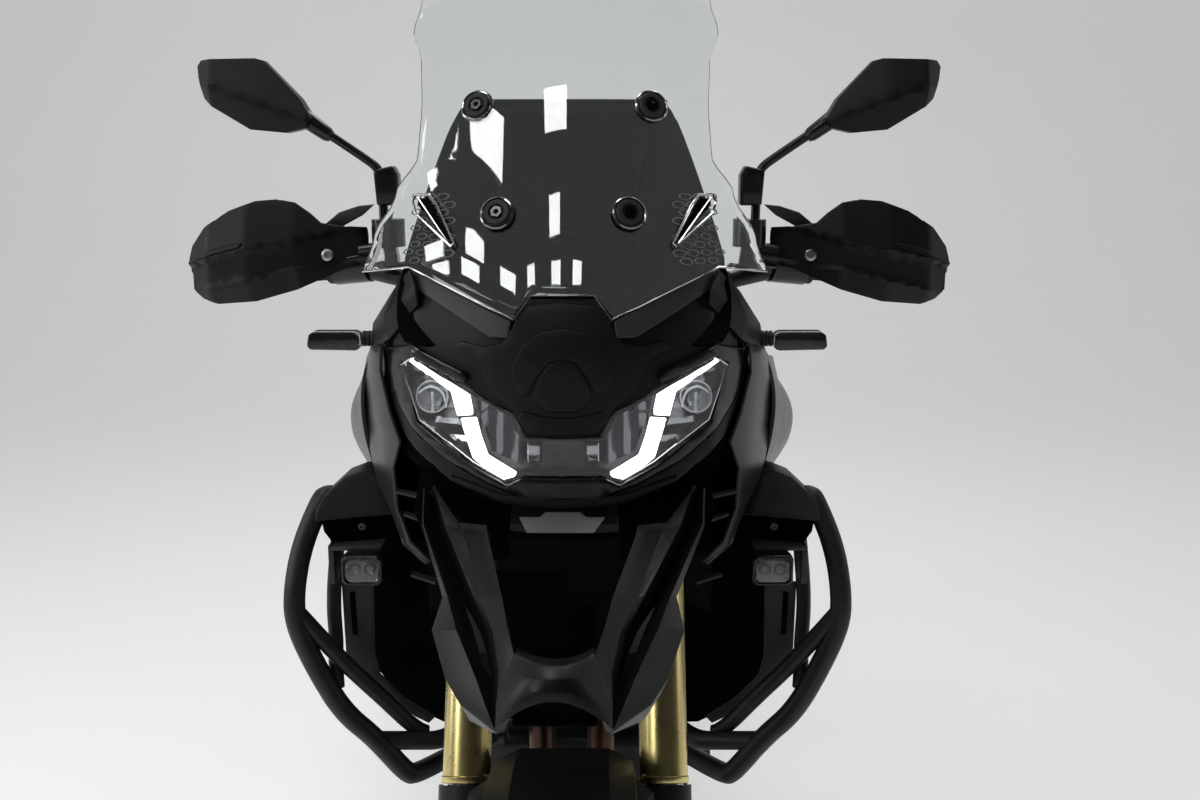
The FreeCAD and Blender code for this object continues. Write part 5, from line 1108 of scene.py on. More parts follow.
@dataclass
class Beak(SubAssembly):
    """The beak's two fluted prongs, the bridge between them and the duct inside."""

    # Each line runs from the root to the tip as (across, back, height).
    outer_edge: Line = (
        (154, 226, 968), (150, 180, 939), (113, 60, 907), (118, 20, 890), (101, -20, 860), (84, -50, 849),
        (51, -90, 845),
    )
    first_ridge: Line = (
        (152, 218, 970), (147, 172, 944), (106, 44, 914), (92, -4, 900), (70, -49, 874), (60, -72, 860),
        (50, -92, 847),
    )
    groove: Line = (
        (148, 240, 962), (138, 204, 931), (97, 88, 893), (78, 42, 878), (60, -14, 860), (54, -54, 855),
        (50, -90, 846),
    )
    second_ridge: Line = (
        (141, 215, 974), (123, 160, 947), (81, 40, 915), (63, -5, 900), (53, -50, 876), (50, -72, 862),
        (50, -91, 847),
    )
    step: Line = (
        (110, 172, 946), (105, 162, 942), (73, 30, 917), (58, -15, 904), (49, -58, 882), (50, -75, 864),
        (50, -92, 847),
    )
    inner_edge: Line = (
        (78, 150, 950), (78, 145, 946), (51, 10, 927), (43, -30, 913), (35, -60, 901), (49, -78, 866),
        (50, -92, 847),
    )
    bridge_steps: int = 9
    # The bridge's lines at its ends, as across, back, height, and how far on and up they lie at its middle.
    bridge_lines: Rows = (
        (35, -26, 893, 30, 3), (35, -50, 900, 30, 3), (35, -60, 901, 30, 3), (43, -71, 885, 32, 14),
        (49, -79, 866, 29, 24), (50, -92, 847, 16, 33), (50, -80, 846, 16, 33), (50, -56, 853, 16, 33),
    )
    # Columns: back, half width, height.
    duct_rows: Line = ((198, 106, 881), (134, 84, 872), (60, 52, 846), (-20, 40, 842), (-80, 36, 846))
    panel_loop: Loop = (
        (-33, 846), (33, 846), (33, 886), (28, 892), (14, 895), (-14, 895), (-28, 892), (-33, 886),
    )
    root_loop: Loop = ((58, 950), (160, 985), (166, 940), (150, 900), (96, 890), (60, 892))

    def build(self) -> None:
        """Builds the prongs, the bridge and the duct."""
        self.dress(Bench.both(self.prong()), "beak_prongs", BEAK, "beak", smooth=30.0)
        self.dress(self.bridge(), "beak_bridge", BEAK, smooth=45.0)
        duct = Bench.skin([[at(share * half, back, z) for share in (-1, -0.5, 0, 0.5, 1)]
                           for back, half, z in self.duct_rows])
        Bench.outward(duct)
        self.dress(Bench.thickened(duct, 3.0, 0.0), "beak_duct_floor", INNER_SHADE)
        self.sheet("beak_inner_panel", INNER_SHADE, self.panel_loop,
                   lambda x, z: 74.0 - (895 - z) * 0.5 + 0.02 * x * x, 4.0, step=9.0, bevel=1.5, twin=False)
        self.sheet("beak_root_walls", INNER_SHADE, self.root_loop, lambda x, z: 210.0 + 0.42 * (z - 890.0), 2.0,
                   step=15.0)

    def prong(self) -> Mesh:
        """One prong: ridges and a groove along it, with an inner wall and an underside."""
        lines = (self.outer_edge, self.first_ridge, self.groove, self.second_ridge, self.step,
                 self.inner_edge)
        rows = []
        for index in range(len(self.outer_edge)):
            row = [at(*line[index]) for line in lines]
            taper = 1.0 if index < len(self.outer_edge) - 1 else 0.15
            x, back, height = self.inner_edge[index]
            row.append(at(x - 5 * taper, back + 12 * taper, height - 34 * taper))
            x, back, height = self.outer_edge[index]
            row.append(at(x - 6 * taper, back + 14 * taper, height - 22 * taper))
            rows.append(row)
        return Bench.bevelled(Bench.skin(rows, closed=True, capped=True), 1.6, 3, 16.0)

    def bridge(self) -> Mesh:
        """The rounded saddle that joins the prongs at the front."""
        rows = []
        for step in range(2 * self.bridge_steps + 1):
            share = 1.0 - step / self.bridge_steps
            dip = 1.0 - share * share
            rows.append([at(across * share, back - reach * dip, height + rise * dip)
                         for across, back, height, reach, rise in self.bridge_lines])
        return Bench.bevelled(Bench.skin(rows, closed=True, capped=True), 1.2, 2, 24.0)


@dataclass
class SideFairings(SubAssembly):
    """The side panels from the lamps back over the tank's sides, with the dark intakes."""

    # Rows run from the inner edge outwards as (across, back, height).
    front_strip: tuple[Line, ...] = (
        ((209, 292, 1114), (232, 356, 1104), (247, 410, 1084), (262, 480, 1072)),
        ((212, 300, 1085), (236, 360, 1073), (259, 430, 1043), (274, 500, 1034)),
        ((199, 280, 1039), (226, 338, 1030), (248, 402, 1003), (268, 480, 998)),
        ((186, 264, 1010), (216, 322, 1000), (243, 384, 968), (262, 470, 965)),
        ((201, 300, 970), (218, 330, 966), (231, 356, 938), (252, 450, 930)),
        ((200, 308, 922), (208, 322, 920), (214, 336, 914), (232, 420, 905)),
        ((184, 302, 880), (190, 306, 876), (194, 312, 872), (206, 380, 872)),
        ((160, 294, 858), (164, 297, 855), (166, 300, 852), (172, 340, 856)),
    )
    upper_arm: tuple[Line, ...] = (
        ((158, 246, 1166), (160, 246, 1184), (168, 262, 1203)),
        ((198, 290, 1122), (204, 298, 1148), (186, 300, 1186)),
        ((222, 340, 1104), (226, 344, 1132), (200, 344, 1172)),
        ((244, 408, 1086), (240, 404, 1096), (198, 400, 1148)),
    )
    shoulder: SectionTable = (
        (396, ((190, 1152), (243, 1094), (257, 1040), (253, 985), (240, 936), (222, 902))),
        (500, ((204, 1094), (264, 1058), (288, 1010), (287, 970), (280, 936), (262, 908))),
        (610, ((206, 1072), (286, 1018), (318, 988), (324, 962), (322, 940), (300, 916))),
        (690, ((205, 1058), (264, 1000), (278, 970), (282, 948), (274, 924), (256, 900))),
    )

    wall_loop: Loop = (
        (118, 985), (176, 1030), (206, 1100), (214, 1092), (224, 1020), (214, 900), (190, 850), (120, 850),
        (110, 940),
    )
    # Columns: inner end, outer end, height.
    slats: Line = ((160, 196, 943), (162, 188, 916), (150, 182, 842))

    def build(self) -> None:
        """Builds the panels, the intakes' dark inner walls and the louvres."""
        strip = self.shell([[at(*spot) for spot in row] for row in self.front_strip], 4.0)
        self.dress(Bench.both(strip), "side_fairing_fronts", PAINT, "side_fairings", smooth=35.0)
        arm = self.shell([[at(*spot) for spot in row] for row in self.upper_arm], 4.0)
        self.dress(Bench.both(arm), "side_fairing_arms", MATT, smooth=30.0)
        rows = [[at(x, back, z) for x, z in loop] for back, loop in self.shoulder]
        panel = Bench.outward(Bench.skin(rows))
        Bench.subdivided(panel, 2)
        panel = self.walled(panel, 4.0)
        self.dress(Bench.both(panel), "side_fairing_shoulders", PAINT, smooth=45.0)
        self.sheet("intake_walls", INNER_SHADE, self.wall_loop, lambda x, z: 348.0 + 0.1 * (x - 118), 4.0, step=20.0)
        slats = [Bench.slab(((inner, 262, height), (outer, 288, height), (outer, 300, height),
                             (inner, 276, height)), (0, 0, 3)) for inner, outer, height in self.slats]
        self.dress(Bench.both(Bench.joined(slats)), "intake_louvres", MATT)

    def shell(self, rows: list[list[Vector]], thick: float) -> Mesh:
        """A walled sheet through rows, with crisp creases."""
        return Bench.bevelled(self.walled(Bench.outward(Bench.skin(rows)), thick), 1.4, 2, 14.0)

    def walled(self, sheet: Mesh, thick: float) -> Mesh:
        """Turns a sheet's faces away from the machine and gives it a wall inwards."""
        if sum(face.normal.x - face.normal.y for face in sheet.data.polygons) < 0:
            sheet.data.flip_normals()
        return Bench.thickened(sheet, thick, -1.0)


@dataclass
class CrashProtection(SubAssembly):
    """The crash bars with their hoods, auxiliary lamps, side plates and dark shrouds."""

    bar_routes: tuple[tuple[float, Line], ...] = (
        (13.0, (
            (124, 652, 842), (246, 490, 856), (278, 412, 900), (298, 378, 916), (304, 366, 908),
            (324, 346, 858), (330, 322, 807), (328, 318, 768), (304, 320, 707), (278, 328, 650),
            (244, 345, 607), (210, 365, 547), (200, 374, 540), (152, 440, 536), (112, 548, 508))),
        (10.0, (
            (326, 320, 785), (316, 322, 771), (273, 335, 709), (236, 352, 660), (198, 386, 595),
            (186, 390, 590))),
        (9.0, (
            (284, 388, 892), (290, 386, 845), (295, 372, 778), (290, 360, 727), (288, 340, 715),
            (286, 336, 680))),
        (12.0, ((250, 351, 600), (205, 368, 591), (160, 384, 582), (130, 450, 584), (104, 546, 586))),
    )
    hood_loop: Loop = (
        (303, 894), (303, 906), (296, 920), (287, 928), (273, 940), (254, 946), (240, 943), (222, 925),
        (208, 894),
    )
    recess_loop: Loop = ((300, 894), (297, 876), (288, 861), (236, 857), (206, 860), (206, 894))
    plate_loop: Loop = (
        (286, 800), (286, 686), (264, 664), (241, 641), (205, 602), (187, 590), (178, 599), (219, 634),
        (245, 668), (250, 697), (247, 800),
    )
    shroud_loop: Loop = (
        (124, 880), (240, 884), (270, 840), (276, 700), (262, 664), (236, 630), (200, 598), (170, 584),
        (124, 585),
    )
    lamp_spot: Spot = (245.0, 314.0, 839.0)

    def build(self) -> None:
        """Builds the bars, the hoods, the plates and the lamps."""
        bars = [Bench.tube([at(*spot) for spot in route], radius, 5) for radius, route in self.bar_routes]
        self.dress(Bench.both(Bench.joined(bars)), "crash_bar_tubes", BAR, "crash_bars", smooth=50.0)
        self.sheet("lamp_hoods", BAR, self.hood_loop,
                   lambda x, z: 336.0 + 0.3 * (303 - x) + 0.5 * (z - 894), 46.0, bevel=6.0, segments=4,
                   angle=40.0)
        self.sheet("lamp_recesses", INNER_SHADE, self.recess_loop, lambda x, z: 352.0 + 0.25 * (300 - x), 30.0,
                   step=30.0)
        bolt = Bench.turned([(-3, 0), (-3, 5), (1.5, 5), (2.5, 3.8), (2.5, 2), (0, 1.8), (0, 0)],
                            at(252, 360, 880), AHEAD, 16)
        self.dress(Bench.both(bolt), "lamp_bracket_bolts", CAST)
        shelf = Bench.slab(((226, 338, 856), (290, 338, 856), (290, 384, 856), (226, 384, 856)), (0, 0, 5))
        side = Bench.draped([(284, 861), (291, 861), (291, 812), (284, 812)], lambda x, z: 342.0, 36.0, 30.0)
        self.dress(Bench.both(Bench.bevelled(Bench.joined([shelf, side]), 1.2)), "lamp_brackets", GREY)
        self.sheet("side_plates", GREY, self.plate_loop, behind(self.plate_back, 1.5), 3.0, "bar_shields",
                   step=16.0, bevel=1.0)
        self.sheet("side_plate_slots", INNER_SHADE, [(270, 725), (276, 728), (277, 784), (270, 786)],
                   self.plate_back, 2.0, step=30.0, bevel=0.5)
        self.sheet("radiator_shrouds", INNER_SHADE, self.shroud_loop, lambda x, z: 428.0 + 0.08 * (x - 124), 4.0,
                   step=30.0)
        self.lamps()

    def plate_back(self, x: float, z: float) -> float:
        """How far back the slots in the side plates lie, just ahead of the plates."""
        return 390.5 + 0.06 * (800 - z) - 0.2 * (x - 240)

    def ring(self, half: float, tall: float, depth: float, cut: float = 5.0) -> list[Vector]:
        """A cut-cornered rectangle around the lamp's centre, at a depth behind its front."""
        x, back, z = self.lamp_spot
        corners = ((half - cut, -tall), (half, -tall + cut), (half, tall - cut), (half - cut, tall),
                   (-half + cut, tall), (-half, tall - cut), (-half, -tall + cut), (-half + cut, -tall))
        return [at(x + across, back + depth, z + up) for across, up in corners]

    def lamps(self) -> None:
        """The rectangular auxiliary lamps."""
        body = Bench.skin([self.ring(20.5, 14.5, 9), self.ring(21.5, 15.5, 0), self.ring(23.5, 17.5, 0),
                           self.ring(25, 19, 4), self.ring(25, 19, 20), self.ring(18, 13, 36)], True, True)
        self.dress(Bench.both(Bench.bevelled(body, 0.8)), "fog_lamp_bodies", GLOSS, "fog_lamps")
        lens = Bench.skin([self.ring(21, 15, 5.0), self.ring(21, 15, 1.5), self.ring(18, 12, 0.6)], True,
                          True)
        self.dress(Bench.both(Bench.bevelled(lens, 0.6)), "fog_lamp_lenses", LENS)
        bowls = [Bench.skin([self.ring(20.5, 14.5, 6.0), self.ring(13, 9, 10.0),
                             self.ring(5, 4, 10.6, 1.5)], True, True)]
        x, back, z = self.lamp_spot
        for across in (-9, 9):
            bowls.append(Bench.turned([(0, 0), (3, 3), (5, 6.5), (5, 7.5), (0, 6)],
                                      at(x + across, back + 9, z + 1), AHEAD, 16))
        self.dress(Bench.both(Bench.joined(bowls)), "fog_lamp_reflectors", SHADE)


@dataclass
class Fork(SubAssembly):
    """The gold fork tubes with a ring at their foot and a cap at their top."""

    body: Body = Body.STEERING
    across: float = 110.0
    ahead: float = 28.0
    tube_radius: float = 27.0
    bore_radius: float = 21.8

    def build(self) -> None:
        """Builds both tubes and their caps."""
        axis = Vector((0, math.sin(RAKE), math.cos(RAKE)))
        centre = beside(self.across, self.ahead, 0.0)
        bore, wall = self.bore_radius, self.tube_radius
        tube = Bench.turned([(704, bore), (704, wall + 0.6), (705, wall + 1.4), (711, wall + 1.4),
                             (712, wall), (986, wall), (1244, wall), (1244, bore)], centre, axis, 48)
        self.dress(Bench.both(tube), "fork_gold_tubes", GOLD, "fork_outer_tubes", smooth=50.0)
        cap = Bench.turned([(1243, 0), (1243, 26.5), (1249, 25.5), (1250, 19), (1247, 18), (1247, 12),
                            (1254, 11), (1254, 0)], centre, axis, 36)
        self.dress(Bench.both(cap), "fork_caps", STEEL)


@dataclass
class Cockpit(SubAssembly):
    """Handguards, mirrors and grips."""

    body: Body = Body.STEERING
    guard_loop: Loop = (
        (254, 1198), (255, 1236), (285, 1238), (309, 1242), (322, 1254), (340, 1267), (362, 1271),
        (388, 1269), (422, 1257), (456, 1236), (476, 1212), (482, 1190), (480, 1180), (472, 1170),
        (474, 1156), (464, 1146), (444, 1140), (394, 1144), (344, 1158), (302, 1176), (274, 1188),
    )
    upper_ridge: Loop = (
        (254, 1236), (285, 1235), (318, 1226), (362, 1214), (407, 1206), (468, 1192), (482, 1187),
    )
    lower_ridge: Loop = ((274, 1190), (351, 1184), (391, 1174), (445, 1162), (476, 1157))
    guard_plan: Loop = ((236, 486), (262, 471), (298, 461), (340, 445), (400, 437), (450, 447), (484, 475))
    pocket: Loop = (
        (470, 1199), (442, 1210), (415, 1217), (403, 1219), (406, 1213), (440, 1204), (467, 1196),
    )
    arm_loop: Loop = ((311, 1238), (291, 1254), (266, 1262), (246, 1264), (262, 1250), (288, 1236))
    mirror_loop: Loop = (
        (322, 1370), (336, 1394), (380, 1440), (392, 1443), (462, 1441), (468, 1434), (458, 1394),
        (446, 1384), (400, 1356), (356, 1352), (328, 1358),
    )

    stem_line: Line = (
        (336, 506, 1372), (318, 508, 1360), (262, 512, 1322), (243, 512, 1308), (238, 508, 1288),
        (238, 506, 1206),
    )

    def build(self) -> None:
        """Builds the cockpit's pieces."""
        self.handguards()
        self.mirrors()
        self.grips()

    def guard_depth(self, x: float, z: float) -> float:
        """How far back a handguard's front face lies: an upper face, a recessed band and a lower face."""
        plan = straight(self.guard_plan, x)
        upper, lower = straight(self.upper_ridge, x), straight(self.lower_ridge, x)
        if z >= upper:
            return plan + 0.34 * (z - upper)
        if z <= lower:
            return plan + 3.0 + 0.75 * (lower - z)
        return plan + blended(((0.0, 0.0), (3.0, 7.0), (upper - lower - 3.0, 7.0), (upper - lower, 3.0)),
                              upper - z)

    def handguards(self) -> None:
        """The closed handguards, each with a bolt, a raised bar and a strap to the grip's end."""
        creases = []
        for line, steps in ((self.upper_ridge, (0.0, -3.0)), (self.lower_ridge, (0.0, 3.0))):
            for step in steps:
                creases.append(((line[1][0], line[1][1] + step), (line[-2][0], line[-2][1] + step)))
        shell = Bench.draped(self.guard_loop, self.guard_depth, 5.0, 5.0, 1.0, creases)
        shell = Bench.bevelled(shell, 1.4, 2, 50.0)
        bar = Bench.draped(self.pocket, behind(self.guard_depth, -3.0), 4.0, 8.0)
        strap = Bench.slab(((446, 462, 1156), (478, 476, 1156), (458, 578, 1158), (434, 578, 1158)),
                           (0, 0, 24))
        guard = Bench.joined([shell, Bench.bevelled(bar, 1.4), Bench.bevelled(strap, 2.0)])
        self.dress(Bench.both(guard), "handguard_shells", MATT, "handguards", smooth=32.0)
        self.sheet("handguard_arms", GREY, self.arm_loop, lambda x, z: 486.0, 8.0, bevel=2.0)
        centre = at(303, self.guard_depth(303, 1202) - 1.0, 1202)
        bolt = Bench.turned([(-4, 0), (-4, 7.5), (2, 7.5), (3, 6.0), (3, 3.2), (1, 3.0), (1, 0)], centre,
                            Vector((0, -1, 0.1)), 24)
        self.dress(Bench.both(bolt), "handguard_bolts", STEEL)

    def mirror_back(self, x: float, z: float) -> float:
        """The mirror shell's depth: a keel across it and a facet at its outer end."""
        keel = 1392.0 + 0.36 * (x - 400.0)
        return 482.0 + 0.42 * abs(z - keel) + 0.06 * abs(x - 400.0) + 1.1 * max(0.0, x - 446.0)

    def mirrors(self) -> None:
        """The angular mirrors: a faceted back, the glass and the stem."""
        keel = (((330, 1366.8), (460, 1413.6)), ((446, 1350), (446, 1445)))
        shell = Bench.draped(self.mirror_loop, self.mirror_back, 4.0, 10.0, 1.2, keel)
        flat = (FRONT_AXLE_BACK + 520.0) * MM
        for corner in shell.data.vertices[len(shell.data.vertices) // 2:]:
            corner.co.y = flat
        shell = Bench.bevelled(Bench.outward(shell), 1.6, 2, 24.0)
        self.dress(Bench.both(shell), "mirror_shells", MATT, "mirrors", smooth=28.0)
        middle_x, middle_z = 400.0, 1398.0
        inset = [(middle_x + (x - middle_x) * 0.92, middle_z + (z - middle_z) * 0.9)
                 for x, z in self.mirror_loop]
        self.sheet("mirror_glass", CHROME, inset, lambda x, z: 518.0, 3.5, step=60.0, bevel=0.8)
        stem = Bench.tube([at(*spot) for spot in self.stem_line], 6.0, 3)
        sleeve = Bench.turned([(-26, 0), (-26, 6.8), (-20, 9.4), (14, 11.5), (22, 10.5), (22, 0)],
                              at(322, 508, 1362), Vector((1, 0, 0.72)), 20)
        boss = Bench.turned([(0, 0), (0, 12), (30, 12), (34, 8), (40, 8), (40, 0)], at(238, 506, 1200), UP, 6)
        block = Bench.draped([(216, 1262), (244, 1262), (247, 1306), (222, 1312), (216, 1300)],
                             lambda x, z: 490.0, 28.0, 20.0)
        stem = Bench.joined([stem, sleeve, boss, Bench.bevelled(block, 3.0)])
        self.dress(Bench.both(stem), "mirror_stems", GLOSS)

    def grips(self) -> None:
        """Ribbed grips, each with a flange near its inner end."""
        inner, outer = at(290, 520, 1184), at(430, 556, 1168)
        run = outer - inner
        length = run.length / MM
        profile = [(0.12 * length, 0), (0.12 * length, 22), (0.17 * length, 22)]
        ribs = 22
        start, end = 0.18 * length, 0.93 * length
        pitch = (end - start) / ribs
        for index in range(ribs):
            spot = start + pitch * index
            profile += [(spot, 15.2), (spot + 0.25 * pitch, 16.6), (spot + 0.75 * pitch, 16.6),
                        (spot + 0.95 * pitch, 15.2)]
        profile += [(end, 15.4), (end, 0)]
        grip = Bench.turned(profile, inner, run.normalized(), 28)
        self.dress(Bench.both(grip), "grip_rubbers", RUBBER, "grips")


@dataclass
class Dash(SubAssembly):
    """The dark binnacle that shows through the screen, with the display behind it."""

    # Columns: height, back, half width.
    stations: Line = (
        (1124, 226, 176), (1150, 248, 182), (1172, 266, 184), (1205, 284, 178), (1250, 300, 165),
        (1300, 316, 148), (1345, 332, 132), (1376, 346, 118), (1384, 358, 108),
    )

    def build(self) -> None:
        """Builds the binnacle, its hood and the display."""
        shares = (-1, -0.8, -0.55, -0.25, 0, 0.25, 0.55, 0.8, 1)
        rows = [[at(half * share, back + 8 * share * share, height) for share in shares]
                for height, back, half in self.stations]
        face = Bench.outward(Bench.skin(rows))
        Bench.subdivided(face, 1)
        self.dress(Bench.thickened(face, 4.0, 0.0), "dash_front", INNER_SHADE)
        hood = Bench.slab(((-115, 352, 1380), (115, 352, 1380), (106, 400, 1376), (-106, 400, 1376)),
                          (0, 0, 5))
        self.dress(Bench.bevelled(hood, 2.0), "display_hood", INNER_SHADE)
        display = Bench.slab(((-96, 390, 1236), (96, 390, 1236), (96, 396, 1368), (-96, 396, 1368)),
                             (0, 6, 0))
        display = Bench.bevelled(display, 1.5)
        self.dress(display, "display_glass_panel", DISPLAY)


@dataclass
class Indicators(SubAssembly):
    """Slim indicators on ribbed rubber stems."""

    # Columns: inner x, outer x, lowest z, highest z, front of the housing, its depth.
    places: Rows = ((246, 309, 1097, 1119, 362, 28), (120, 190, 707, 729, 1802, 26))

    def build(self) -> None:
        """Builds the four indicators."""
        lenses, shells, stems = [], [], []
        for left, right, low, high, front, deep in self.places:
            loop = [(left, low + 3), (left + 5, low), (right - 4, low + 1), (right, low + 5),
                    (right - 2, high - 3), (right - 8, high), (left + 6, high), (left, high - 4)]
            middle = front + deep / 2
            near, far = (front, middle) if front < 1000 else (middle, front)
            lens = Bench.draped(loop, lambda x, z, y=near: y, deep / 2 - 1, 40.0)
            shell = Bench.draped(loop, lambda x, z, y=far: y, deep / 2, 40.0)
            lenses.append(Bench.both(Bench.bevelled(lens, 2.2)))
            shells.append(Bench.both(Bench.bevelled(shell, 2.6)))
        profile = [(0, 0)]
        for index in range(7):
            profile += [(index * 5.0, 9.5), (index * 5.0 + 3.2, 9.5), (index * 5.0 + 3.6, 7.0),
                        (index * 5.0 + 4.8, 7.0)]
        profile += [(35, 0)]
        stems.append(Bench.both(Bench.turned(profile, at(212, 382, 1109), LEFT, 24)))
        stems.append(Bench.both(Bench.turned([(0, 0), (0, 9), (74, 7.5), (74, 0)], at(46, 1806, 728),
                                             Vector((1, 0.1, -0.12)), 20)))
        self.dress(Bench.joined(lenses), "indicator_lenses", SMOKED, "indicators")
        self.dress(Bench.joined(shells), "indicator_shells", GLOSS)
        self.dress(Bench.joined(stems), "indicator_stems", RUBBER)


@dataclass
class BlankPlate(SubAssembly):
    """The small pale plate in the opening between the chin and the beak."""

    body: Body = Body.STEERING
    loop: Loop = (
        (-46, 894), (32, 894), (45, 913), (23, 913), (16, 919), (-24, 919), (-31, 913), (-55, 913),
    )

    def build(self) -> None:
        """Builds the plate."""
        self.sheet("blank_plate", BLANK, self.loop, lambda x, z: 292.0, 3.0, step=30.0, bevel=1.0, twin=False)


@dataclass(frozen=True)
class TyreSize:
    """A tyre's place and cross-section, in millimetres."""

    back: float
    height: float
    outer: float
    seat: float
    bead: float
    belly: float
    shoulder: float
    shoulder_radius: float
    pitches: int

    def centre(self) -> Vector:
        """The middle of the wheel."""
        return at(0.0, self.back, self.height)

    def crown(self, share: float, sink: float) -> Flat:
        """A place on the crown.

        Args:
            share: From -1 at one shoulder to 1 at the other.
            sink: How deep below the tread's surface.

        Returns:
            The distance across and the radius.
        """
        drop = self.outer - self.shoulder_radius
        curve = (self.shoulder ** 2 + drop ** 2) / (2 * drop)
        angle = math.asin(self.shoulder / curve) * share
        return (curve - sink) * math.sin(angle), self.outer - curve + (curve - sink) * math.cos(angle)


@dataclass(frozen=True)
class DiscSize:
    """A brake disc's place and size, in millimetres."""

    hub: Flat
    face: float
    outwards: float
    inner: float
    outer: float
    thick: float = 4.5

    def spot(self, back: float, up: float) -> Spot:
        """A place on the disc's inner face, measured from the hub."""
        return self.face, self.hub[0] + back, self.hub[1] + up

    def centre(self) -> Vector:
        """The middle of the disc's inner face."""
        return at(*self.spot(0.0, 0.0))


@dataclass
class Wheels(SubAssembly):
    """Tyres with tread blocks, and drilled discs on their carriers."""

    front: TyreSize = TyreSize(*FRONT_HUB, 347.7, 266.7, 27.5, 45.0, 40.5, 325.0, 46)
    rear: TyreSize = TyreSize(*REAR_HUB, 320.9, 215.9, 50.0, 75.0, 67.5, 291.5, 40)
    tread_depth: float = 6.5
    # Columns: inner and outer share of the crown, start and end in the pitch, slant.
    blocks: Rows = (
        (0.03, 0.27, 0.00, 0.80, 0.20), (0.33, 0.61, 0.14, 0.88, 0.14), (0.67, 0.99, 0.02, 0.74, -0.08),
    )
    # Shares of the way from bead to belly and from seat to tread.
    wall: Loop = (
        (0.0, 0.01), (0.06, 0.115), (0.30, 0.16), (0.34, 0.18), (0.60, 0.24), (0.83, 0.31), (0.977, 0.42),
        (0.955, 0.52), (0.90, 0.58), (0.86, 0.62), (0.74, 0.70),
    )
    front_discs: tuple[DiscSize, ...] = (DiscSize(FRONT_HUB, 66.0, 1.0, 118.0, 160.0),
                                         DiscSize(FRONT_HUB, -66.0, -1.0, 118.0, 160.0))
    rear_discs: tuple[DiscSize, ...] = (DiscSize(REAR_HUB, -80.0, -1.0, 96.0, 132.5),)

    def build(self) -> None:
        """Builds the tyres and the discs."""
        for label, body, size, node, discs in (
                ("front", Body.FRONT_WHEEL, self.front, "front_discs", self.front_discs),
                ("rear", Body.REAR_WHEEL, self.rear, "rear_disc", self.rear_discs),
        ):
            self.dress(self.carcass(size), f"{label}_tyre_carcass", TYRE, f"{label}_tyre", body=body)
            self.dress(self.tread(size), f"{label}_tyre_tread", TYRE, body=body, smooth=30.0)
            rotors = Bench.joined([self.rotor(disc) for disc in discs])
            self.dress(rotors, f"{label}_disc_rotors", STEEL, node, body=body)
            carriers = Bench.joined([self.carrier(disc) for disc in discs])
            self.dress(carriers, f"{label}_disc_carriers", CAST, body=body)

    def carcass(self, size: TyreSize) -> Mesh:
        """The tyre's casing, turned from its cross-section."""
        tall = size.outer - size.seat
        half = [(size.bead + (size.belly - size.bead) * out, size.seat + tall * up) for out, up in self.wall]
        half += [size.crown(share, self.tread_depth) for share in (1.0, 0.8, 0.6, 0.4, 0.2)]
        profile = half + [size.crown(0.0, self.tread_depth)] + [(-x, radius) for x, radius in reversed(half)]
        return Bench.turned([*profile, profile[0]], size.centre(), LEFT, 120)

    def tread(self, size: TyreSize) -> Mesh:
        """One pitch of tread blocks, repeated round the tyre."""
        blocks = []
        for side, shift in ((1, 0.0), (-1, 0.5)):
            for low, high, start, end, slant in self.blocks:
                corners = ((low, start), (high, start + slant), (high, end + slant), (low, end))
                rows = []
                for sink in (self.tread_depth + 1.5, 0.3):
                    row = []
                    for share, turn in corners:
                        x, radius = size.crown(side * share, sink)
                        angle = (turn + shift) * 2 * math.pi / size.pitches
                        row.append(at(x, size.back + radius * math.sin(angle),
                                      size.height + radius * math.cos(angle)))
                    rows.append(row)
                blocks.append(Bench.bevelled(Bench.skin(rows, closed=True, capped=True), 0.9, 1))
        return Bench.spun(Bench.joined(blocks), size.pitches, size.centre(), LEFT)

    def rotor(self, disc: DiscSize) -> Mesh:
        """A drilled friction ring."""
        thick, outer = disc.thick, disc.outer
        axis = Vector((disc.outwards, 0, 0))
        ring = Bench.turned([(0, disc.inner), (thick, disc.inner), (thick, outer - 0.6),
                             (thick - 0.6, outer), (0.6, outer), (0, outer - 0.6), (0, disc.inner)],
                            disc.centre(), axis, 72)
        drills = []
        for share, turn in ((0.22, 0.0), (0.50, 5.0), (0.78, 10.0)):
            radius, angle = disc.inner + (outer - disc.inner) * share, math.radians(turn)
            spot = disc.spot(radius * math.sin(angle), radius * math.cos(angle))
            drill = Bench.turned([(-2, 0), (-2, 2.8), (thick + 2, 2.8), (thick + 2, 0)], at(*spot), axis, 10)
            drills.append(Bench.spun(drill, 24, disc.centre(), LEFT))
        return Bench.cut(ring, Bench.joined(drills))

    def carrier(self, disc: DiscSize) -> Mesh:
        """The disc's carrier: a ring with arms out to floating buttons."""
        thick, reach = disc.thick, disc.inner + 1
        axis = Vector((disc.outwards, 0, 0))
        ring = Bench.turned([(0, 34), (thick, 34), (thick, 54), (0, 54), (0, 34)], disc.centre(), axis, 48)
        arm = Bench.slab((disc.spot(-9, 50), disc.spot(9, 50), disc.spot(5, reach), disc.spot(-5, reach)),
                         axis * (thick - 0.4))
        button = Bench.turned([(-0.6, 0), (-0.6, 6.5), (thick + 0.6, 6.5), (thick + 0.6, 3), (thick, 2.6),
                               (thick, 0)], at(*disc.spot(0, disc.inner)), axis, 16)
        arms = Bench.spun(Bench.joined([Bench.bevelled(arm, 0.8), button]), 10, disc.centre(), LEFT)
        return Bench.joined([ring, arms])


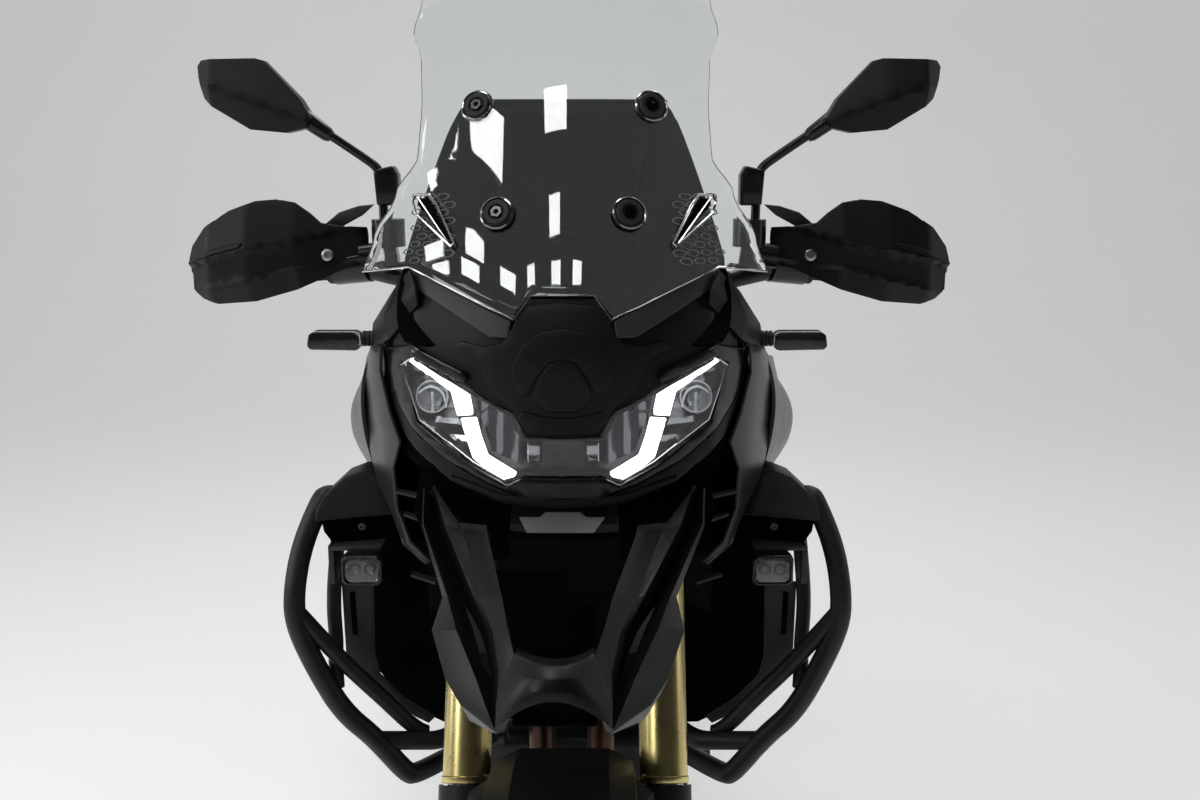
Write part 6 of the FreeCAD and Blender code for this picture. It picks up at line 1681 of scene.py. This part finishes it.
@dataclass
class TankAndSeats(SubAssembly):
    """The tank with its cap ring and knee pads, and the stuffed seats with piping."""

    tank: SectionTable = (
        (540, ((96, 1076), (172, 1054), (218, 1006), (223, 950), (208, 911), (160, 911), (152, 946))),
        (580, ((96, 1082), (176, 1058), (234, 1008), (242, 952), (224, 908), (163, 908), (154, 920))),
        (620, ((96, 1084), (178, 1060), (246, 1006), (254, 950), (236, 904), (166, 904), (156, 896))),
        (700, ((92, 1080), (170, 1050), (240, 990), (248, 936), (228, 884), (166, 880), (156, 850))),
        (760, ((86, 1062), (160, 1034), (226, 970), (232, 920), (214, 866), (164, 856), (156, 812))),
        (840, ((76, 1024), (142, 992), (198, 934), (202, 896), (188, 856), (157, 838), (145, 812))),
        (900, ((66, 984), (124, 950), (172, 900), (176, 872), (166, 846), (150, 822), (134, 812))),
        (985, ((54, 924), (92, 904), (118, 880), (124, 866), (122, 850), (116, 832), (108, 820))),
    )
    cap_spot: Spot = (0, 640, 1079)
    voxel: float = 6.0
    pressure: float = 4.0
    frames: int = 20
    fill: float = 0.8
    rider: SectionTable = (
        (992, ((52, 900), (84, 892), (100, 868), (96, 838), (70, 832))),
        (1030, ((60, 888), (102, 880), (124, 854), (118, 822), (80, 806))),
        (1080, ((70, 878), (120, 872), (148, 842), (140, 806), (90, 784))),
        (1150, ((82, 872), (136, 868), (162, 842), (154, 808), (94, 790))),
        (1230, ((96, 872), (150, 868), (176, 842), (166, 812), (96, 798))),
        (1310, ((94, 884), (145, 880), (169, 848), (156, 818), (93, 803))),
        (1338, ((92, 892), (142, 886), (164, 852), (150, 822), (92, 806))),
    )
    pillion: SectionTable = (
        (1338, ((88, 940), (124, 930), (146, 896), (138, 830), (92, 808))),
        (1370, ((90, 943), (127, 933), (149, 899), (139, 836), (92, 813))),
        (1480, ((92, 946), (134, 938), (154, 904), (142, 856), (92, 832))),
        (1570, ((80, 949), (121, 940), (139, 912), (128, 870), (81, 849))),
        (1650, ((64, 950), (104, 942), (122, 920), (112, 886), (68, 866))),
    )

    def build(self) -> None:
        """Builds the tank and both seats."""
        self.dress(Bench.sections(self.tank), "tank_shell", PAINT, "fuel_tank", smooth=60.0)
        pads = Bench.draped([(0, 0), (120, 18), (150, 60), (120, 96), (20, 84), (-12, 40)],
                            lambda x, z: 0.0, 5.0, 20.0)
        for corner in pads.data.vertices:
            back, rise, deep = corner.co.x / MM, corner.co.z / MM, (corner.co.y / MM - FRONT_AXLE_BACK)
            corner.co = at(238 - 0.0016 * (back + 40) ** 2 - deep + 0.10 * (rise - 40), 700 + back,
                           866 + rise)
        self.dress(Bench.both(Bench.bevelled(Bench.outward(pads), 1.6, 2)), "knee_pads", RUBBER)
        centre = at(*self.cap_spot)
        ring = Bench.turned([(0, 40.6), (0, 58), (3, 58), (5, 54), (5, 42), (4, 40.6), (0, 40.6)], centre,
                            UP, 48)
        bolt = Bench.turned([(4, 0), (4, 3.4), (6.6, 3.2), (6.6, 1.8), (5.4, 1.6), (5.4, 0)],
                            at(0, 690, 1079), UP, 12)
        self.dress(Bench.joined([ring, Bench.spun(bolt, 8, centre, UP)]), "cap_ring", ALLOY)
        cap = Bench.turned([(0, 0), (0, 39.4), (6, 39.4), (8, 37), (8.6, 26), (6.4, 24), (6.4, 0)],
                           at(0, 640, 1084.4), UP, 48)
        flap = Bench.slab(((-8, 620, 1090), (8, 620, 1090), (10, 656, 1090), (-10, 656, 1090)), (0, 0, 3))
        hinge = Bench.turned([(-12, 0), (-12, 4.4), (12, 4.4), (12, 0)], at(0, 682, 1089.3), LEFT, 16)
        tongue = Bench.slab(((-11, 672, 1085), (11, 672, 1085), (11, 684, 1085), (-11, 684, 1085)), (0, 0, 7))
        lid = Bench.joined([cap, Bench.bevelled(flap, 1.0), hinge, tongue])
        self.dress(lid, "filler_cap_lid", ALLOY, "fuel_cap", body=Body.CAP)
        for table, name, node, floor in ((self.rider, "rider_seat_pad", "rider_seat", 826.0),
                                         (self.pillion, "pillion_seat_pad", "pillion_seat", 858.0)):
            pad = self.stuffed(Bench.sections(table, 1), floor)
            self.dress(pad, name, SEAT, node, smooth=60.0)
            self.dress(self.piping(table), f"{name}_piping", RUBBER)

    def piping(self, table: SectionTable) -> Mesh:
        """A cord of piping along both upper edges and across the front."""
        front, rear = table[0][0] + 12.0, table[-1][0] - 16.0
        left = [at(half[1][0] - 2.0, min(max(back, front), rear), half[1][1] - 4.0) for back, half in table]
        right = [Vector((-spot.x, spot.y, spot.z)) for spot in left]
        return Bench.tube(list(reversed(left)) + right, 2.4, 3)

    def stuffed(self, pad: Mesh, floor: float, limit: float = 7.0) -> Mesh:
        """Swells a pad as cloth under pressure.

        Args:
            pad: A closed form, a little smaller than the finished pad.
            floor: The height below which it is held.
            limit: The most that a point may move.

        Returns:
            The swollen pad.
        """
        Bench.hold(pad)
        remesh = pad.modifiers.new("Even", "REMESH")
        remesh.mode = "VOXEL"
        remesh.voxel_size = self.voxel * MM
        bpy.ops.object.modifier_apply(modifier=remesh.name)
        before = [corner.co.copy() for corner in pad.data.vertices]
        base = pad.vertex_groups.new(name="base")
        base.add([corner.index for corner in pad.data.vertices if corner.co.z < floor * MM], 1.0, "REPLACE")
        cloth = pad.modifiers.new("Swell", "CLOTH")
        cloth.settings.vertex_group_mass = "base"
        cloth.settings.use_pressure = True
        cloth.settings.uniform_pressure_force = self.pressure
        cloth.settings.effector_weights.gravity = 0.0
        scene = bpy.context.scene
        for frame in range(1, self.frames + 1):
            scene.frame_set(frame)
        Bench.hold(pad)
        bpy.ops.object.modifier_apply(modifier=cloth.name)
        for corner, start in zip(pad.data.vertices, before):
            move = corner.co - start
            if move.length > limit * MM:
                corner.co = start + move.normalized() * (limit * MM)
        scene.frame_set(1)
        return Bench.subdivided(pad)


@dataclass
class Powertrain(SubAssembly):
    """The engine's covers, bolts and ribs, and the silencer with its bands and end cap."""

    # Columns: across, back, height, outward side, radius, depth, bolt count.
    covers: Rows = (
        (138, 690, 372, 1, 84, 36, 9), (-138, 742, 384, -1, 92, 40, 10), (-138, 628, 350, -1, 34, 28, 4),
    )
    silencer_across: float = -204.0
    # Columns: back, height, half width, half height.
    silencer: Rows = (
        (1345, 590, 34, 36), (1372, 596, 44, 50), (1400, 602, 50, 62), (1550, 633, 52, 64),
        (1700, 664, 52, 65), (1712, 666, 50, 62),
    )
    section_steps: int = 24
    squareness: float = 0.7
    end_cap: Rows = ((1708, 665, 51, 64), (1740, 671, 48, 60), (1768, 677, 36, 46))
    shield: Rows = ((1436, 609, 52, 60), (1500, 622, 54, 60), (1600, 643, 54, 60), (1664, 656, 53, 60))
    bands: Rows = ((1396, 601, 51, 63), (1410, 604, 52, 64), (1688, 661, 54, 67), (1704, 664, 54, 67))

    def build(self) -> None:
        """Builds the covers, the ribs, the head's details and the silencer."""
        covers, bolts = [], []
        for x, back, height, side, radius, deep, count in self.covers:
            centre, axis = at(x, back, height), Vector((side, 0, 0))
            covers.append(Bench.turned([(0, 0), (0, radius + 1), (5, radius + 2), (8, radius + 1),
                                        (9, radius - 3), (deep * 0.6, radius - 6),
                                        (deep * 0.8, radius - 12), (deep * 0.84, radius * 0.66),
                                        (deep - 1, radius * 0.62), (deep, radius * 0.56),
                                        (deep, radius * 0.26), (deep - 3, radius * 0.22), (deep - 3, 0)],
                                       centre, axis, 48))
            bolt = Bench.turned([(4, 0), (4, 6.5), (10, 6.5), (13, 5), (13, 2.6), (10.5, 2.4), (10.5, 0)],
                                at(x, back, height + radius + 1), axis, 12)
            bolts.append(Bench.spun(bolt, int(count), centre, LEFT))
        self.dress(Bench.joined(covers), "engine_side_covers", CAST)
        self.dress(Bench.joined(bolts), "engine_cover_bolts", STEEL)
        ribs = []
        for height in (506, 532, 558, 584, 610):
            lean = (height - 480) * 0.15
            front, rear = 586 - lean, 776 - 1.2 * lean
            rib = Bench.slab(((-103, front, height), (103, front, height), (103, rear, height),
                              (-103, rear, height)), (0, 0, 4))
            ribs.append(Bench.bevelled(rib, 1.2, 1))
        for across in (-70, -24, 24, 70):
            rib = Bench.slab(((across, 574, 750), (across, 716, 750), (across, 704, 758),
                              (across, 586, 758)), (5, 0, 0))
            ribs.append(Bench.bevelled(rib, 1.2, 1))
        self.dress(Bench.joined(ribs), "engine_ribs", ENGINE)
        plugs = [Bench.turned([(0, 0), (0, 13), (8, 14), (14, 11), (26, 10), (30, 7), (30, 0)],
                              at(x, 640, 750), Vector((0, 0.1, 1)), 20) for x in (-46, 46)]
        filler = Bench.turned([(0, 0), (0, 17), (4, 17), (4, 14), (12, 14), (14, 12), (14, 0)],
                              at(-112, 790, 500), Vector((-0.4, 0, 1)), 12)
        self.dress(Bench.joined([*plugs, filler]), "engine_caps", RUBBER)
        self.exhaust()

    def loop(self, back: float, height: float, wide: float, high: float) -> list[Vector]:
        """A rounded section of the silencer."""
        row = []
        for index in range(self.section_steps):
            angle = 2 * math.pi * index / self.section_steps
            along, up = math.cos(angle), math.sin(angle)
            x = math.copysign(abs(along) ** self.squareness, along) * wide
            z = math.copysign(abs(up) ** self.squareness, up) * high
            row.append(at(self.silencer_across + x, back, height + z))
        return row

    def exhaust(self) -> None:
        """The silencer's body, bands, end cap, outlet and hanger."""
        body = Bench.skin([self.loop(*row) for row in self.silencer], closed=True, capped=True)
        self.dress(Bench.bevelled(body, 1.0), "silencer_body", SILENCER, "silencer", smooth=35.0)
        cap = Bench.skin([self.loop(*row) for row in self.end_cap], closed=True, capped=True)
        self.dress(Bench.bevelled(cap, 2.0), "silencer_end_cap", GLOSS, smooth=35.0)
        rings = [Bench.skin([self.loop(*self.bands[index]), self.loop(*self.bands[index + 1])], closed=True,
                            capped=True) for index in (0, 2)]
        hanger = Bench.slab(((-156, 1516, 648), (-104, 1516, 652), (-104, 1552, 652), (-156, 1552, 648)),
                            (0, 0, 8))
        arm = Bench.slab(((-104, 1520, 650), (-104, 1550, 650), (-104, 1550, 838), (-104, 1524, 838)),
                         (-6, 0, 0))
        rings += [hanger, arm]
        self.dress(Bench.joined([Bench.bevelled(ring, 1.2) for ring in rings]), "silencer_bands", FRAME)
        axis = Vector((0, 36, 7))
        mouth = at(self.silencer_across, 1760, 676)
        outlet = Bench.turned([(0, 20), (0, 24), (34, 24), (36, 23), (36, 21), (34, 20), (0, 20)], mouth,
                              axis, 36)
        floor = Bench.turned([(4, 0), (4, 20.4), (8, 20.4), (8, 0)], mouth, axis, 24)
        self.dress(Bench.joined([outlet, floor]), "silencer_outlet", STEEL)
        shield = Bench.skin([[spot + Vector((-3.0 * MM, 0, 0)) for spot in self.loop(*row)[8:17]]
                             for row in self.shield])
        self.dress(Bench.bevelled(Bench.thickened(Bench.outward(shield), 2.0, 0.0), 0.6), "silencer_shield",
                   ALLOY)


@dataclass
class Tail(SubAssembly):
    """The tail lamp with its row of diodes."""

    diodes: int = 9
    diode_pitch: float = 11.0

    def build(self) -> None:
        """Builds the lamp."""
        housing = Bench.slab(((-52, 1722, 850), (52, 1722, 850), (62, 1722, 876), (-62, 1722, 876)),
                             (0, -20, 0))
        self.dress(Bench.bevelled(housing, 2.0), "tail_lamp_housing", GLOSS, "tail_lamp")
        lens = Bench.slab(((-49, 1728, 853), (49, 1728, 853), (58, 1728, 873), (-58, 1728, 873)), (0, -5, 0))
        self.dress(Bench.bevelled(lens, 1.8, 3), "tail_lamp_lens", RED)
        cells = []
        for index in range(self.diodes):
            across = self.diode_pitch * (index - (self.diodes - 1) / 2)
            left, right = across - 3.5, across + 3.5
            cell = Bench.slab(((left, 1723.5, 859), (right, 1723.5, 859), (right, 1723.5, 867),
                               (left, 1723.5, 867)), (0, -3, 0))
            cells.append(Bench.bevelled(cell, 0.8, 1))
        self.dress(Bench.joined(cells), "tail_lamp_diodes", BRIGHT)


class Stage:
    """Floor, backdrop, lamps and camera."""

    FLOOR = (0.80, 0.80, 0.79)
    LIFT = 0.38
    LOW = 0.22
    CEILING = 3.4
    TILE_LEVEL = 55.0
    EYE = (39.0, -990.0, 1320.0)
    TILT = 11.8
    LENS = 34.62
    SENSOR = 36.0

    def material(self) -> bpy.types.Material:
        """A pale matt paint that camera and reflections see as white."""
        bench = NodeBench("stage_paint")
        speck = bench.noise(bench.coords, 3.0, 4.0)
        tone = bench.mixed(speck, self.FLOOR, tuple(value * 0.98 for value in self.FLOOR))
        bench.link(tone, bench.shader.inputs["Base Color"])
        bench.link(tone, bench.shader.inputs["Emission Color"])
        path = bench.add("ShaderNodeLightPath")
        seen = path.outputs["Is Camera Ray"]
        for kind in ("Is Transmission Ray", "Is Glossy Ray"):
            either = bench.add("ShaderNodeMath", operation="MAXIMUM")
            bench.link(seen, either.inputs[0])
            bench.link(path.outputs[kind], either.inputs[1])
            seen = either.outputs["Value"]
        level = bench.ranged(seen, 0.0, 1.0, 0.0, self.LIFT)
        bench.link(level, bench.shader.inputs["Emission Strength"])
        bench.shader.inputs["Roughness"].default_value = 0.6
        return bench.material

    def floor(self) -> None:
        """A floor that curves up into a backdrop."""
        profile = [(-16.0, 0.0), (3.5, 0.0), (4.2, 0.06), (4.8, 0.3), (5.2, 0.8), (5.4, 1.6), (5.5, 7.0)]
        rows = [[Vector((x, y, z)) for x in (-20.0, 0.0, 20.0)] for y, z in profile]
        sweep = Bench.skin(rows)
        Bench.subdivided(sweep, 2)
        sweep.name = "stage_floor"
        sweep.data.materials.append(self.material())

    def world(self) -> None:
        """A plain white surround at a soft level."""
        world = bpy.data.worlds.new("surround")
        bpy.context.scene.world = world
        world.use_nodes = True
        tree = world.node_tree
        shade = tree.nodes["Background"]
        path = tree.nodes.new("ShaderNodeLightPath")
        seen = tree.nodes.new("ShaderNodeMath")
        seen.operation = "MAXIMUM"
        tree.links.new(path.outputs["Is Camera Ray"], seen.inputs[0])
        tree.links.new(path.outputs["Is Transmission Ray"], seen.inputs[1])
        coords = tree.nodes.new("ShaderNodeTexCoord")
        split = tree.nodes.new("ShaderNodeSeparateXYZ")
        tree.links.new(coords.outputs["Generated"], split.inputs["Vector"])
        behind = self.ranged(tree, split.outputs["Y"], -0.2, 0.8, 0.03, 1.0)
        glossy = self.ranged(tree, path.outputs["Is Glossy Ray"], 0.0, 1.0, self.LOW, behind)
        level = self.ranged(tree, seen.outputs["Value"], 0.0, 1.0, glossy, 1.0)
        tree.links.new(level, shade.inputs["Strength"])
        shade.inputs["Color"].default_value = (1.0, 1.0, 1.0, 1.0)

    def ranged(self, tree: bpy.types.NodeTree, source: bpy.types.NodeSocket, low: float, high: float,
               to_low: float | bpy.types.NodeSocket,
               to_high: float | bpy.types.NodeSocket) -> bpy.types.NodeSocket:
        """A value moved to another range, whose ends may be values or sockets."""
        node = tree.nodes.new("ShaderNodeMapRange")
        node.inputs["From Min"].default_value = low
        node.inputs["From Max"].default_value = high
        tree.links.new(source, node.inputs["Value"])
        for name, end in (("To Min", to_low), ("To Max", to_high)):
            if isinstance(end, float):
                node.inputs[name].default_value = end
            else:
                tree.links.new(end, node.inputs[name])
        return node.outputs["Result"]

    def lamps(self) -> None:
        """Soft panels above, in front and at both sides, and small bright ones that the screen mirrors."""
        panels = (
            ("key_left", (-2.8, -2.4, 2.2), (-0.1, -0.6, 0.9), 1.1, 0.8, 22.0),
            ("ceiling_mid", (-0.4, -0.2, 3.6), (0.0, 0.1, 0.8), 1.2, 0.7, 20.0),
            ("ceiling_back", (0.6, 1.6, 3.6), (0.0, 0.6, 0.6), 1.4, 0.8, 26.0),
            ("side_left", (3.2, -0.6, 1.8), (0.0, -0.2, 0.8), 0.6, 1.8, 6.0),
            ("side_right", (-3.2, -0.6, 1.8), (0.0, -0.2, 0.8), 0.6, 1.8, 20.0),
        )
        for name, place, target, width, height, power in panels:
            self.panel(name, place, target, (width, height), 0.0, power)
        # Columns: place across and along, width, height, turn in degrees.
        tiles = (
            (-1.50, -1.88, 0.66, 0.26, -28.0),
            (-0.22, -2.02, 0.38, 0.19, 0.0),
            (-0.25, -2.38, 0.20, 0.10, 0.0),
            (-2.85, -1.80, 0.50, 0.10, -20.0),
            (-1.90, -2.16, 0.42, 0.10, -25.0),
            (-2.76, -1.96, 0.45, 0.08, -20.0),
            (-2.05, -2.23, 0.42, 0.10, -25.0),
            (-1.23, -2.50, 0.34, 0.10, -20.0),
            (-0.74, -2.55, 0.18, 0.11, 0.0),
            (-0.23, -2.58, 0.18, 0.13, 0.0),
            (0.19, -2.58, 0.16, 0.13, 0.0),
            (-2.62, -1.46, 0.22, 0.10, -20.0),
        )
        for index, (x, y, width, height, turn) in enumerate(tiles):
            self.panel(f"tile_{index}", (x, y, self.CEILING), (x, y, 0.0), (width, height), turn,
                       self.TILE_LEVEL * width * height)

    def panel(self, name: str, place: Spot, target: Spot, size: Flat, turn: float, power: float) -> None:
        """A flat lamp that faces a target, turned about its own axis."""
        data = bpy.data.lights.new(name, "AREA")
        data.shape = "RECTANGLE"
        data.size, data.size_y = size
        data.energy = power
        lamp = bpy.data.objects.new(name, data)
        lamp.location = place
        aim = (Vector(target) - Vector(place)).to_track_quat("-Z", "Y").to_matrix().to_4x4()
        lamp.rotation_euler = (aim @ Matrix.Rotation(math.radians(turn), 4, "Z")).to_euler()
        bpy.context.scene.collection.objects.link(lamp)

    def camera(self) -> None:
        """The camera where the photographer stood."""
        data = bpy.data.cameras.new("viewpoint")
        data.sensor_width = self.SENSOR
        data.lens = self.LENS
        camera = bpy.data.objects.new("viewpoint", data)
        camera.location = at(*self.EYE)
        camera.rotation_euler = (math.radians(90.0 - self.TILT), 0.0, 0.0)
        bpy.context.scene.collection.objects.link(camera)
        bpy.context.scene.camera = camera

    def build(self) -> None:
        """Builds the stage."""
        bpy.context.scene.view_settings.view_transform = "Standard"
        self.world()
        self.floor()
        self.lamps()
        self.camera()


def paint_nodes(frame: dict) -> None:
    """Gives each CAD node the finish of its material slot."""
    slots = {row["node"]: row["material_slot"] for row in frame["record"]["subparts"]}
    for name, node in frame["nodes"].items():
        material = NODE_FINISH[slots[name]].material()
        if name in NODE_OWN:
            material = NODE_OWN[name].material()
        if not node.data.materials:
            node.data.materials.append(material)
        for place in node.material_slots:
            place.material = material


def main() -> None:
    """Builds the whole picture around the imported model."""
    logging.basicConfig(level=logging.INFO, format="%(name)s %(message)s")
    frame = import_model()
    paint_nodes(frame)
    groups: tuple[SubAssembly, ...] = (Windscreen(), Headlights(), Nose(), Beak(), SideFairings(),
                                       CrashProtection(), Fork(), Cockpit(), Dash(), Indicators(),
                                       BlankPlate(), Wheels(), TankAndSeats(), Powertrain(), Tail())
    for group in groups:
        group.build()
    Stage().build()


if __name__ == "__main__":
    main()
